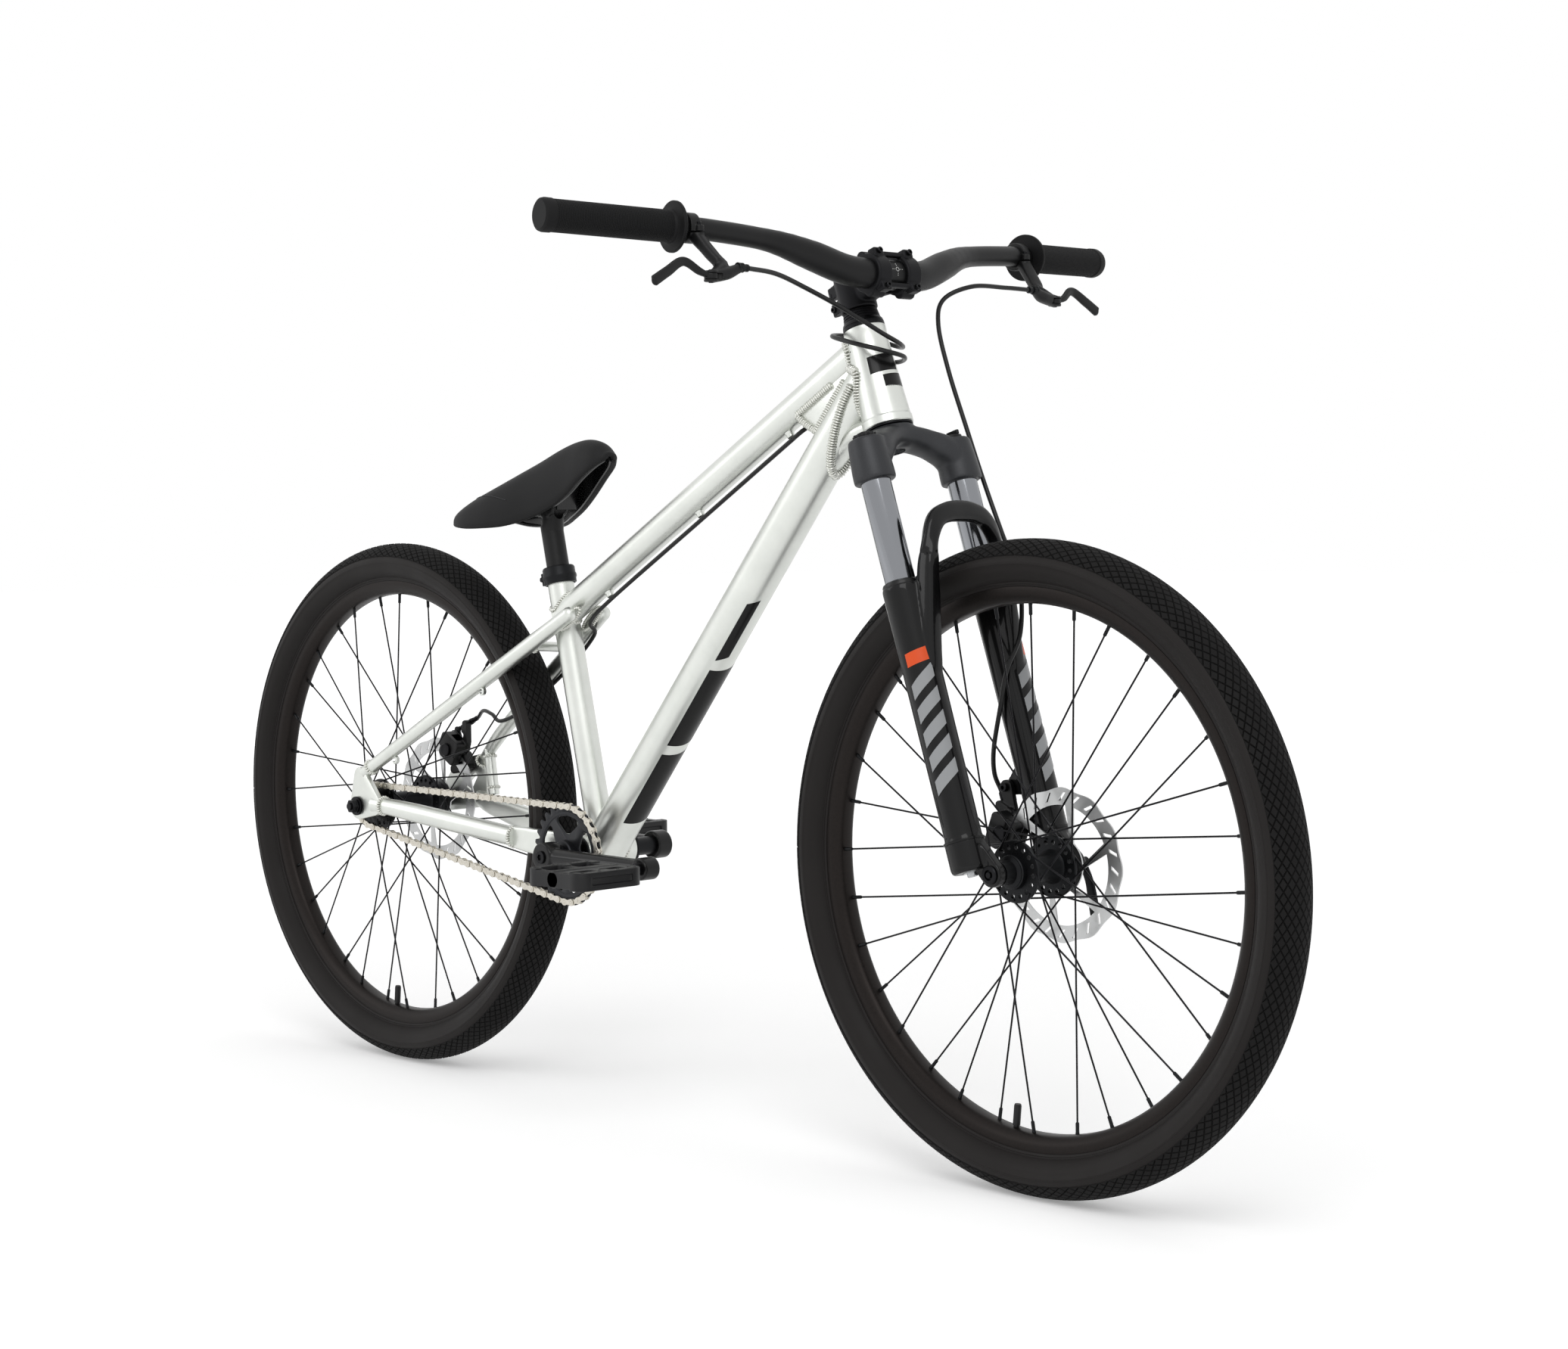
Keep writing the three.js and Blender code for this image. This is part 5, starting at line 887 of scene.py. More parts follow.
def make_frame_welds():
    head = CROWN_RACE
    runs = meeting(down_head - down_along * 0.2, down_along, DOWN["high"] + 0.8, head, HEAD_ALONG, 24.2)
    weld("weld_down_tube_head", runs, size=1.7)
    runs = meeting(top_head - top_along * 0.2, top_along, TOP["radius"], head, HEAD_ALONG, 22.6)
    weld("weld_top_tube_head", runs, size=1.6)
    make_gusset_welds()
    low_end = on_seat_tube(TOP["seat"] - 80)
    runs = meeting(low_end, SEAT_DIRECTION, SEAT["radius"], top_seat, top_along, TOP["radius"])
    high_end = on_seat_tube(TOP["seat"] + 80)
    runs += meeting(high_end, -SEAT_DIRECTION, SEAT["radius"], top_seat, top_along, TOP["radius"])
    weld("weld_seat_cluster", runs, size=0.95)
    shell = (BOTTOM_BRACKET, TO_LEFT, SHELL["radius"])
    runs = meeting(on_seat_tube(90), -SEAT_DIRECTION, SEAT["radius"], *shell)
    runs += meeting(BOTTOM_BRACKET + down_along * 0.12, -down_along, DOWN["low"], *shell)
    weld("weld_bottom_bracket", runs, size=1.05)
    for name, line in (("right", RIGHT_STAY), ("left", LEFT_STAY)):
        side = copysign(1, line[0].y)
        along = (line[1] - line[0]).normalized()
        lens = []
        for k in range(41):
            angle = TAU * k / 40
            spot = line[0] + along * (cos(angle) * 22 + 12) * MM
            out = side * (0.0174 + 0.0008 * cos(angle))
            lens.append(Vector((spot.x, out, spot.z + sin(angle) * 0.0072)))
        weld(f"weld_seat_stay_{name}", [lens], size=0.8)


def ring_path(centre, along, radius, steps=60):
    """Places on a circle round a tube."""
    first = along.orthogonal().normalized()
    second = along.cross(first)
    return [centre + (first * cos(TAU * k / steps) + second * sin(TAU * k / steps)) * radius * MM
            for k in range(steps + 1)]


def make_seat_stays():
    right = swept(RIGHT_STAY, [[9, 9], [9.4, 9.4], [9.4, 9.4], [9.2, 9.2], [8.6, 8.6], [8, 8]], 60, 40)
    right = joined([right, ball(9, RIGHT_STAY[0], segments=32)])
    bare(right, "seat_stay_right_skin", stay_look, "seatstay_right")
    left = swept(LEFT_STAY, [[9, 9], [9.4, 9.4], [9.6, 9.6], [9.4, 9.6], [8, 9.4], [5.4, 9]], 60, 40)
    left = joined([left, ball(9, LEFT_STAY[0], segments=32)])
    bare(left, "seat_stay_left_skin", stay_look, "seatstay_left")
    bridge = rod(mm(-233, -34, 544), mm(-233, 34, 539), 6, steps=40)
    bare(bridge, "seat_stay_bridge", shell_look)
    runs = [ring_path(mm(-233, y, 542.6), TO_LEFT, 6.4) for y in (-27.5, 27.5)]
    strut_low, strut_high = mm(-427, 57, 346), mm(-441, 61, 403)
    strut = rod(strut_low, strut_high, 7, steps=40)
    bare(strut, "brake_strut", seat_look)
    along = (strut_high - strut_low).normalized()
    runs.append(ring_path(strut_low.lerp(strut_high, 0.15), along, 7.2))
    runs.append(ring_path(strut_low.lerp(strut_high, 0.84), along, 7.2))
    weld("weld_stay_bridges", runs, size=0.7)


def hook_at(name, place):
    """Open ring that holds a cable."""
    ring = turned(closed((2.9, -2.6), (4.6, -2.6), (5.2, -2), (5.2, 2), (4.6, 2.6), (2.9, 2.6)), 32)
    cut(ring, [block((7, 3.2, 9), mm(-4.4, 0, 0), 0)])
    moved(ring, at(place), ALONG_Y)
    bare(ring, name, stay_look)


def slotted(outline, from_y, to_y):
    """A dropout plate with its axle slot open to the rear."""
    body = softened(side_plate(outline, from_y, to_y), 0.9)
    x, z = REAR_AXLE.x / MM, REAR_AXLE.z / MM
    slot = arc(x, z, 5.3, -90, 90, 16) + [(x - 45, z + 5.3), (x - 45, z - 5.3)]
    return cut(body, [side_plate(slot, from_y - 2, to_y + 2)])


def make_chain_stays():
    plate_right = slotted(wrapped([(-536, 372, 12), (-541, 334, 17), (-505, 337, 13)]), -74.5, -67.5)
    bare(plate_right, "dropout_right", chain_look)
    tube = swept([mm(-512, -70, 337.5), mm(-470, -63.5, 334), mm(-360, -50, 322), mm(-256, -42, 312)],
                 [[9, 10], [10, 12], [10.4, 12.4], [10, 12]], 50, 40)
    bare(tube, "chain_stay_right_skin", chain_look, "chainstay_right")
    yoke = swept([mm(-266, -42, 312.6), mm(-228, -41.5, 310), mm(-196, -37, 307), mm(-152, -27, 302)],
                 [[4.6, 13], [4.6, 15], [4.6, 17], [5, 18]], 40, 40, 0.42)
    bare(yoke, "chain_stay_plate", chain_look)
    outline = wrapped([(-541, 334, 17), (-468, 384, 11), (-468, 338, 12), (-515, 376, 10)])
    plate_left = slotted(outline, 67.5, 74.5)
    cut(plate_left, [side_plate(wrapped([(-494, 352, 7), (-480, 366, 4)]), 60, 80)])
    bare(plate_left, "dropout_left", chain_look)
    left = swept([mm(-472, 68, 338), mm(-446, 60, 334), mm(-390, 50, 327), mm(-333, 43, 320),
                  mm(-240, 40, 311), mm(-196, 36, 307), mm(-152, 27, 302)],
                 [[6, 10], [7, 13], [7, 15], [6.5, 15.5], [6, 15.5], [5.2, 16], [5, 16]], 60, 40, 0.6)
    bare(left, "chain_stay_left_skin", chain_look, "chainstay_left")
    runs = [
        ring_path(mm(-258, -42, 312), Vector((-1, 0, 0.02)), 11.6),
        ring_path(mm(-494, -67, 336.4), Vector((-1, -0.15, 0.04)), 10.4),
        ring_path(mm(-519, -68, 384), (RIGHT_STAY[-1] - RIGHT_STAY[-2]).normalized(), 8.4),
    ]
    weld("weld_chain_stay_right", runs, size=0.85)
    runs = [ring_path(mm(-462, 65.5, 386.5), (LEFT_STAY[-1] - LEFT_STAY[-2]).normalized(), 8)]
    weld("weld_dropout_left", runs, size=0.7)


def make_guides():
    """Cable guides under the top tube."""
    turn = aimed(under_top, Vector((0, 0, 0)))
    for k, distance in enumerate((85, 272, 444)):
        foot = top_seat + top_along * distance * MM + under_top * 16.4 * MM
        post = turned([(0, 0), (6, 0), (5.4, 1.2), (4.6, 2.4), (4.4, 5.6), (3.9, 6.2), (0, 6.2)], 32)
        moved(post, at(foot), turn)
        bare(post, f"cable_guide_{k + 1}", top_look)


def make_decals():
    """Plain slanted blocks where the frame has its black print."""
    up = Vector((0, 0, 1))
    length = (down_head - BOTTOM_BRACKET).length / MM
    slope = (DOWN["high"] - DOWN["low"]) / length
    for k, (low, high, wide) in enumerate(((66, 176, 222), (190, 306, 222), (320, 404, 168))):
        radii = (DOWN["low"] + slope * low, DOWN["low"] + slope * high)
        patch(f"down_tube_block_{k + 1}", "frame", BOTTOM_BRACKET, down_along, up, radii, low, high,
              138, wide, black_decal, 10)
    for k, (radii, low, high, start, end) in enumerate((
        ((24.2, 23.2), 57, 76, -60, 24), ((24.9, 24.3), 38, 54, -30, 50),
    )):
        patch(f"head_tube_block_{k + 1}", "frame", CROWN_RACE, HEAD_ALONG, AHEAD, radii, low, high,
              start, end, black_decal, 3)


make_head_tube()
make_main_tubes()
make_top_gusset()
make_frame_welds()
make_seat_stays()
make_chain_stays()
hook_at("cable_hook_high", mm(-312, -46, 487))
hook_at("cable_hook_low", mm(-474, -61.5, 395.5))
make_guides()
make_decals()


# Wheels

# Name, axle, disc place and the places of the two hub flanges
WHEELS = (("front", FRONT_AXLE, 42.5, (28, -28)), ("rear", REAR_AXLE, 52, (33, -37)))
TREAD_ANGLE = radians(64)
TREAD_HALF = 36
RIM_INNER = 268.5
FLANGE_HOLES = 25


def tyre_section(share):
    """Radius and half width round the tread, share from -1 to 1 across it."""
    angle = share * TREAD_ANGLE
    return 304.6 + cos(angle) * 28.2, sin(angle) * 28.6


def make_tread(name, centre, body):
    """A criss-cross of raised lines: a grid turned to diamonds, each set in and raised."""
    columns, rows = 150, 8
    nothing()
    bpy.ops.mesh.primitive_grid_add(x_subdivisions=columns * 2, y_subdivisions=rows * 2, size=2)
    strip = made()
    edit(strip)
    bpy.ops.mesh.unsubdivide(iterations=1)
    leave()
    # Flat strip first, in millimetres, so that all grooves have one width
    for vertex in strip.data.vertices:
        vertex.co = (vertex.co.x * pi * TYRE_RADIUS, vertex.co.y * TREAD_HALF, 0)
    edit(strip)
    bpy.ops.mesh.inset(use_individual=True, thickness=0.95, depth=1.35)
    leave()
    for vertex in strip.data.vertices:
        around, across, high = vertex.co
        radius, side = tyre_section(across / TREAD_HALF)
        lean = TREAD_ANGLE * across / TREAD_HALF
        radius += cos(lean) * high
        side += sin(lean) * high
        angle = around / TYRE_RADIUS
        vertex.co = mm(cos(angle) * radius, sin(angle) * radius, side)
    tidy(strip, 0.0002)
    moved(strip, at(centre), ALONG_Y)
    fit(strip, f"{name}_tyre_tread", body, tread_rubber, smooth=25)


def make_tyre(name, centre, body):
    edge_radius, edge_side = tyre_section(0.97)
    outer = [
        (284.2, 12.2), (286.6, 14.6), (288.6, 15.2), (289, 16.1), (290.6, 16.2), (291, 17), (294.5, 21.3),
        (299, 25.4), (304, 27.9), (308.8, 28.7), (309.1, 29), (310.4, 29), (310.7, 28.6), (314, 28.1),
        (edge_radius, edge_side), (edge_radius + 6, edge_side - 6),
    ]
    crown = [tyre_section(share) for share in (0.72, 0.4, 0.1)]
    half = outer + [(r - 0.3, s - 0.3) for r, s in crown]
    inside = [(284.2, -9), (300, -10), (300, 10), (284.2, 9)]
    casing_skin = turned(closed(*half, *[(r, -s) for r, s in half[::-1]], *inside), 192)
    moved(casing_skin, at(centre), ALONG_Y)
    fit(casing_skin, f"{name}_tyre_casing", body, side_rubber, [f"{name}_tyre"], smooth=40)


def make_rim(name, centre, body):
    half = [
        (RIM_INNER, 0), (268.6, 5.5), (269.6, 8.6), (272, 11.2), (275.4, 13.4), (278, 14.6), (281, 15),
        (284.6, 15), (286, 14.6), (286, 13.4), (284, 12.8), (280, 12.4), (279, 11.6), (279, 0),
    ]
    hoop = turned(half[:-1] + [(r, -s) for r, s in half[:-1][::-1]], 192)
    moved(hoop, at(centre), ALONG_Y)
    fit(hoop, f"{name}_rim_hoop", body, rim_look, [f"{name}_rim"])


def make_spokes(name, centre, body, flanges):
    """Black spokes laced three cross, each with its nipple at the rim, and the valve."""
    wires = []
    for side, flange in zip((1, -1), flanges):
        start = 11.25 if side > 0 else 0
        for k in range(8):
            for shift, cross, face in ((0, 67.5, 1), (22.5, -67.5, -1)):
                near = radians(45 * k + shift + start)
                far = near + radians(cross)
                hub = mm(sin(near) * 28.5, flange + side * face * 2.4, cos(near) * 28.5)
                rim = mm(sin(far) * 268.8, side * 3, cos(far) * 268.8)
                wires.append((centre + hub, centre + rim))
    nothing()
    bpy.ops.mesh.primitive_cylinder_add(vertices=10, radius=1.0 * MM, depth=1, end_fill_type="NGON")
    wire = moved(made(), at(Vector((0, 0, 0.5))))
    places = [aimed(b - a, a) @ Matrix.Diagonal((1, 1, (b - a).length, 1)) for a, b in wires]
    fit(repeated(wire, places), f"{name}_spokes", body, bolt_look)
    nipple = turned([(0, -1), (2.1, -1), (2.1, 1.5), (1.9, 2), (1.9, 11), (1.5, 12), (0, 12)], 12)
    places = [aimed(a - b, b) for a, b in wires]
    fit(repeated(nipple, places), f"{name}_nipples", body, anodised)
    valve = turned([(0, -6), (3, -6), (3, 2), (3.9, 2), (3.9, 22), (3.3, 24), (0, 24)], 20)
    seat = centre + mm(-sin(0.1), 0, -cos(0.1)) * RIM_INNER
    fit(moved(valve, aimed(centre - seat, seat)), f"{name}_valve", body, nylon)


def wave_disc():
    """Brake disc: waved rim, slanted slots and six curved arms."""
    outline = []
    steps = 288
    for k in range(steps):
        angle = TAU * k / steps
        radius = 78.7 + 1.3 * cos(angle * 12)
        outline.append((cos(angle) * radius, sin(angle) * radius))
    disc = plate(outline, -0.9, 0.9)
    cutters = [plate(circle(0, 0, 17.3, 48), -4, 4)]
    lean = 20
    for k in range(6):
        low, high = 60 * k + 5, 60 * k + 55
        outer = arc(0, 0, 62, low - lean, high - lean, 16)
        inner = arc(0, 0, 28, high, low, 8)
        cutters.append(plate(outer + inner, -4, 4))
    for k in range(24):
        middle = 15 * k
        slot = []
        for radius, shift in ((66, -4.2), (66, -0.6), (75, 4.4), (75, 1.6)):
            angle = radians(middle + shift)
            slot.append((cos(angle) * radius, sin(angle) * radius))
        cutters.append(plate(slot, -4, 4))
    return cut(disc, cutters)


def make_disc(name, centre, body, y):
    disc = copy_of(disc_pattern, at(centre + mm(0, y, 0)), ALONG_Y)
    fit(disc, f"{name}_brake_disc", body, disc_steel, [f"{name}_rotor"])
    head = turned([(0, 0), (4.3, 0), (4.3, 1.4), (3.6, 2.2), (1.6, 2.2), (1.6, 1.2), (0, 1.2)], 20)
    places = []
    for k in range(6):
        angle = TAU * (k + 0.5) / 6
        spot = centre + mm(cos(angle) * 22, y + 0.9, sin(angle) * 22)
        places.append(at(spot) @ ALONG_Y)
    fit(repeated(head, places), f"{name}_disc_bolts", body, bolt_look)


def make_hub(name, centre, body, flanges, disc_y, end_right, end_left, bore):
    """Hub shell with two spoke flanges and the seat of the disc on the left one's side."""
    left, right = flanges
    profile = [
        (bore, end_right), (10.6, end_right), (11.4, end_right + 1), (11.4, right - 12), (14, right - 11),
        (17.5, right - 8), (18, right - 2.4), (31, right - 2), (32, right - 1), (32, right + 1),
        (31, right + 2), (18, right + 2.4), (15.4, right + 6), (14, right + 16), (13.6, 0),
        (14, left - 16), (15.4, left - 6), (18, left - 2.4), (31, left - 2), (32, left - 1),
        (32, left + 1), (31, left + 2), (22.5, left + 2.6), (22.5, disc_y - 1.2), (16.8, disc_y - 1.1),
        (16.8, disc_y + 3), (11.4, disc_y + 4), (11.4, end_left - 1), (10.6, end_left), (bore, end_left),
        (bore, end_right),
    ]
    shell = turned(profile, 96)
    drills = []
    for flange in flanges:
        for k in range(16):
            angle = TAU * (k + 0.25) / 16
            spot = mm(cos(angle) * FLANGE_HOLES, sin(angle) * FLANGE_HOLES, flange)
            drills.append(moved(rod(mm(0, 0, -4), mm(0, 0, 4), 2.6, steps=16), at(spot)))
    cut(shell, drills)
    moved(shell, at(centre), ALONG_Y)
    fit(shell, f"{name}_hub_shell", body, anodised, [f"{name}_hub"])


def make_rear_axle():
    """Axle with a flanged nut and a ridged washer at each end."""
    shaft = slug(4.9, -88.6, 88.6, 0.6, 32)
    rows = [(5, 74.9), (11.8, 74.9), (12, 75.3)]
    for rib in range(3):
        low = 75.6 + rib * 0.8
        rows += [(12, low), (11.5, low + 0.2), (11.5, low + 0.5), (12, low + 0.7)]
    washer = turned([*rows, (11.4, 78.4), (5, 78.4), (5, 74.9)], 48)
    nut = turned(closed(
        (5, 78.4), (9.6, 78.4), (9.6, 79.4), (8.8, 80), (8.8, 85.4), (8, 86.2), (5, 86.2),
    ), 6)
    other_end = [copy_of(end, Matrix.Rotation(pi, 4, "X")) for end in (washer, nut)]
    whole = joined([shaft, washer, nut, *other_end])
    fit(moved(whole, at(REAR_AXLE), ALONG_Y), "rear_axle_and_nuts", "frame", bolt_look,
        ["rear_axle"], smooth=35)


disc_pattern = wave_disc()
for wheel, axle, disc_side, flange_sides in WHEELS:
    wheel_body = f"{wheel}_wheel"
    make_tyre(wheel, axle, wheel_body)
    make_tread(wheel, axle, wheel_body)
    make_rim(wheel, axle, wheel_body)
    make_spokes(wheel, axle, wheel_body, flange_sides)
    make_disc(wheel, axle, wheel_body, disc_side)
make_hub("front", FRONT_AXLE, "front_wheel", (28, -28), 42.5, -55, 55, 7.6)
make_hub("rear", REAR_AXLE, "rear_wheel", (33, -37), 52, -47.5, 67.2, 5.2)
bpy.data.objects.remove(disc_pattern)
make_rear_axle()


# Fork

LEG_FORWARD = 23.7
LEG_SPREAD = 65
SEAL_TOP = -179
LEG_LOW = -480
HUB_LINE = mm(FORK_OFFSET, 0, -AXLE_TO_CROWN)


def melted(pieces, grain, rounds, passes=0.5):
    """Pieces grown into one casting with soft inner corners."""
    whole = joined(pieces)
    with_modifier(whole, "REMESH", mode="VOXEL", voxel_size=grain * MM)
    with_modifier(whole, "SMOOTH", factor=passes, iterations=rounds)
    return whole


def local(*rows):
    """Places in millimetres on the axes of the piece that is drawn."""
    return [mm(*row) for row in rows]


def leg_top(side):
    """Where the middle line of a leg meets the height of the crown race."""
    return mm(LEG_FORWARD, side * LEG_SPREAD, 0)


def make_crown():
    boss = turned([(0, -25), (16, -25), (22, -20), (25, -10), (26.2, -4), (26.2, 0), (0, 0)], 64)
    arms = []
    for side in (-1, 1):
        line = local((6, side * -4, -11), (8, side * 16, -13), (14, side * 34, -20), (21, side * 50, -31),
                     (23.7, side * 62, -42))
        arms.append(swept(line, [[20, 12], [20, 12.5], [19.5, 13.5], [19.5, 16], [19, 18]], 30, 32, 0.8))
    collar = turned([
        (0, -67), (20.6, -67), (22.2, -65.6), (22, -55), (21, -40), (19.6, -26), (19, -21.5), (18, -20),
        (0, -20),
    ])
    legs = [copy_of(collar, at(leg_top(side))) for side in (-1, 1)]
    bpy.data.objects.remove(collar)
    crown = melted([boss, *arms, *legs], 1.5, 10)
    cut(crown, [rod(mm(0, 0, -60), mm(0, 0, -14), 12)])
    moved(crown, ON_FORK)
    fit(crown, "fork_crown_casting", "steering", crown_look, ["fork_crown"], smooth=60)
    tube = turned(closed((11.6, -24), (14.3, -24), (14.3, 171), (11.6, 171)))
    fit(moved(tube, ON_FORK), "steerer_tube", "steering", bright)


def make_stanchions():
    for side, name in SIDES:
        place = ON_FORK @ at(leg_top(side))
        tube = turned([(0, -330), (15.4, -330), (16, -329), (16, -28), (0, -28)], 80)
        fit(moved(tube, place), f"stanchion_tube_{name}", "steering", chrome,
            [f"stanchion_{name}"])
        seal = turned(closed(
            (16.1, SEAL_TOP - 2), (19.4, SEAL_TOP - 2), (19.6, SEAL_TOP + 1), (18.6, SEAL_TOP + 3.2),
            (17, SEAL_TOP + 4), (16.1, SEAL_TOP + 4.6),
        ))
        fit(moved(seal, place), f"wiper_seal_{name}", "fork_lowers", casing)


def make_knobs():
    """Ridged spring knob on the right leg, small turning lever on the left."""
    low = -19.7
    ridged = []
    for k in range(120):
        angle = TAU * k / 120
        radius = 11.9 + 0.7 * max(-1, min(1, 2 * cos(angle * 10)))
        ridged.append((cos(angle) * radius, sin(angle) * radius))
    place = ON_FORK @ at(leg_top(-1))
    knob = softened(plate(ridged, low, low + 4.6), 0.5)
    top = softened(plate(circle(0, 0, 7.6, 6), low + 4.6, low + 6.6), 0.5)
    whole = moved(joined([knob, top]), place)
    fit(whole, "preload_dial", "preload_knob", satin, ["preload_knob"])
    place = ON_FORK @ at(leg_top(1))
    disc = softened(plate(circle(0, 0, 11.8, 48), low, low + 4), 0.6)
    fin = softened(plate(wrapped([(0, 0, 4), (10.4, 0, 2.2)]), low + 4, low + 8.6), 0.8)
    whole = moved(joined([disc, fin]), place)
    fit(whole, "lockout_dial", "lockout_knob", satin, ["lockout_knob"])


def lower_leg(side):
    """One leg with the ridge that rises from its inside front to the arch."""
    shell = turned([
        (0, LEG_LOW), (18.6, LEG_LOW), (19.6, LEG_LOW + 1.4), (20.6, LEG_LOW + 4), (20.6, -450),
        (20.2, -447), (19.3, -444.6), (19.6, -400), (20, -300), (20.2, -250), (20.6, -200), (20.8, -184),
        (20.4, -180.4), (19.4, SEAL_TOP), (0, SEAL_TOP),
    ], 64)
    leg = moved(shell, at(leg_top(side)))
    ridge_line = local(
        (25, side * 64, -320), (31, side * 62.5, -280), (39, side * 60, -238), (48, side * 57, -200),
        (57, side * 53, -164), (63, side * 46.5, -138), (65.5, side * 35, -121), (66.5, side * 18, -114.5),
        (66.5, 0, -113),
    )
    ridge = swept(ridge_line, [
        [7, 8], [9, 11], [10, 12.5], [10.5, 13], [10, 12.5], [9, 11], [7.6, 8.6], [7, 10.4], [7, 11.2],
    ], 60, 32, 0.62)
    return [leg, ridge]


def front_dropout(side):
    """Arm that carries the axle in front of the foot of the leg."""
    outline = wrapped([
        (FORK_OFFSET, -AXLE_TO_CROWN, 13), (LEG_FORWARD + 6, -459, 11), (LEG_FORWARD + 8, -447, 8),
    ])
    low, high = (55.4, 66.2) if side > 0 else (-66.2, -55.4)
    return side_plate(outline, low, high)


def make_lowers():
    pieces = lower_leg(-1) + lower_leg(1) + [front_dropout(-1), front_dropout(1)]
    tab = side_plate(wrapped([(16, -398, 9), (-8, -393, 8), (14, -374, 7)]), 58.4, 65.8)
    casting = melted([*pieces, tab], 1.5, 6)
    holes = [rod(mm(FORK_OFFSET, -90, -AXLE_TO_CROWN), mm(FORK_OFFSET, 90, -AXLE_TO_CROWN), 7.7, steps=48)]
    notch = block((14, 11, 9), mm(LEG_FORWARD - 20, -LEG_SPREAD - 9, SEAL_TOP - 17), 1)
    cut(casting, [*holes, notch])
    moved(casting, ON_FORK)
    fit(casting, "fork_lower_casting", "fork_lowers", gloss, ["fork_lowers"], smooth=60)
    for side, name in SIDES:
        place = ON_FORK @ at(leg_top(side))
        foot = turned([
            (0, -485), (4.6, -485), (5.4, -484.2), (5.4, -481), (9, -480.6), (9, -479), (0, -479),
        ], 24)
        fit(moved(foot, place), f"foot_bolt_{name}", "fork_lowers", bright)
        band = turned(closed((19.7, -449.6), (21.3, -449.4), (21.5, -448.2), (21.3, -447), (19.7, -446.6)))
        fit(moved(band, place), f"foot_lip_{name}", "fork_lowers", gloss)


def make_leg_decals():
    """A plain orange tab and slanted grey bars on each leg."""
    for side, name, low, high in ((-1, "right", -88, -14), (1, "left", -22, 52)):
        foot = on_fork(LEG_FORWARD, side * LEG_SPREAD, 0)
        leg = ("fork_lowers", foot, HEAD_ALONG, AHEAD)
        patch(f"orange_tab_{name}", *leg, (20.2, 20.2), -266, -252, low, high, orange_decal, 4)
        for k in range(5):
            start = -300 - k * 25
            patch(f"grey_bar_{name}_{k + 1}", *leg, (20.1, 20.1), start, start + 15, low - 4, high,
                  grey_decal, 20)


def make_front_axle():
    place = ON_FORK @ at(HUB_LINE) @ ALONG_Y
    shaft = turned([
        (0, -69.4), (3, -69.4), (3, -66), (5.4, -66), (5.4, -69), (8.6, -69), (9.6, -68), (9.6, -66.4),
        (7.4, -66.2), (7.4, 68), (6.4, 69), (0, 69),
    ], 48)
    fit(moved(shaft, place), "front_axle_bolt", "fork_lowers", bolt_look, ["front_axle"])
    right = [(8, -31), (15, -31), (16.4, -33), (16.4, -38), (12.4, -40), (12.4, -54.4), (8, -54.6)]
    left = [(8, 46.8), (12.6, 46.8), (12.8, 48), (12.8, 53.8), (12, 54.6), (8, 54.6)]
    for profile, name in ((right, "right"), (left, "left")):
        cap = turned(closed(*profile), 48)
        fit(moved(cap, place), f"front_hub_cap_{name}", "front_wheel", anodised)


make_crown()
make_stanchions()
make_knobs()
make_lowers()
make_leg_decals()
make_front_axle()


# Cockpit

STEM_REACH = 50.4
BAR_UP = 154.6
STEM_LOW = 134
STEM_HIGH = 174
BAR_THICK = 15.9
BAR_CENTRE = on_fork(STEM_REACH, 0, BAR_UP)
STEM_BAR = at(mm(STEM_REACH, 0, BAR_UP))


def on_bar(ahead, left, up):
    """A place measured from the middle of the bar, on the frame's own axes."""
    return BAR_CENTRE + mm(ahead, left, up)


GRIP_START = on_bar(-40, 261.1, 36.5)
GRIP_END = on_bar(-65.8, 415.1, 40.9)
GRIP_WAY = (GRIP_END - GRIP_START).normalized()
GRIP_LENGTH = (GRIP_END - GRIP_START).length / MM
BAND_PLACE = GRIP_START - GRIP_WAY * 16 * MM
LEVER_PIVOT = on_bar(8.6, 253, -15.9)
BARREL = on_bar(11.1, 214, -5.6)


def socket_bolt(radius, height, socket=0.52):
    """A cap screw head with a six-sided socket, along local Z."""
    head = turned([(0, 0), (radius, 0), (radius, height - 0.5), (radius - 0.5, height), (0, height)], 32)
    hexagon = turned([(0, height * 0.35), (radius * socket, height * 0.35), (radius * socket, height + 1),
                      (0, height + 1)], 6)
    return cut(head, [hexagon])


def make_headset():
    upper = turned(closed(
        (14.7, 113.3), (22, 113.3), (22.5, 113.8), (22.5, 116.4), (21.9, 116.9), (21.9, 117.4),
        (22.3, 117.8), (21.6, 120.4), (20.5, 122), (14.7, 122),
    ), 96)
    fit(moved(upper, ON_FORK), "headset_upper_cover", "frame", anodised,
        ["headset_upper_cup"])
    lower = turned(closed(
        (14.7, 0.5), (25.7, 0.5), (26.3, 1), (26.3, 1.9), (25.9, 2.35), (14.7, 2.35),
    ), 96)
    fit(moved(lower, ON_FORK), "headset_lower_seat", "frame", anodised,
        ["headset_lower_cup"])
    rows = [(14.7, 122.3), (19.6, 122.3), (20, 122.7)]
    for rib in range(3):
        low = 124.2 + 3 * rib
        rows += [(19.8 - 0.45 * rib, low), (18.9 - 0.45 * rib, low + 0.5), (18.8 - 0.45 * rib, low + 1.3),
                 (19.5 - 0.45 * rib, low + 1.8)]
    rows += [(18, 133.3), (17.6, 133.7), (14.7, 133.7)]
    spacer = turned(closed(*rows), 96)
    fit(moved(spacer, ON_FORK), "stem_spacer", "steering", matt, ["headset_spacer"])


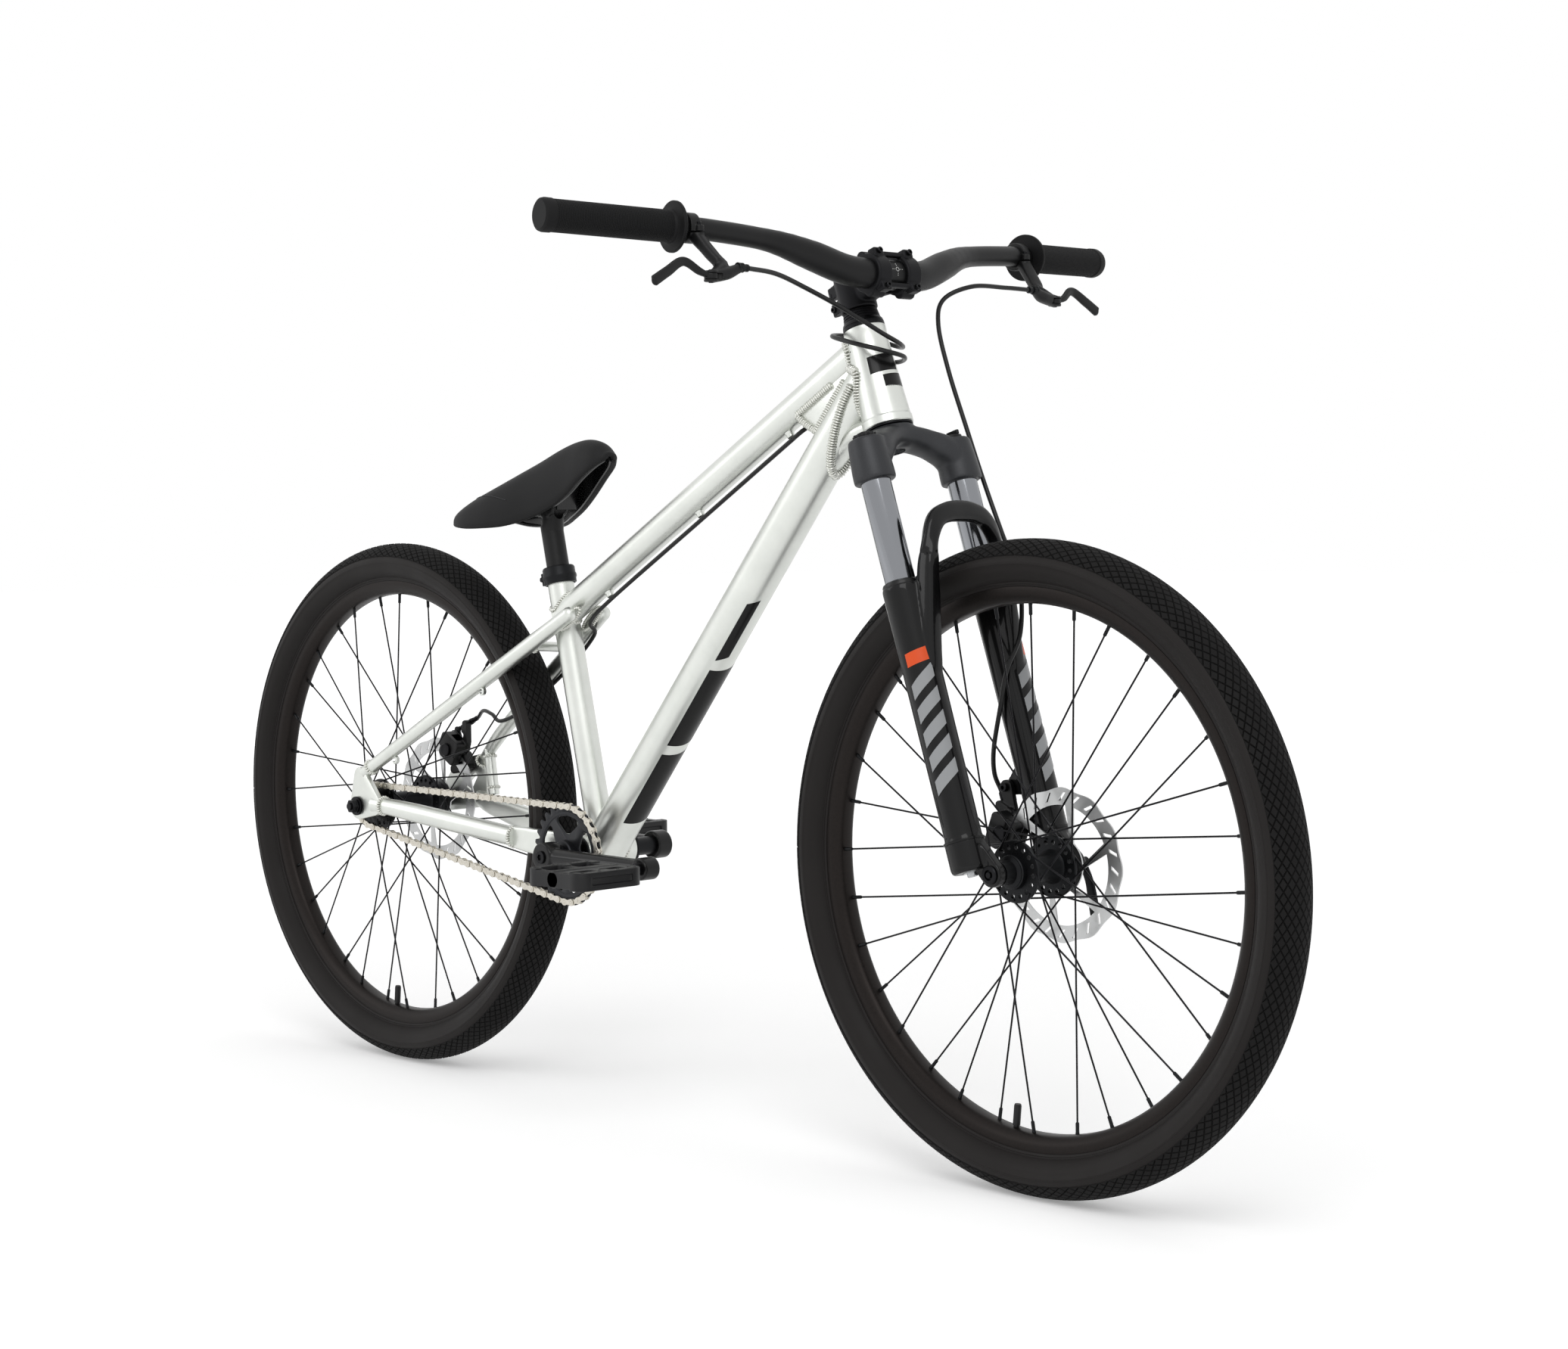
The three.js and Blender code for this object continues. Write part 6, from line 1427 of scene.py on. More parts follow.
def stem_band(side):
    """One of the two bands round the bar, with its upper and lower lug."""
    band = turned([(0, 11.5), (19.4, 11.5), (21, 13.2), (21, 30.6), (19.6, 32), (0, 32)], 72)
    lugs = [plate(wrapped([[-2, 0, 8], [-2, rise, 6.4]]), 12.4, 31.4) for rise in (-18.6, 18.6)]
    upright = joined([band, *lugs])
    moved(upright, STEM_BAR, UPRIGHT, Matrix.Scale(-1, 4, (0, 0, 1)))
    return moved(upright, MIRROR) if side < 0 else upright


def make_stem():
    bore = moved(slug(15.95, -60, 60, steps=72), STEM_BAR, ALONG_Y)
    clamp = turned([
        (0, STEM_LOW), (19, STEM_LOW), (20, STEM_LOW + 1), (20, STEM_HIGH - 1), (19, STEM_HIGH),
        (0, STEM_HIGH),
    ], 72)
    neck = swept(local((4, 0, 153.4), (22, 0, 153.8), (40, 0, 154.6)),
                 [[15.2, 17.4], [14.2, 14.6], [20, 17]], 16, 40, 0.62)
    ears = []
    for rise in (11, 29):
        for side in (-1, 1):
            ear = plate(wrapped([[-14, 0, 8.5], [-25, 0, 5.6]]), -6.6, 6.6)
            moved(ear, at(mm(0, side * 7.2, STEM_LOW + rise)), Matrix.Diagonal((1, 0.72, 1, 1)))
            ears.append(ear)
    body = melted([clamp, neck, *ears, stem_band(-1), stem_band(1)], 0.8, 5)
    room = block((80, 90, 90), mm(STEM_REACH + 42.2, 0, BAR_UP), 0)
    steerer = slug(14.5, 120, 190)
    slit = block((26, 1.8, 60), mm(-27, 0, 154), 0)
    cut_each(body, [copy_of(bore), room, steerer, slit])
    fit(moved(body, ON_FORK), "stem_body", "steering", matt, ["stem"], smooth=40)
    ring = melted([
        stem_band(-1), stem_band(1),
        *[block((6, 30, 5), mm(STEM_REACH + 12.4, 0, BAR_UP + rise), 1) for rise in (-17.4, 17.4)],
        *[block((11, 13.4, 9.4), mm(STEM_REACH + 11.4, side * 22, BAR_UP + rise), 1.6)
          for rise in (-19, 19) for side in (-1, 1)],
    ], 0.8, 5)
    behind = block((80, 90, 90), mm(STEM_REACH - 37.8, 0, BAR_UP), 0)
    cut_each(ring, [bore, behind])
    fit(moved(ring, ON_FORK), "stem_face", "steering", matt, ["stem_faceplate"], smooth=40)
    face_bolts = []
    for side in (-1, 1):
        for rise in (-1, 1):
            place = mm(STEM_REACH + 14.8, side * 22, BAR_UP + rise * 19.4)
            face_bolts.append(moved(socket_bolt(3.3, 5.2), at(place), Matrix.Rotation(pi / 2, 4, "Y")))
    fit(moved(joined(face_bolts), ON_FORK), "stem_face_bolts", "steering", bolt_look)
    # The two bolts behind go in from opposite sides
    rear_bolts = []
    for side, rise in ((-1, 11), (1, 29)):
        turn = Matrix.Rotation(radians(-90 * side), 4, "X")
        rear_bolts.append(moved(socket_bolt(3.3, 4.4), at(mm(-25, 9.4 * side, STEM_LOW + rise)), turn))
        end = slug(2.6, 0, 4, steps=32)
        rear_bolts.append(moved(end, at(mm(-25, -9.4 * side, STEM_LOW + rise)), turn, turn))
    fit(moved(joined(rear_bolts), ON_FORK), "stem_rear_bolts", "steering", bolt_look)
    cap = turned([
        (0, 174.3), (17, 174.3), (17.5, 174.8), (17.4, 177), (15.4, 178.8), (6.6, 179), (5.6, 177.2),
        (0, 177.2),
    ], 72)
    fit(moved(cap, ON_FORK), "steerer_cap", "steering", matt, ["steerer_top_cap"])
    bolt = moved(socket_bolt(4.4, 1.7), at(mm(0, 0, 177.2)))
    fit(moved(bolt, ON_FORK), "steerer_cap_bolt", "steering", bolt_look)


def bar_radius(out):
    """Half thickness of the bar at a distance out from its middle."""
    share = min(max((out - 86) / 86, 0), 1)
    return BAR_THICK + (11.1 - BAR_THICK) * share * share * (3 - 2 * share)


def make_bar():
    half_line = [
        on_bar(0, 33, 0), on_bar(-4.4, 62, 3.6), on_bar(-13.4, 100, 16.1), on_bar(-25.6, 146.8, 29),
        GRIP_START - GRIP_WAY * 40 * MM, GRIP_START, GRIP_END - GRIP_WAY * 8 * MM,
    ]
    line = [mirrored(place) for place in half_line[::-1]] + [BAR_CENTRE, *half_line]
    whole = 2 * 418
    rows = [[bar_radius(abs(k / 60 - 0.5) * whole)] * 2 for k in range(61)]
    tube = swept(line, rows, 180, 48)
    fit(tube, "handlebar_tube", "steering", satin, ["handlebar"], smooth=60)
    marks = []
    for rise in (-6.2, -4.4, 4.4, 6.2):
        front = STEM_REACH + sqrt(BAR_THICK**2 - rise * rise)
        marks.append(block((0.5, 0.4, 1.1), mm(front, 0, BAR_UP + rise), 0))
    circle_mark = turned(closed((1.9, -0.25), (2.3, -0.25), (2.3, 0.25), (1.9, 0.25)), 32)
    marks.append(moved(circle_mark, at(mm(STEM_REACH + 15.85, 0, BAR_UP)), turn_y(90)))
    for side in (-1, 1):
        for out in (4, 7):
            marks.append(block((0.5, 1.4, 0.4), mm(STEM_REACH + 15.8, side * out, BAR_UP), 0))
    fit(moved(joined(marks), ON_FORK), "handlebar_marks", "steering", mark_look)


def pair(left, name, look, smooth=32, body="steering", node=""):
    """Fits a left piece and its mirror image on the right."""
    pieces = (("left", left), ("right", copy_of(left, MIRROR)))
    for side, piece in pieces:
        nodes = [node.format(side)] if node else ()
        fit(piece, name.format(side), body.format(side), look, nodes, smooth)


def make_grips():
    """Grips with an end flange, fine ribs all along and a smooth collar at the outer end."""
    rows = [(11.5, 0), (25.4, 0), (26, 0.7), (26, 3.2), (25.2, 4), (19, 4.4), (17.2, 5.6), (16.9, 7.2)]
    low, high, pitch = 9, GRIP_LENGTH - 15, 1.9
    ribs = int((high - low) / pitch)
    for k in range(ribs):
        start = low + k * pitch
        rows += [(15.75, start), (16.3, start + 0.45), (16.3, start + 1.1), (15.75, start + 1.55)]
    rows += [
        (15.8, high), (16.9, high + 0.8), (17, high + 8), (16.2, high + 11), (14, high + 12.6),
        (0, high + 12.6), (0, high + 9), (11.5, high + 9), (11.5, 0),
    ]
    grip = moved(turned(rows, 64), aimed(GRIP_WAY, GRIP_START))
    pair(grip, "grip_{}_rubber", grip_look, node="grip_{}")


def around_pivot(radius, low, high, steps=48):
    """A round piece on the lever's pivot, from low to high."""
    middle = LEVER_PIVOT + mm(0, 4, 0)
    return rod(middle + mm(0, 0, low), middle + mm(0, 0, high), radius, steps=steps, edge=0.5)


def make_perch():
    """The lever's body: band round the bar with a screw lug, arm, cable end and fork for the lever."""
    on_band = aimed(GRIP_WAY, BAND_PLACE)
    band = moved(slug(15.4, -6, 6, 0.8), on_band)
    bolt_low, bolt_high = on_bar(-23.4, 244, 21.2), on_bar(-23.4, 244, 38)
    lug = swept([bolt_low, bolt_low.lerp(bolt_high, 0.5), bolt_high],
                [[5.6, 5.6], [5.2, 5.6], [5, 5.6]], 8, 32, 0.8)
    arm = swept([BAND_PLACE + mm(10, 0, -8), on_bar(-8.4, 240, 7.1), on_bar(2.6, 238, -4.9), LEVER_PIVOT],
                [[7.2, 7.2], [7.6, 6], [7.6, 5.6], [6.2, 6.2]], 20, 32, 0.7)
    body = swept([LEVER_PIVOT + mm(0, 4, 0), on_bar(8.6, 236, -11.9), BARREL + mm(0, 6, 0)],
                 [[6.8, 6.8], [7.6, 6.4], [4.8, 4.8]], 20, 32, 0.86)
    cheeks = around_pivot(7.2, -5.6, 5.6)
    perch = melted([band, lug, arm, body, cheeks], 0.7, 5)
    hole = rod(BAND_PLACE - GRIP_WAY * 0.02, BAND_PLACE + GRIP_WAY * 0.02, 11.35, steps=64)
    gap = moved(block((16, 30, 2), mm(15, 0, 0), 0), at(BAND_PLACE + mm(0, 0, -5)))
    cut_each(perch, [hole, around_pivot(12, -3.2, 3.2), gap])
    fit(perch, "brake_perch_left_body", "steering", satin, ["brake_perch_left"], smooth=40)
    # A mirrored copy of the fitted left body stands for the right node
    right = copy_of(perch, MIRROR)
    fit(right, "brake_perch_right_body", "steering", satin, ["brake_perch_right"], smooth=40)
    screw = moved(socket_bolt(3, 3.4), aimed(bolt_high - bolt_low, bolt_high))
    pin = around_pivot(2.6, -6.6, 6.6, 32)
    pair(joined([screw, pin]), "brake_perch_{}_screws", bolt_look)


def make_adjusters():
    """The knurled barrel and its lock ring, where the cable leaves the lever."""
    wheel = turned(closed(
        (2.6, 0), (3.6, 0), (3.9, 0.4), (3.9, 2.6), (3.4, 3), (3.4, 6.4), (4.4, 6.6), (4.6, 7),
        (4.6, 11.4), (4.2, 11.8), (2.6, 11.8),
    ), 48)
    tooth = moved(slug(0.34, 6.8, 11.6, steps=6), at(mm(4.6, 0, 0)))
    knurl = repeated(tooth, [turn_z(15 * k) for k in range(24)])
    collar = turned(closed((2.6, 12.1), (4.9, 12.1), (5.2, 12.4), (5.2, 13.9), (4.9, 14.2), (2.6, 14.2)), 12)
    whole = moved(joined([wheel, knurl, collar]), aimed(mm(0, 1, 0), BARREL + mm(0, -4, 0)))
    pair(whole, "brake_adjuster_{}", anodised)


def make_levers():
    blade = swept(
        [LEVER_PIVOT + mm(0, 5, 0), on_bar(8.6, 272, -11.9), on_bar(4.6, 290, -2.9), on_bar(6.6, 312, -13.9),
         on_bar(7.5, 330, -24)],
        [[3.2, 2.6], [3.2, 3.9], [3, 4.7], [2.8, 5.2], [2.9, 5.4]], 48, 32, 0.66,
    )
    tip = ball(5.3, on_bar(7.4, 328.6, -23.1), (0.56, 0.8, 1.02))
    hub = around_pivot(7, -2.9, 2.9)
    knee = swept([LEVER_PIVOT + mm(0, 4, 0), LEVER_PIVOT + mm(0, 12, 3)],
                 [[5.4, 2.7], [3.4, 2.7]], 6, 24, 0.8)
    lever = melted([blade, tip, hub, knee], 0.55, 4)
    pair(lever, "brake_blade_{}", satin, 60, "brake_lever_{}", "brake_lever_{}")


make_headset()
make_stem()
make_bar()
make_grips()
make_perch()
make_adjusters()
make_levers()


# Drivetrain

PITCH = 12.7
RING_TEETH = 28
COG_TEETH = 13
CHAIN_Y = -55
CHAIN_SLOPE = atan2(BOTTOM_BRACKET.z - REAR_AXLE.z, BOTTOM_BRACKET.x - REAR_AXLE.x)
CRANK_LENGTH = 175
CRANK_Y = 84
PEDAL_INNER = 126
PEDAL_WIDTH = 92


def pitch_radius(teeth):
    """The radius that the chain's pins keep on a sprocket, in millimetres."""
    return PITCH / 2 / sin(pi / teeth)


def tooth_outline(teeth):
    """Teeth with hollow roots, one on every pin angle, in millimetres."""
    middle = pitch_radius(teeth)
    flank = [(5.2, -2.6), (3.9, -0.4), (2.9, 2.2), (1.7, 4)]
    marks = [(-PITCH / 2, -3.1), *[(-across, out) for across, out in flank], *flank[::-1]]
    outline = []
    for k in range(teeth):
        angle = TAU * (k + 0.5) / teeth
        for across, out in marks:
            radius = middle + out
            turn = angle + across / middle
            outline.append((cos(turn) * radius, sin(turn) * radius))
    return outline


def rounded_window(outer, outer_half, inner, inner_half, middle, corner=5):
    """A window between two radii with rounded corners."""
    corners = []
    for radius, half, inward in ((outer, outer_half, -1), (inner, inner_half, 1)):
        for side in (-1, 1):
            place = radius + inward * corner
            angle = radians(middle + side * half) - side * corner / place
            corners.append([cos(angle) * place, sin(angle) * place, corner])
    middle_angle = radians(middle)
    place = outer - corner
    corners.append([cos(middle_angle) * place, sin(middle_angle) * place, corner])
    return wrapped(corners, 24)


def make_ring():
    web = plate(tooth_outline(RING_TEETH), -1.2, 1.2)
    windows = [plate(rounded_window(46, 27, 24, 13, 72 * k + 20), -5, 5) for k in range(5)]
    centre = slug(11.3, -20, 20)
    hub = slug(17, -2.8, 9, 1.4)
    cut(web, windows)
    cut(web, [copy_of(centre)])
    cut(hub, [centre])
    softened(web, 0.5, 2)
    raised = turned(closed(
        (47.4, -1.9), (50.8, -1.9), (51.4, -1.3), (51.4, -1.1), (46.8, -1.1), (46.8, -1.3),
    ), 96)
    raised = joined([copy_of(raised, Matrix.Rotation(pi, 4, "X")), raised])
    ring_piece = joined([web, hub, raised])
    moved(ring_piece, at(BOTTOM_BRACKET + mm(0, CHAIN_Y, 0)), Matrix.Rotation(-CHAIN_SLOPE, 4, "Y"), UPRIGHT)
    fit(ring_piece, "chainring_plate", "cranks", ring_look, ["chainring"], smooth=35)


def make_cog():
    web = plate(tooth_outline(COG_TEETH), -1.2, 1.2)
    boss = slug(14, -12, 7, 1)
    bore = slug(7.4, -20, 20, steps=48)
    cut(web, [copy_of(bore)])
    cut(boss, [bore])
    whole = joined([softened(web, 0.4), boss])
    turn = Matrix.Rotation(-CHAIN_SLOPE - pi, 4, "Y")
    moved(whole, at(REAR_AXLE + mm(0, CHAIN_Y, 0)), turn, ALONG_Y)
    fit(whole, "rear_cog_plate", "rear_cog", anodised, ["rear_cog"], smooth=35)


def chain_pins():
    """Pin places in order round both sprockets."""

    def wrap(centre, teeth, start):
        reach = teeth // 4
        radius = pitch_radius(teeth) * MM
        angles = [start + k / teeth * TAU for k in range(-reach, reach + 1)]
        return [centre + Vector((cos(a), 0, sin(a))) * radius for a in angles]

    def run(start, end):
        links = round((end - start).length / MM / PITCH)
        return [start.lerp(end, k / links) for k in range(1, links)]

    ring_pins = wrap(BOTTOM_BRACKET, RING_TEETH, CHAIN_SLOPE)
    cog_pins = wrap(REAR_AXLE, COG_TEETH, CHAIN_SLOPE + pi)
    return ring_pins + run(ring_pins[-1], cog_pins[0]) + cog_pins + run(cog_pins[-1], ring_pins[0])


def link_plate(bulge, waist):
    """Half of a link's outline: a figure eight along local X."""
    half = PITCH / 2
    reach = 105
    right = arc(half, 0, bulge, -reach, reach, 12)
    left = arc(-half, 0, bulge, 180 - reach, 180 + reach, 12)
    outline = [*right, (0, waist), *left, (0, -waist)]
    return plate(outline, -0.5, 0.5)


def link_pair(bulge, waist, out):
    """The two plates of a link, each this far out from the chain's middle."""
    plates = [softened(link_plate(bulge, waist), 0.25, 1) for _ in range(2)]
    return joined([moved(one, at(mm(0, 0, side * out))) for one, side in zip(plates, (-1, 1))])


def make_chain():
    pins = chain_pins()
    outer, inner = link_pair(4.2, 2.7, 2.8), link_pair(4.1, 2.6, 1.75)
    places = []
    for k, pin in enumerate(pins):
        following = pins[(k + 1) % len(pins)]
        way = (following - pin).normalized()
        side = Vector((0, -1, 0))
        turn = Matrix((way, side.cross(way), side)).transposed().to_4x4()
        middle = (pin + following) / 2 + mm(0, CHAIN_Y, 0)
        places.append(at(middle) @ turn)
    repeated(outer, places[0::2])
    repeated(inner, places[1::2])
    post = slug(1.9, -3.7, 3.7, 0.3, 12)
    roller = slug(3.6, -1.2, 1.2, 0.3, 16)
    pin_piece = joined([post, roller])
    repeated(pin_piece, [at(pin + mm(0, CHAIN_Y, 0)) @ ALONG_Y for pin in pins])
    whole = joined([outer, inner, pin_piece])
    fit(whole, "chain_links", "frame", nickel, ["chain"], smooth=40)


def crank_arm(side):
    """An arm with a round boss and tip, drawn with its length along local X."""
    arm = rod(mm(0, 0, 0), mm(CRANK_LENGTH, 0, 0), 10.5, 9.7, 48)
    boss = moved(slug(17, -11, 11, 1.4), ALONG_Y)
    tip = slug(13, -11, 11, 1, 48)
    moved(tip, at(mm(CRANK_LENGTH, 0, 0)), ALONG_Y)
    whole = melted([arm, boss, tip], 1.1, 6)
    turn = Matrix.Rotation(pi if side > 0 else 0, 4, "Y")
    return moved(whole, at(BOTTOM_BRACKET + mm(0, side * CRANK_Y, 0)), turn)


def make_cranks():
    right = crank_arm(-1)
    spindle_bore = rod(BOTTOM_BRACKET + mm(0, -89.8, 0), BOTTOM_BRACKET + mm(0, -60, 0), 11.3, steps=48)
    cut(right, [spindle_bore])
    fit(right, "crank_arm_right", "cranks", gloss, ["crank_right"], smooth=50)
    left = crank_arm(1)
    fit(left, "crank_arm_left", "cranks", gloss, ["crank_left"], smooth=50)
    spindle = rod(BOTTOM_BRACKET + mm(0, -89.2, 0), BOTTOM_BRACKET + mm(0, 74, 0), 11, steps=64)
    fit(spindle, "crank_spindle", "cranks", anodised)
    right_bolt = moved(socket_bolt(7.6, 3), at(BOTTOM_BRACKET + mm(0, -94.4, 0)), UPRIGHT)
    left_cap = turned([(0, 0), (10.4, 0), (10.4, 1.2), (9.6, 1.9), (7, 1.9), (6.4, 1.2), (0, 1.2)], 48)
    moved(left_cap, at(BOTTOM_BRACKET + mm(0, 94.8, 0)), ALONG_Y)
    fit(joined([right_bolt, left_cap]), "crank_bolts", "cranks", bolt_look)
    for side, name in SIDES:
        place = BOTTOM_BRACKET + mm(-side * CRANK_LENGTH, side * 94, 0)
        way = mm(0, side, 0)
        shaft = turned([(0, 0), (7.4, 0), (7.4, 6), (6.9, 6.5), (5, 7), (5, 119), (0, 119)], 32)
        flats = [block((20, 3, 5), mm(0, y, 3.4), 0) for y in (-8, 8)]
        cut(shaft, flats)
        fit(moved(shaft, aimed(way, place)), f"pedal_spindle_{name}", "cranks", bolt_look)


def four_corners(half_x, half_y, corner, x=0, y=0):
    """A rounded rectangle round a middle, in millimetres."""
    a, b = half_x - corner, half_y - corner
    return wrapped([[x + sx * a, y + sy * b, corner] for sx in (-1, 1) for sy in (-1, 1)], 48)


def make_pedal(side, name):
    """A flat platform with four windows, a barrel round its spindle and sixteen studs."""
    body = plate(four_corners(48, 46, 14), -10, 10)
    windows = [
        plate(four_corners(11, 15, 4.5, sx * 25.5, sy * 20.5), -12, 12) for sx in (-1, 1) for sy in (-1, 1)
    ]
    cut(body, windows)
    scoops = []
    for way in (-1, 1):
        scoops.append(block((58, 120, 3), mm(0, 0, way * 10), 0))
        scoops.append(block((6, 58, 8), mm(way * 48, 0, 0), 1.4))
    cut_each(body, scoops)
    softened(body, 0.9, 2, 35)
    barrel = moved(turned([(0, -46), (8.6, -46), (9.5, -45), (9.5, 44.5), (8.6, 46), (0, 46)], 48), ALONG_Y)
    cross = [block((70, 4, 12), mm(0, y, 0), 1) for y in (-3, 3)]
    studs = []
    for sz in (-1, 1):
        for sx in (-1, 1):
            for y in (-37, -13, 13, 37):
                stud = turned([(0, 0), (2.1, 0), (2.1, 0.9), (1.7, 1.3), (0, 1.3)], 6)
                place = at(mm(sx * 41.4, y, sz * 9.2))
                studs.append(moved(stud, place, Matrix.Rotation(0 if sz > 0 else pi, 4, "X")))
    bore = moved(turned([(0, -60), (7.8, -60), (7.8, -45.2), (5.3, -44.8), (5.3, 44), (0, 44)], 32), ALONG_Y)
    for solid in (body, barrel, *cross):
        cut(solid, [copy_of(bore)])
    bpy.data.objects.remove(bore)
    whole = joined([body, barrel, *cross, *studs])
    middle = PEDAL_INNER + PEDAL_WIDTH / 2
    place = BOTTOM_BRACKET + mm(-side * CRANK_LENGTH, side * middle, 0)
    moved(whole, at(place), turn_z(0 if side > 0 else 180))
    fit(whole, f"pedal_{name}_body", f"pedal_{name}", nylon, [f"pedal_{name}"], smooth=35)


make_ring()
make_cog()
make_chain()
make_cranks()
for pedal_side, pedal_name in SIDES:
    make_pedal(pedal_side, pedal_name)


# Saddle and seat post

SADDLE_PIVOT = mm(-227, 0, 713)
PADDING = 8.6
RAIL_OUT = 14.5
POST_RADIUS = 13.6

# From tail to nose: distance ahead of the pivot, half width, top and bottom over the pivot
SADDLE_ROWS = [
    (-130, 44, -7, -16), (-119, 60, 3, -22), (-95, 67, 16, -25), (-65, 64, 29, -25), (-35, 54, 42, -23),
    (-5, 42, 54, -16), (25, 33, 66, -5), (51, 27, 73.5, 10), (75, 24, 76, 29), (95, 20, 71.5, 43),
    (108, 12, 61, 52),
]


def saddle_row(share):
    """A smooth row between the given ones."""
    place = share * (len(SADDLE_ROWS) - 1)
    low = min(int(place), len(SADDLE_ROWS) - 2)
    t = place - low
    picks = [SADDLE_ROWS[min(max(low + k, 0), len(SADDLE_ROWS) - 1)] for k in (-1, 0, 1, 2)]
    return [
        0.5 * (2 * b + (c - a) * t + (2 * a - 5 * b + 4 * c - d) * t * t + (3 * b - a - 3 * c + d) * t**3)
        for a, b, c, d in zip(*picks)
    ]


def on_saddle(share, angle, inset=0.0, round_share=0.8, squeeze=1.0):
    """A place on the saddle's top, angle 0 at its left edge and 180 at its right edge."""
    ahead, half_width, top, bottom = saddle_row(share)
    c, s = cos(radians(angle)), sin(radians(angle))
    middle = (top + bottom) / 2
    width = max(half_width - inset, 1)
    rise = bottom + max(s, 0) ** round_share * (top - bottom - inset)
    if s < 0:
        rise = bottom + s * 9
        width -= -s * 9
    return SADDLE_PIVOT + mm(ahead, c * width * squeeze, middle + (rise - middle) * squeeze)


def padding_at(share):
    """How deep the padding is: all of it where the saddle is thick, less at its tips."""
    top, bottom = saddle_row(share)[2:]
    return min(PADDING, (top - bottom) * 0.6)


def make_cover():
    """The padded cover, closed over its tail and nose by a few rings that draw together."""
    rings = []
    steps = 60
    for k in range(-3, steps + 4):
        share = min(max(k / steps, 0), 1)
        past = max(-k, k - steps, 0) / 4 * pi / 2
        squeeze = cos(past)
        push = mm(copysign(3 * sin(past), k), 0, 0)
        depth = padding_at(share)
        outer = [on_saddle(share, -16 + 212 * n / 44, squeeze=squeeze) + push for n in range(45)]
        inner = [on_saddle(share, 180 * n / 44, depth, squeeze=squeeze) + push * 0.6 for n in range(45)]
        rings.append(outer + inner[::-1])
    cover = skinned(rings)
    fit(cover, "saddle_padded_cover", "saddle", leatherette, ["saddle_cover"], smooth=60)


def make_stitches():
    """A row of stitches on each side, from the flank up to the top."""
    stitch = turned([(0, 0), (0.32, 0.3), (0.42, 1), (0.42, 2.2), (0.32, 2.9), (0, 3.2)], 8)
    places = []
    for side in (-1, 1):
        points = []
        for k in range(60):
            angle = 62 - 42 * (k / 59) ** 1.2
            points.append(on_saddle(0.1 + 0.32 * k / 59, angle if side > 0 else 180 - angle))
        path = smooth_path(points, 34)
        for a, b in zip(path, path[1:]):
            middle = (a + b) / 2
            out = Vector((0, middle.y, middle.z - SADDLE_PIVOT.z + 0.02)).normalized()
            places.append(aimed(b - a, a + out * 0.0003))
    fit(repeated(stitch, places), "saddle_stitches", "saddle", thread_look)


def base_shell():
    """The thin shell that the padding lies on."""
    rings = []
    steps = 44
    for k in range(steps + 1):
        share = 0.06 + 0.9 * k / steps
        depth = padding_at(share) + 0.5
        outer = [on_saddle(share, 180 * n / 30, depth) for n in range(31)]
        inner = [on_saddle(share, 180 * n / 30, depth + 2.8) for n in range(31)]
        rings.append(outer + inner[::-1])
    return skinned(rings)


def base_walls():
    """The two upright walls under the shell, one on each side of the pivot."""
    walls = []
    outline = [(-58, -12), (-40, -15), (-20, -6), (-19, 3), (19, 3), (24, -6), (27, 4), (30, 22), (38, 38),
               (52, 50), (74, 58), (60, 64), (20, 54), (-30, 26), (-62, 8)]
    for side in (-1, 1):
        wall = side_plate(outline, side * RAIL_OUT - 1.3, side * RAIL_OUT + 1.3)
        walls.append(softened(wall, 0.6))
    return walls


def pivot_teeth():
    """The fine teeth that hold the saddle's angle, round the pivot."""
    tooth = block((1.3, 31.4, 2.6), mm(0, 0, 22.2), 0.2)
    teeth = [copy_of(tooth, turn_y(-60 - 5 * k)) for k in range(14)]
    bpy.data.objects.remove(tooth)
    return teeth


def make_base():
    """The moulded base: shell, edge lips, walls, front web, pivot block with ribs and teeth."""
    lips = []
    for side in (-1, 1):
        points = [on_saddle(0.02 + 0.3 * k / 8, 2 if side > 0 else 178, 7) - mm(0, 0, 1.5) for k in range(9)]
        lips.append(swept(points, [[5.5, 2.8], [6, 3.2], [5, 2.6], [3, 1.6]], 24, 16))
    walls = base_walls()
    front = swept(local((26, 0, -6), (27, 0, 6), (31, 0, 22), (40, 0, 37), (56, 0, 49), (78, 0, 57)),
                  [[15, 1.4], [15.5, 1.4], [16, 1.4], [15, 1.4], [13, 1.4]], 30, 24, 0.35)
    block_high = block((40, 29, 26), mm(-1, 0, 31), 2)
    block_low = block((38, 26, 18), mm(0, 0, 14), 1.4)
    ribs = [block((42, 30.5, 1.5), mm(0, 0, 19.5 + 3.2 * k), 0.4) for k in range(5)]
    room = moved(slug(16.4, -24, 24), ALONG_Y)
    for solid in (*walls, block_low):
        cut(solid, [copy_of(room)])
    bpy.data.objects.remove(room)
    under = joined([*walls, front, block_high, block_low, *ribs, *pivot_teeth()])
    moved(under, at(SADDLE_PIVOT))
    whole = joined([base_shell(), under, *lips])
    fit(whole, "saddle_moulded_base", "saddle", gloss_nylon, ["saddle_base"], smooth=40)


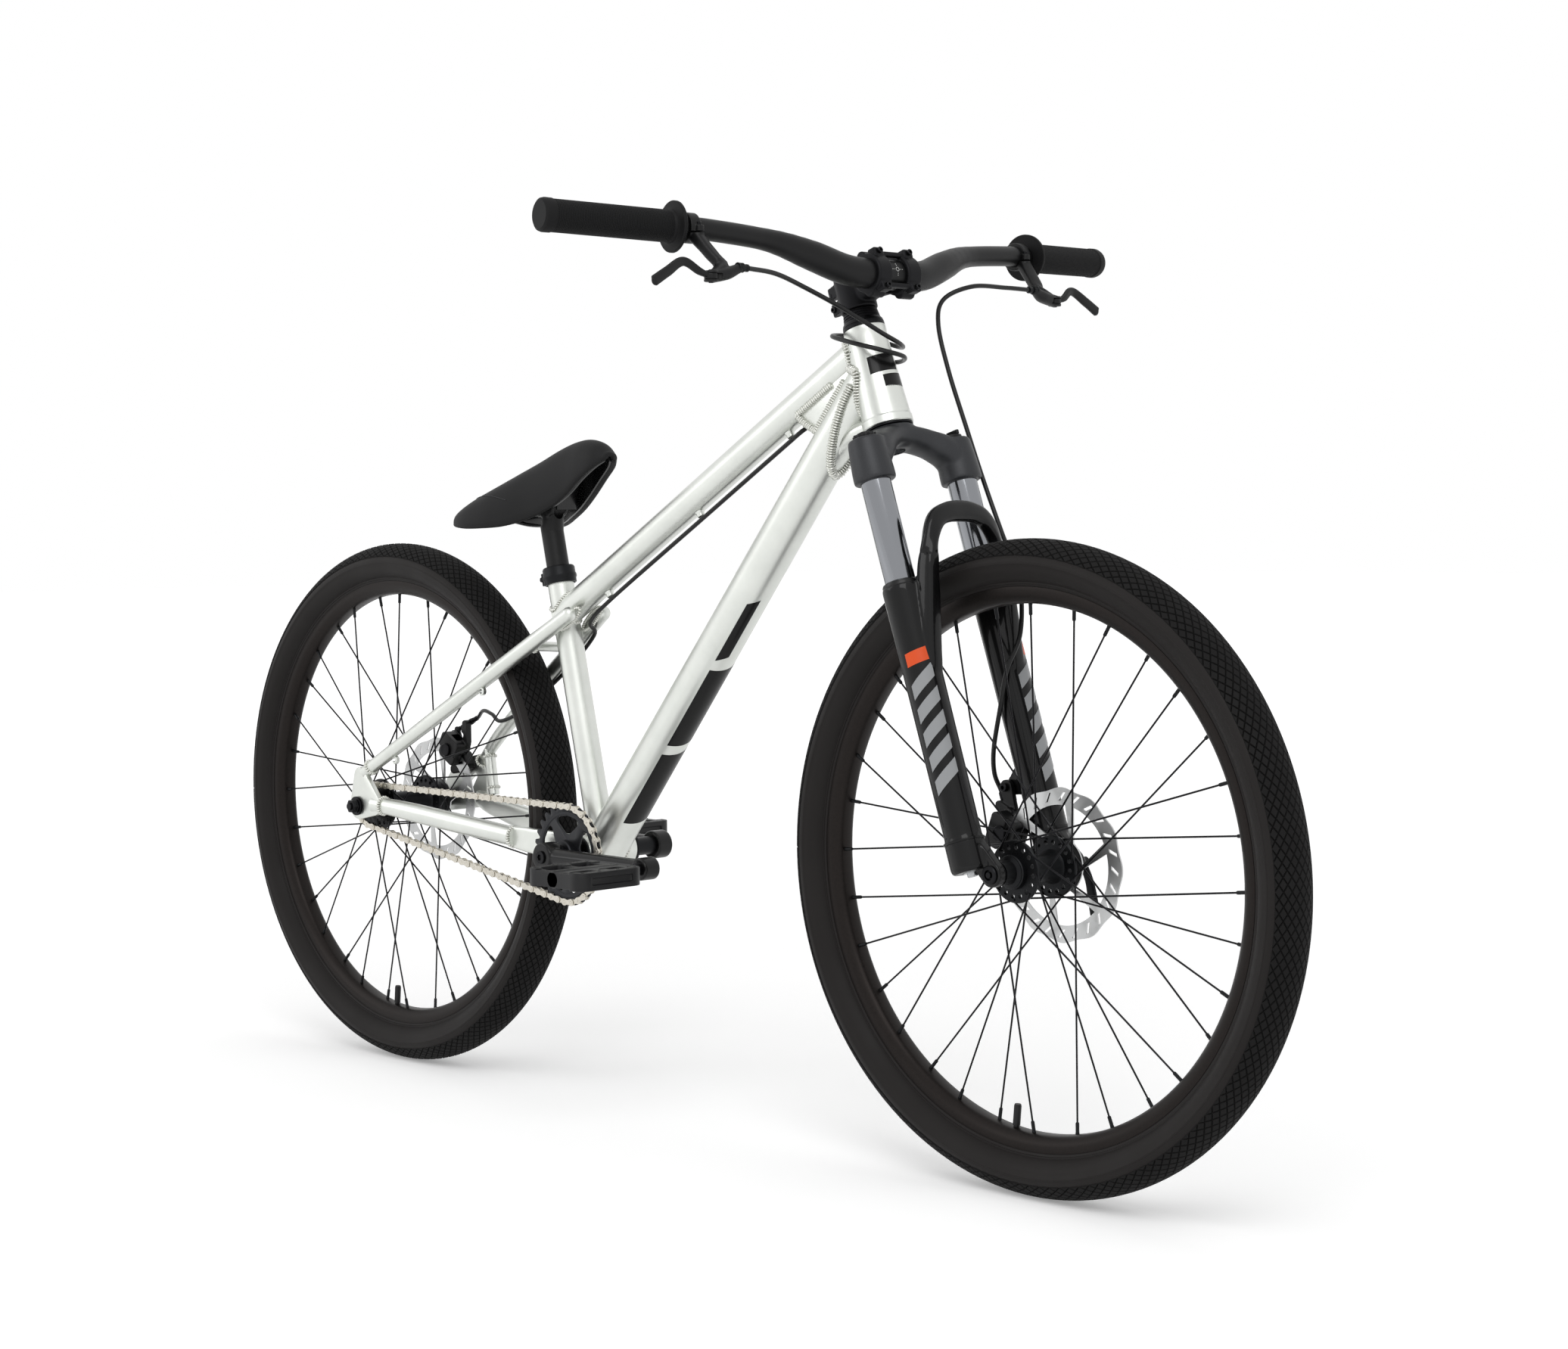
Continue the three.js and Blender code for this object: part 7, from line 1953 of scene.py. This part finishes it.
def make_seat_post():
    """The tube with its pivot drum at the top."""
    tube = rod(on_seat_tube(190), on_seat_tube(398), POST_RADIUS, steps=72)
    neck = rod(on_seat_tube(390), SADDLE_PIVOT - SEAT_DIRECTION * 0.004, POST_RADIUS, 13, 64)
    drum = moved(slug(16, -13, 13, 0.8, 72), at(SADDLE_PIVOT), ALONG_Y)
    head = melted([neck, drum], 0.7, 6)
    pocket = ball(12, SADDLE_PIVOT + mm(17, 0, -9), (0.75, 0.8, 0.75), 32)
    cut(head, [pocket])
    whole = joined([tube, head])
    fit(whole, "seatpost_tube", "seatpost", satin, ["seatpost"], smooth=50)


def make_seat_clamp():
    on_post = at(BOTTOM_BRACKET) @ Matrix.Rotation(atan2(SEAT_DIRECTION.x, SEAT_DIRECTION.z), 4, "Y")
    collar = turned(closed(
        (17.2, 325), (19, 325), (19.6, 325.6), (19.6, 330), (20.6, 332.4), (20.6, 334.6), (19.6, 337),
        (19.6, 343.6), (18.4, 345.5), (13.9, 345.5), (13.9, 341.4), (17.2, 341.4),
    ), 96)
    # The clamp's local X looks forward, so its ears stand at the back
    ears = [softened(plate(wrapped([[-16, y, 2.6], [-25, y, 3]]), 328, 343), 0.6) for y in (-4.2, 4.2)]
    whole = joined([collar, *ears])
    fit(moved(whole, on_post), "seat_clamp_collar", "frame", anodised, ["seat_clamp"],
        smooth=40)
    head = moved(socket_bolt(3.4, 3.4), at(mm(-23.1, 7.4, 335.25)), ALONG_Y)
    end = moved(slug(3, 0, 2.8, steps=32), at(mm(-23.1, -7.4, 335.25)), UPRIGHT)
    fit(moved(joined([head, end]), on_post), "seat_clamp_bolt", "frame", bolt_look)


make_cover()
make_stitches()
make_base()
make_seat_post()
make_seat_clamp()


# Brakes and their cables
# Sizes are measured from the wheel's axle; angle says where the pads sit round the disc

CENTRE_OUT = 77
ROTOR_RADIUS = 80
LOBES = (-15, 15)
FRONT_CALIPER = {
    "name": "front", "body": "fork_lowers", "angle": 140, "inner": 27.5, "outer": 58, "rotor": 42.5,
    "tip": (-14, 18), "stop": (-71.8, 60, 87), "way": (0, 0, -1),
    "ear": [[-63.8, 73, 5.5], [-71.8, 82, 4.5]],
    "bracket": [[-57.8, 97, 8], [-59, 61.5, 6]], "bracket_y": (51.9, 57.9),
    "bolts": [(-57.8, 97), (-61, 70)],
}
REAR_CALIPER = {
    "name": "rear", "body": "frame", "angle": 60, "inner": 38, "outer": 60, "rotor": 52,
    "tip": (-8, 24), "stop": (67, 62, 105), "way": (-0.92, 0, -0.38), "ear": [[57, 76, 7], [59, 100, 5]],
    "bracket": [[31, 40, 6], [57, 46, 6], [50, 58, 6]], "bracket_y": (53.6, 67.2),
    "bolts": [(31, 40), (57, 46)],
}
FRONT_PLACE = ON_FORK @ at(HUB_LINE)
REAR_PLACE = at(REAR_AXLE)


def caliper_body(spec):
    """Casting with its drum, pad housing, ear and bracket, drawn round the axle."""
    angle = radians(spec["angle"])
    x, z = cos(angle) * CENTRE_OUT, sin(angle) * CENTRE_OUT

    def across(a, b):
        """A place round the pads: a along the disc's edge, b away from the axle."""
        return (x - sin(angle) * a + cos(angle) * b, z + cos(angle) * a + sin(angle) * b)

    middle, outer, inner = spec["rotor"], spec["outer"], spec["inner"]
    deep = outer - middle
    outline = wrapped([[*across(a, b), 6.5] for a in (-11, 11) for b in (-10, 11)])
    core = side_plate(outline, inner + 3, outer - 5)
    outline = wrapped([[*across(a, b), 5] for a in (-13.5, 13.5) for b in (2, 13)])
    cheek = side_plate(outline, inner, outer - 2)
    drum = turned([(0, 0), (12.4, 0), (13.6, 1.2), (13.6, deep - 4), (0, deep - 4)], 40)
    moved(drum, at(mm(x, middle + 2, z)), ALONG_Y)
    cap = turned([(0, 0), (10, 0), (10.8, 0.8), (10.8, deep), (0, deep)], 40)
    moved(cap, at(mm(x, middle, z)), ALONG_Y)
    lobes = [side_plate(wrapped([[*across(a, 12), 6.5], [*across(a * 0.7, 4), 6]]), middle + 3, outer - 1)
             for a in LOBES]
    ear = side_plate(wrapped(spec["ear"]), outer - 8, outer)
    bracket = side_plate(wrapped(spec["bracket"]), *spec["bracket_y"])
    body = melted([core, cheek, drum, cap, *lobes, ear, bracket], 0.8, 5)
    groove = turned([(0, -1.6), (ROTOR_RADIUS + 2.5, -1.6), (ROTOR_RADIUS + 2.5, 1.6), (0, 1.6)], 128)
    moved(groove, at(mm(0, middle, 0)), ALONG_Y)
    corners = [[*across(a, b), 3] for a, b in ((-5, 9), (5, 9), (-4, 24), (4, 24))]
    window = side_plate(wrapped(corners), inner + 6, middle + 5)
    return cut_each(body, [groove, window]), across


def caliper_bolts(spec, across):
    """Mounting bolts, the two bolts that hold the halves, and the dial of the inner pad."""
    x, z = across(0, 0)
    outer = spec["outer"]
    # The rear bolts go in from outside, because the disc turns close to their other end
    outside = spec["name"] == "rear"
    foot = spec["bracket_y"][int(outside)]
    bolts = []
    for bolt_x, bolt_z in spec["bolts"]:
        turn = ALONG_Y if outside else UPRIGHT
        bolts.append(moved(socket_bolt(4.6, 4.6), at(mm(bolt_x, foot, bolt_z)), turn))
    for a in LOBES:
        lobe_x, lobe_z = across(a, 12)
        bolts.append(moved(socket_bolt(3.8, 3), at(mm(lobe_x, outer - 3.1, lobe_z)), ALONG_Y))
    dial = turned([(0, -3.4), (7.6, -3.4), (8.4, -2.6), (8.4, 0), (0, 0)], 40)
    bolts.append(moved(dial, at(mm(x, spec["inner"] + 0.4, z)), ALONG_Y))
    return joined(bolts)


def make_caliper(spec, place):
    """A caliper with its bolts, cable adjuster, boot, wire and pull arm."""
    name, rides = spec["name"], spec["body"]
    body, across = caliper_body(spec)
    fit(moved(body, place), f"{name}_caliper_casting", rides, cast_look,
        [f"{name}_caliper"], smooth=50)
    fit(moved(caliper_bolts(spec, across), place), f"{name}_caliper_bolts", rides, bolt_look)
    x, z = across(0, 0)
    stop, way = mm(*spec["stop"]), Vector(spec["way"]).normalized()
    sleeve = turned(closed(
        (1.4, 0), (3.3, 0), (3.6, 0.4), (3.6, 3.2), (2.9, 3.6), (2.9, 4.4), (4.1, 4.8), (4.1, 8.4),
        (3.4, 9), (3.4, 11.4), (1.4, 11.4),
    ), 32)
    fit(moved(sleeve, place, aimed(way, stop)), f"{name}_caliper_adjuster", rides, anodised)
    tip = mm(x + spec["tip"][0], spec["outer"] + 2, z + spec["tip"][1])
    boot = moved(bellows((tip - stop).length / MM), place, aimed(tip - stop, stop))
    fit(boot, f"{name}_cable_boot", rides, rubber_look)
    pull = (tip - stop).normalized()
    wire = rod(stop + pull * 0.009, tip + pull * 0.012, 0.7, steps=16)
    fit(moved(wire, place), f"{name}_cable_wire", rides, bright)
    make_caliper_arm(spec, place, x, z)


def bellows(reach):
    """A rubber boot with four folds, between the adjuster and the arm."""
    rows = [(0.7, 10.5), (3, 10.5), (3, 11.5)]
    step = (reach - 17.4) / 4
    for k in range(4):
        start = 11.6 + k * step
        rows += [(1.9, start + step * 0.25), (2.7, start + step * 0.75)]
    return turned(closed(*rows, (1.5, reach - 5.4), (0.7, reach - 5.2)), 24)


def make_caliper_arm(spec, place, x, z):
    """The arm that the cable pulls, with its nut and the cable's clamp."""
    low = spec["outer"] + 0.8

    def along_arm(share):
        return x + spec["tip"][0] * share, z + spec["tip"][1] * share

    tip = along_arm(1)
    arm = side_plate(wrapped([[x, z, 7.6], [*tip, 4.4]]), low, low + 3)
    slot = wrapped([[*along_arm(0.42), 1.8], [*along_arm(0.62), 1.5]])
    cut(arm, [side_plate(slot, low - 1, low + 4)])
    softened(arm, 0.5)
    nut = turned([(0, 0), (6.2, 0), (6.6, 0.4), (6.6, 2.6), (6, 3.2), (0, 3.2)], 6)
    moved(nut, at(mm(x, low + 3, z)), ALONG_Y)
    clamp = slug(3.6, -0.3, 5.4, steps=6)
    moved(clamp, at(mm(tip[0], low, tip[1])), ALONG_Y)
    whole = moved(joined([arm, nut, clamp]), place)
    node = f"{spec['name']}_caliper_arm"
    fit(whole, f"{spec['name']}_caliper_lever", node, anodised, [node], smooth=35)


def make_axle_lever():
    place = ON_FORK @ at(HUB_LINE + mm(0, 74.9, 0))
    cam = moved(slug(5, -6, 6, 0.4, 40), turn_y(90))
    blade = swept(local((0, 0, 0), (0, 3, -20), (0, 1, -40), (0, -1, -55)),
                  [[2.6, 4.5], [2.1, 5.2], [2, 6.3], [1.9, 6.6]], 28, 32, 0.7)
    whole = melted([cam, blade], 0.5, 3)
    fit(moved(whole, place), "front_axle_cam_lever", "front_axle_lever", anodised,
        ["front_axle_lever"], smooth=60)


# The stretch of the top tube that carries the rear cable
CABLE_SEAT = mm(-205, 0, 580.9)
CABLE_HEAD = mm(312, 0, 874.2)
CABLE_WAY = (CABLE_HEAD - CABLE_SEAT).normalized()
CABLE_DROP = Vector((CABLE_WAY.z, 0, -CABLE_WAY.x)) * 25.4 * MM


def cable_under(share):
    """A place on the rear cable under the top tube, 0 at the seat and 1 at the head."""
    return CABLE_SEAT.lerp(CABLE_HEAD, share) + CABLE_DROP


def make_cable(name, points, body):
    """A casing on a smooth line through its points, its section kept from twisting."""
    path = smooth_path(points, 220)
    rings = []
    for k, centre in enumerate(path):
        ahead = (path[min(k + 1, len(path) - 1)] - path[max(k - 1, 0)]).normalized()
        if k == 0:
            across = ahead.orthogonal().normalized()
        else:
            across = (across - ahead * across.dot(ahead)).normalized()
        upward = ahead.cross(across)
        turns = [TAU * n / 14 for n in range(14)]
        rings.append([centre + (across * cos(a) + upward * sin(a)) * 2.5 * MM for a in turns])
    piece = skinned(rings)
    fit(piece, f"{name}_casing", body, casing, [name], smooth=60)
    return piece


def ferrule(name, points, body):
    """The cap on the last end of a cable."""
    way = (points[-2] - points[-1]).normalized()
    cap = turned(closed((2.55, 0), (3.1, 0.2), (3.2, 1), (3.2, 7), (2.9, 7.8), (2.55, 8)), 24)
    fit(moved(cap, aimed(way, points[-1])), name, body, bolt_look)


def make_cables():
    """Front cable, the loop round the head tube, and the rear cable along the frame."""
    left_exit = BARREL + mm(0, -4.6, 0)
    stop = FRONT_PLACE @ mm(*FRONT_CALIPER["stop"])
    up = tilted(0, 0, 1)
    front = [
        left_exit, on_bar(9, 175, -5), on_bar(6, 125, -6), on_fork(36, 95, 138), on_fork(25, 89, 113),
        on_fork(23, 89, 61), on_fork(25, 92, -4), on_fork(30, 92, -66), on_fork(42, 86, -128),
        on_fork(66, 66, -190), on_fork(60, 55, -244), on_fork(40, 43, -278), on_fork(20, 41, -313),
        on_fork(-6, 45, -350), on_fork(-20, 52, -374), stop + up * 10, stop + up * 0.3,
    ]
    start = cable_under(0.747)
    loop = [
        mirrored(left_exit), on_bar(4, -165, -8), on_bar(-1, -120, -19), on_bar(3, -70, -38),
        on_fork(44, -25, 92), on_fork(39, 6, 82), on_fork(12, 34, 90), on_fork(-22, 27, 114),
        on_fork(-34, 0, 120), on_fork(-20, -29, 112), on_fork(12, -35, 92), on_fork(34, -18, 76),
        on_fork(34, 12, 70), on_fork(10, 31, 74), on_fork(-25, 29, 84), on_fork(-66, 25, 76),
        on_fork(-108, 16, 56), start + CABLE_WAY * 15 * MM, start + CABLE_WAY * 0.6 * MM,
    ]
    rear_stop = REAR_AXLE + mm(*REAR_CALIPER["stop"])
    back = mm(0.92, 0, 0.38)
    along = [
        start, cable_under(0.457), cable_under(0.143), mm(-168, 8, 572), mm(-184, 26, 555),
        mm(-258, 38, 507), mm(-336, 37, 460), mm(-384, 37, 443), mm(-410, 43, 450), mm(-440, 52, 453),
        rear_stop + back * 10, rear_stop + back * 0.3,
    ]
    front_cable = make_cable("front_brake_cable", front, None)
    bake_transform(front_cable)
    loop_cable = make_cable("rear_brake_cable_loop", loop, None)
    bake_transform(loop_cable)
    make_cable("rear_brake_cable", along, "frame")
    ferrule("front_cable_cap_low", front, "fork_lowers")
    ferrule("rear_cable_cap", along, "frame")


make_caliper(FRONT_CALIPER, FRONT_PLACE)
make_caliper(REAR_CALIPER, REAR_PLACE)
make_axle_lever()
make_cables()


# Studio

PHOTO_WIDTH = 2072
FOCAL_PIXELS = 3644.0
CAMERA_TURN = (46.638, -2.991, -0.677)
CAMERA_PLACE = mm(2385.18, -2086.43, 678.80)


def make_camera():
    """The camera that took the photograph, fitted to its two wheels."""
    data = bpy.data.cameras.new("camera")
    camera = bpy.data.objects.new("camera", data)
    scene = bpy.context.scene
    scene.collection.objects.link(camera)
    scene.camera = camera
    yaw, pitch, roll = (radians(angle) for angle in CAMERA_TURN)
    ahead = Vector((-sin(yaw) * cos(pitch), cos(yaw) * cos(pitch), sin(pitch)))
    right = ahead.cross(Vector((0, 0, 1))).normalized()
    up = right.cross(ahead)
    rolled = Matrix.Rotation(-roll, 3, ahead)
    right, up = rolled @ right, rolled @ up
    turn = Matrix((right, up, -ahead)).transposed().to_4x4()
    camera.matrix_world = at(CAMERA_PLACE) @ turn
    data.sensor_width = 36
    data.lens = data.sensor_width * FOCAL_PIXELS / PHOTO_WIDTH
    data.clip_end = 60


def background_rays(tree):
    """One for the camera and for what metal and glass mirror, zero for the light on the object."""
    path = add(tree, "ShaderNodeLightPath")
    seen = path.outputs["Is Camera Ray"]
    for ray in ("Is Glossy Ray", "Is Transmission Ray"):
        either = add(tree, "ShaderNodeMath", {"operation": "MAXIMUM"}, {0: seen, 1: path.outputs[ray]})
        seen = either.outputs[0]
    return seen


def make_floor():
    nothing()
    bpy.ops.mesh.primitive_plane_add(size=60, location=(0, 0, -0.0005))
    floor = made()
    floor.name = "floor"
    look = bpy.data.materials.new("white_studio_floor")
    look.use_nodes = True
    tree = look.node_tree
    shader = tree.nodes["Principled BSDF"]
    shader.inputs["Base Color"].default_value = (0.94, 0.94, 0.94, 1)
    shader.inputs["Roughness"].default_value = 0.9
    shader.inputs["Specular IOR Level"].default_value = 0.1
    # Seen or mirrored, the floor has a little light of its own, more of it far away, and ends in white
    place = tree.nodes.new("ShaderNodeTexCoord").outputs["Object"]
    reach = add(tree, "ShaderNodeVectorMath", {"operation": "LENGTH"}, {0: place}).outputs["Value"]
    glow = add(tree, "ShaderNodeMapRange", {"From Min": 1.3, "From Max": 5, "To Min": 0.26, "To Max": 0.5},
               {"Value": reach}).outputs["Result"]
    strength = add(tree, "ShaderNodeMath", {"operation": "MULTIPLY"}, {0: glow, 1: background_rays(tree)})
    own = add(tree, "ShaderNodeEmission", {}, {"Strength": strength.outputs[0]})
    both = add(tree, "ShaderNodeAddShader", {}, {0: shader.outputs[0], 1: own.outputs[0]})
    tree.links.new(both.outputs[0], tree.nodes["Material Output"].inputs["Surface"])
    floor.data.materials.append(look)


def make_lamp(name, place, target, size, power):
    data = bpy.data.lights.new(name, "AREA")
    data.shape = "RECTANGLE"
    data.size, data.size_y = size
    data.energy = power
    lamp = bpy.data.objects.new(name, data)
    bpy.context.scene.collection.objects.link(lamp)
    lamp.location = place
    lamp.rotation_euler = (Vector(target) - Vector(place)).to_track_quat("-Z", "Y").to_euler()


def make_world():
    """A plain sky: soft light on the object, white to the camera and in reflections."""
    world = bpy.data.worlds.new("studio")
    bpy.context.scene.world = world
    world.use_nodes = True
    tree = world.node_tree
    light = tree.nodes["Background"]
    light.inputs["Color"].default_value = (1, 1, 1, 1)
    up = add(tree, "ShaderNodeSeparateXYZ", {}, {0: add(tree, "ShaderNodeTexCoord").outputs["Generated"]})
    fall = add(tree, "ShaderNodeMapRange", {"From Min": 0, "From Max": 1, "To Min": 0.3, "To Max": 0.86},
               {"Value": up.outputs["Z"]})
    tree.links.new(fall.outputs["Result"], light.inputs["Strength"])
    white = add(tree, "ShaderNodeBackground", {"Color": (1, 1, 1, 1), "Strength": 1.0})
    mix = add(tree, "ShaderNodeMixShader", {}, {
        0: background_rays(tree), 1: light.outputs[0], 2: white.outputs[0],
    })
    tree.links.new(mix.outputs[0], tree.nodes["World Output"].inputs["Surface"])


make_camera()
make_floor()
make_lamp("key", (2.4, -2.2, 3.4), (0, 0, 0.4), (2.4, 2.4), 55)
make_lamp("fill", (-2.6, -3.0, 2.0), (0, 0, 0.5), (2.0, 2.0), 22)
make_world()
bpy.context.scene.view_settings.view_transform = "Standard"

bpy.context.view_layer.update()
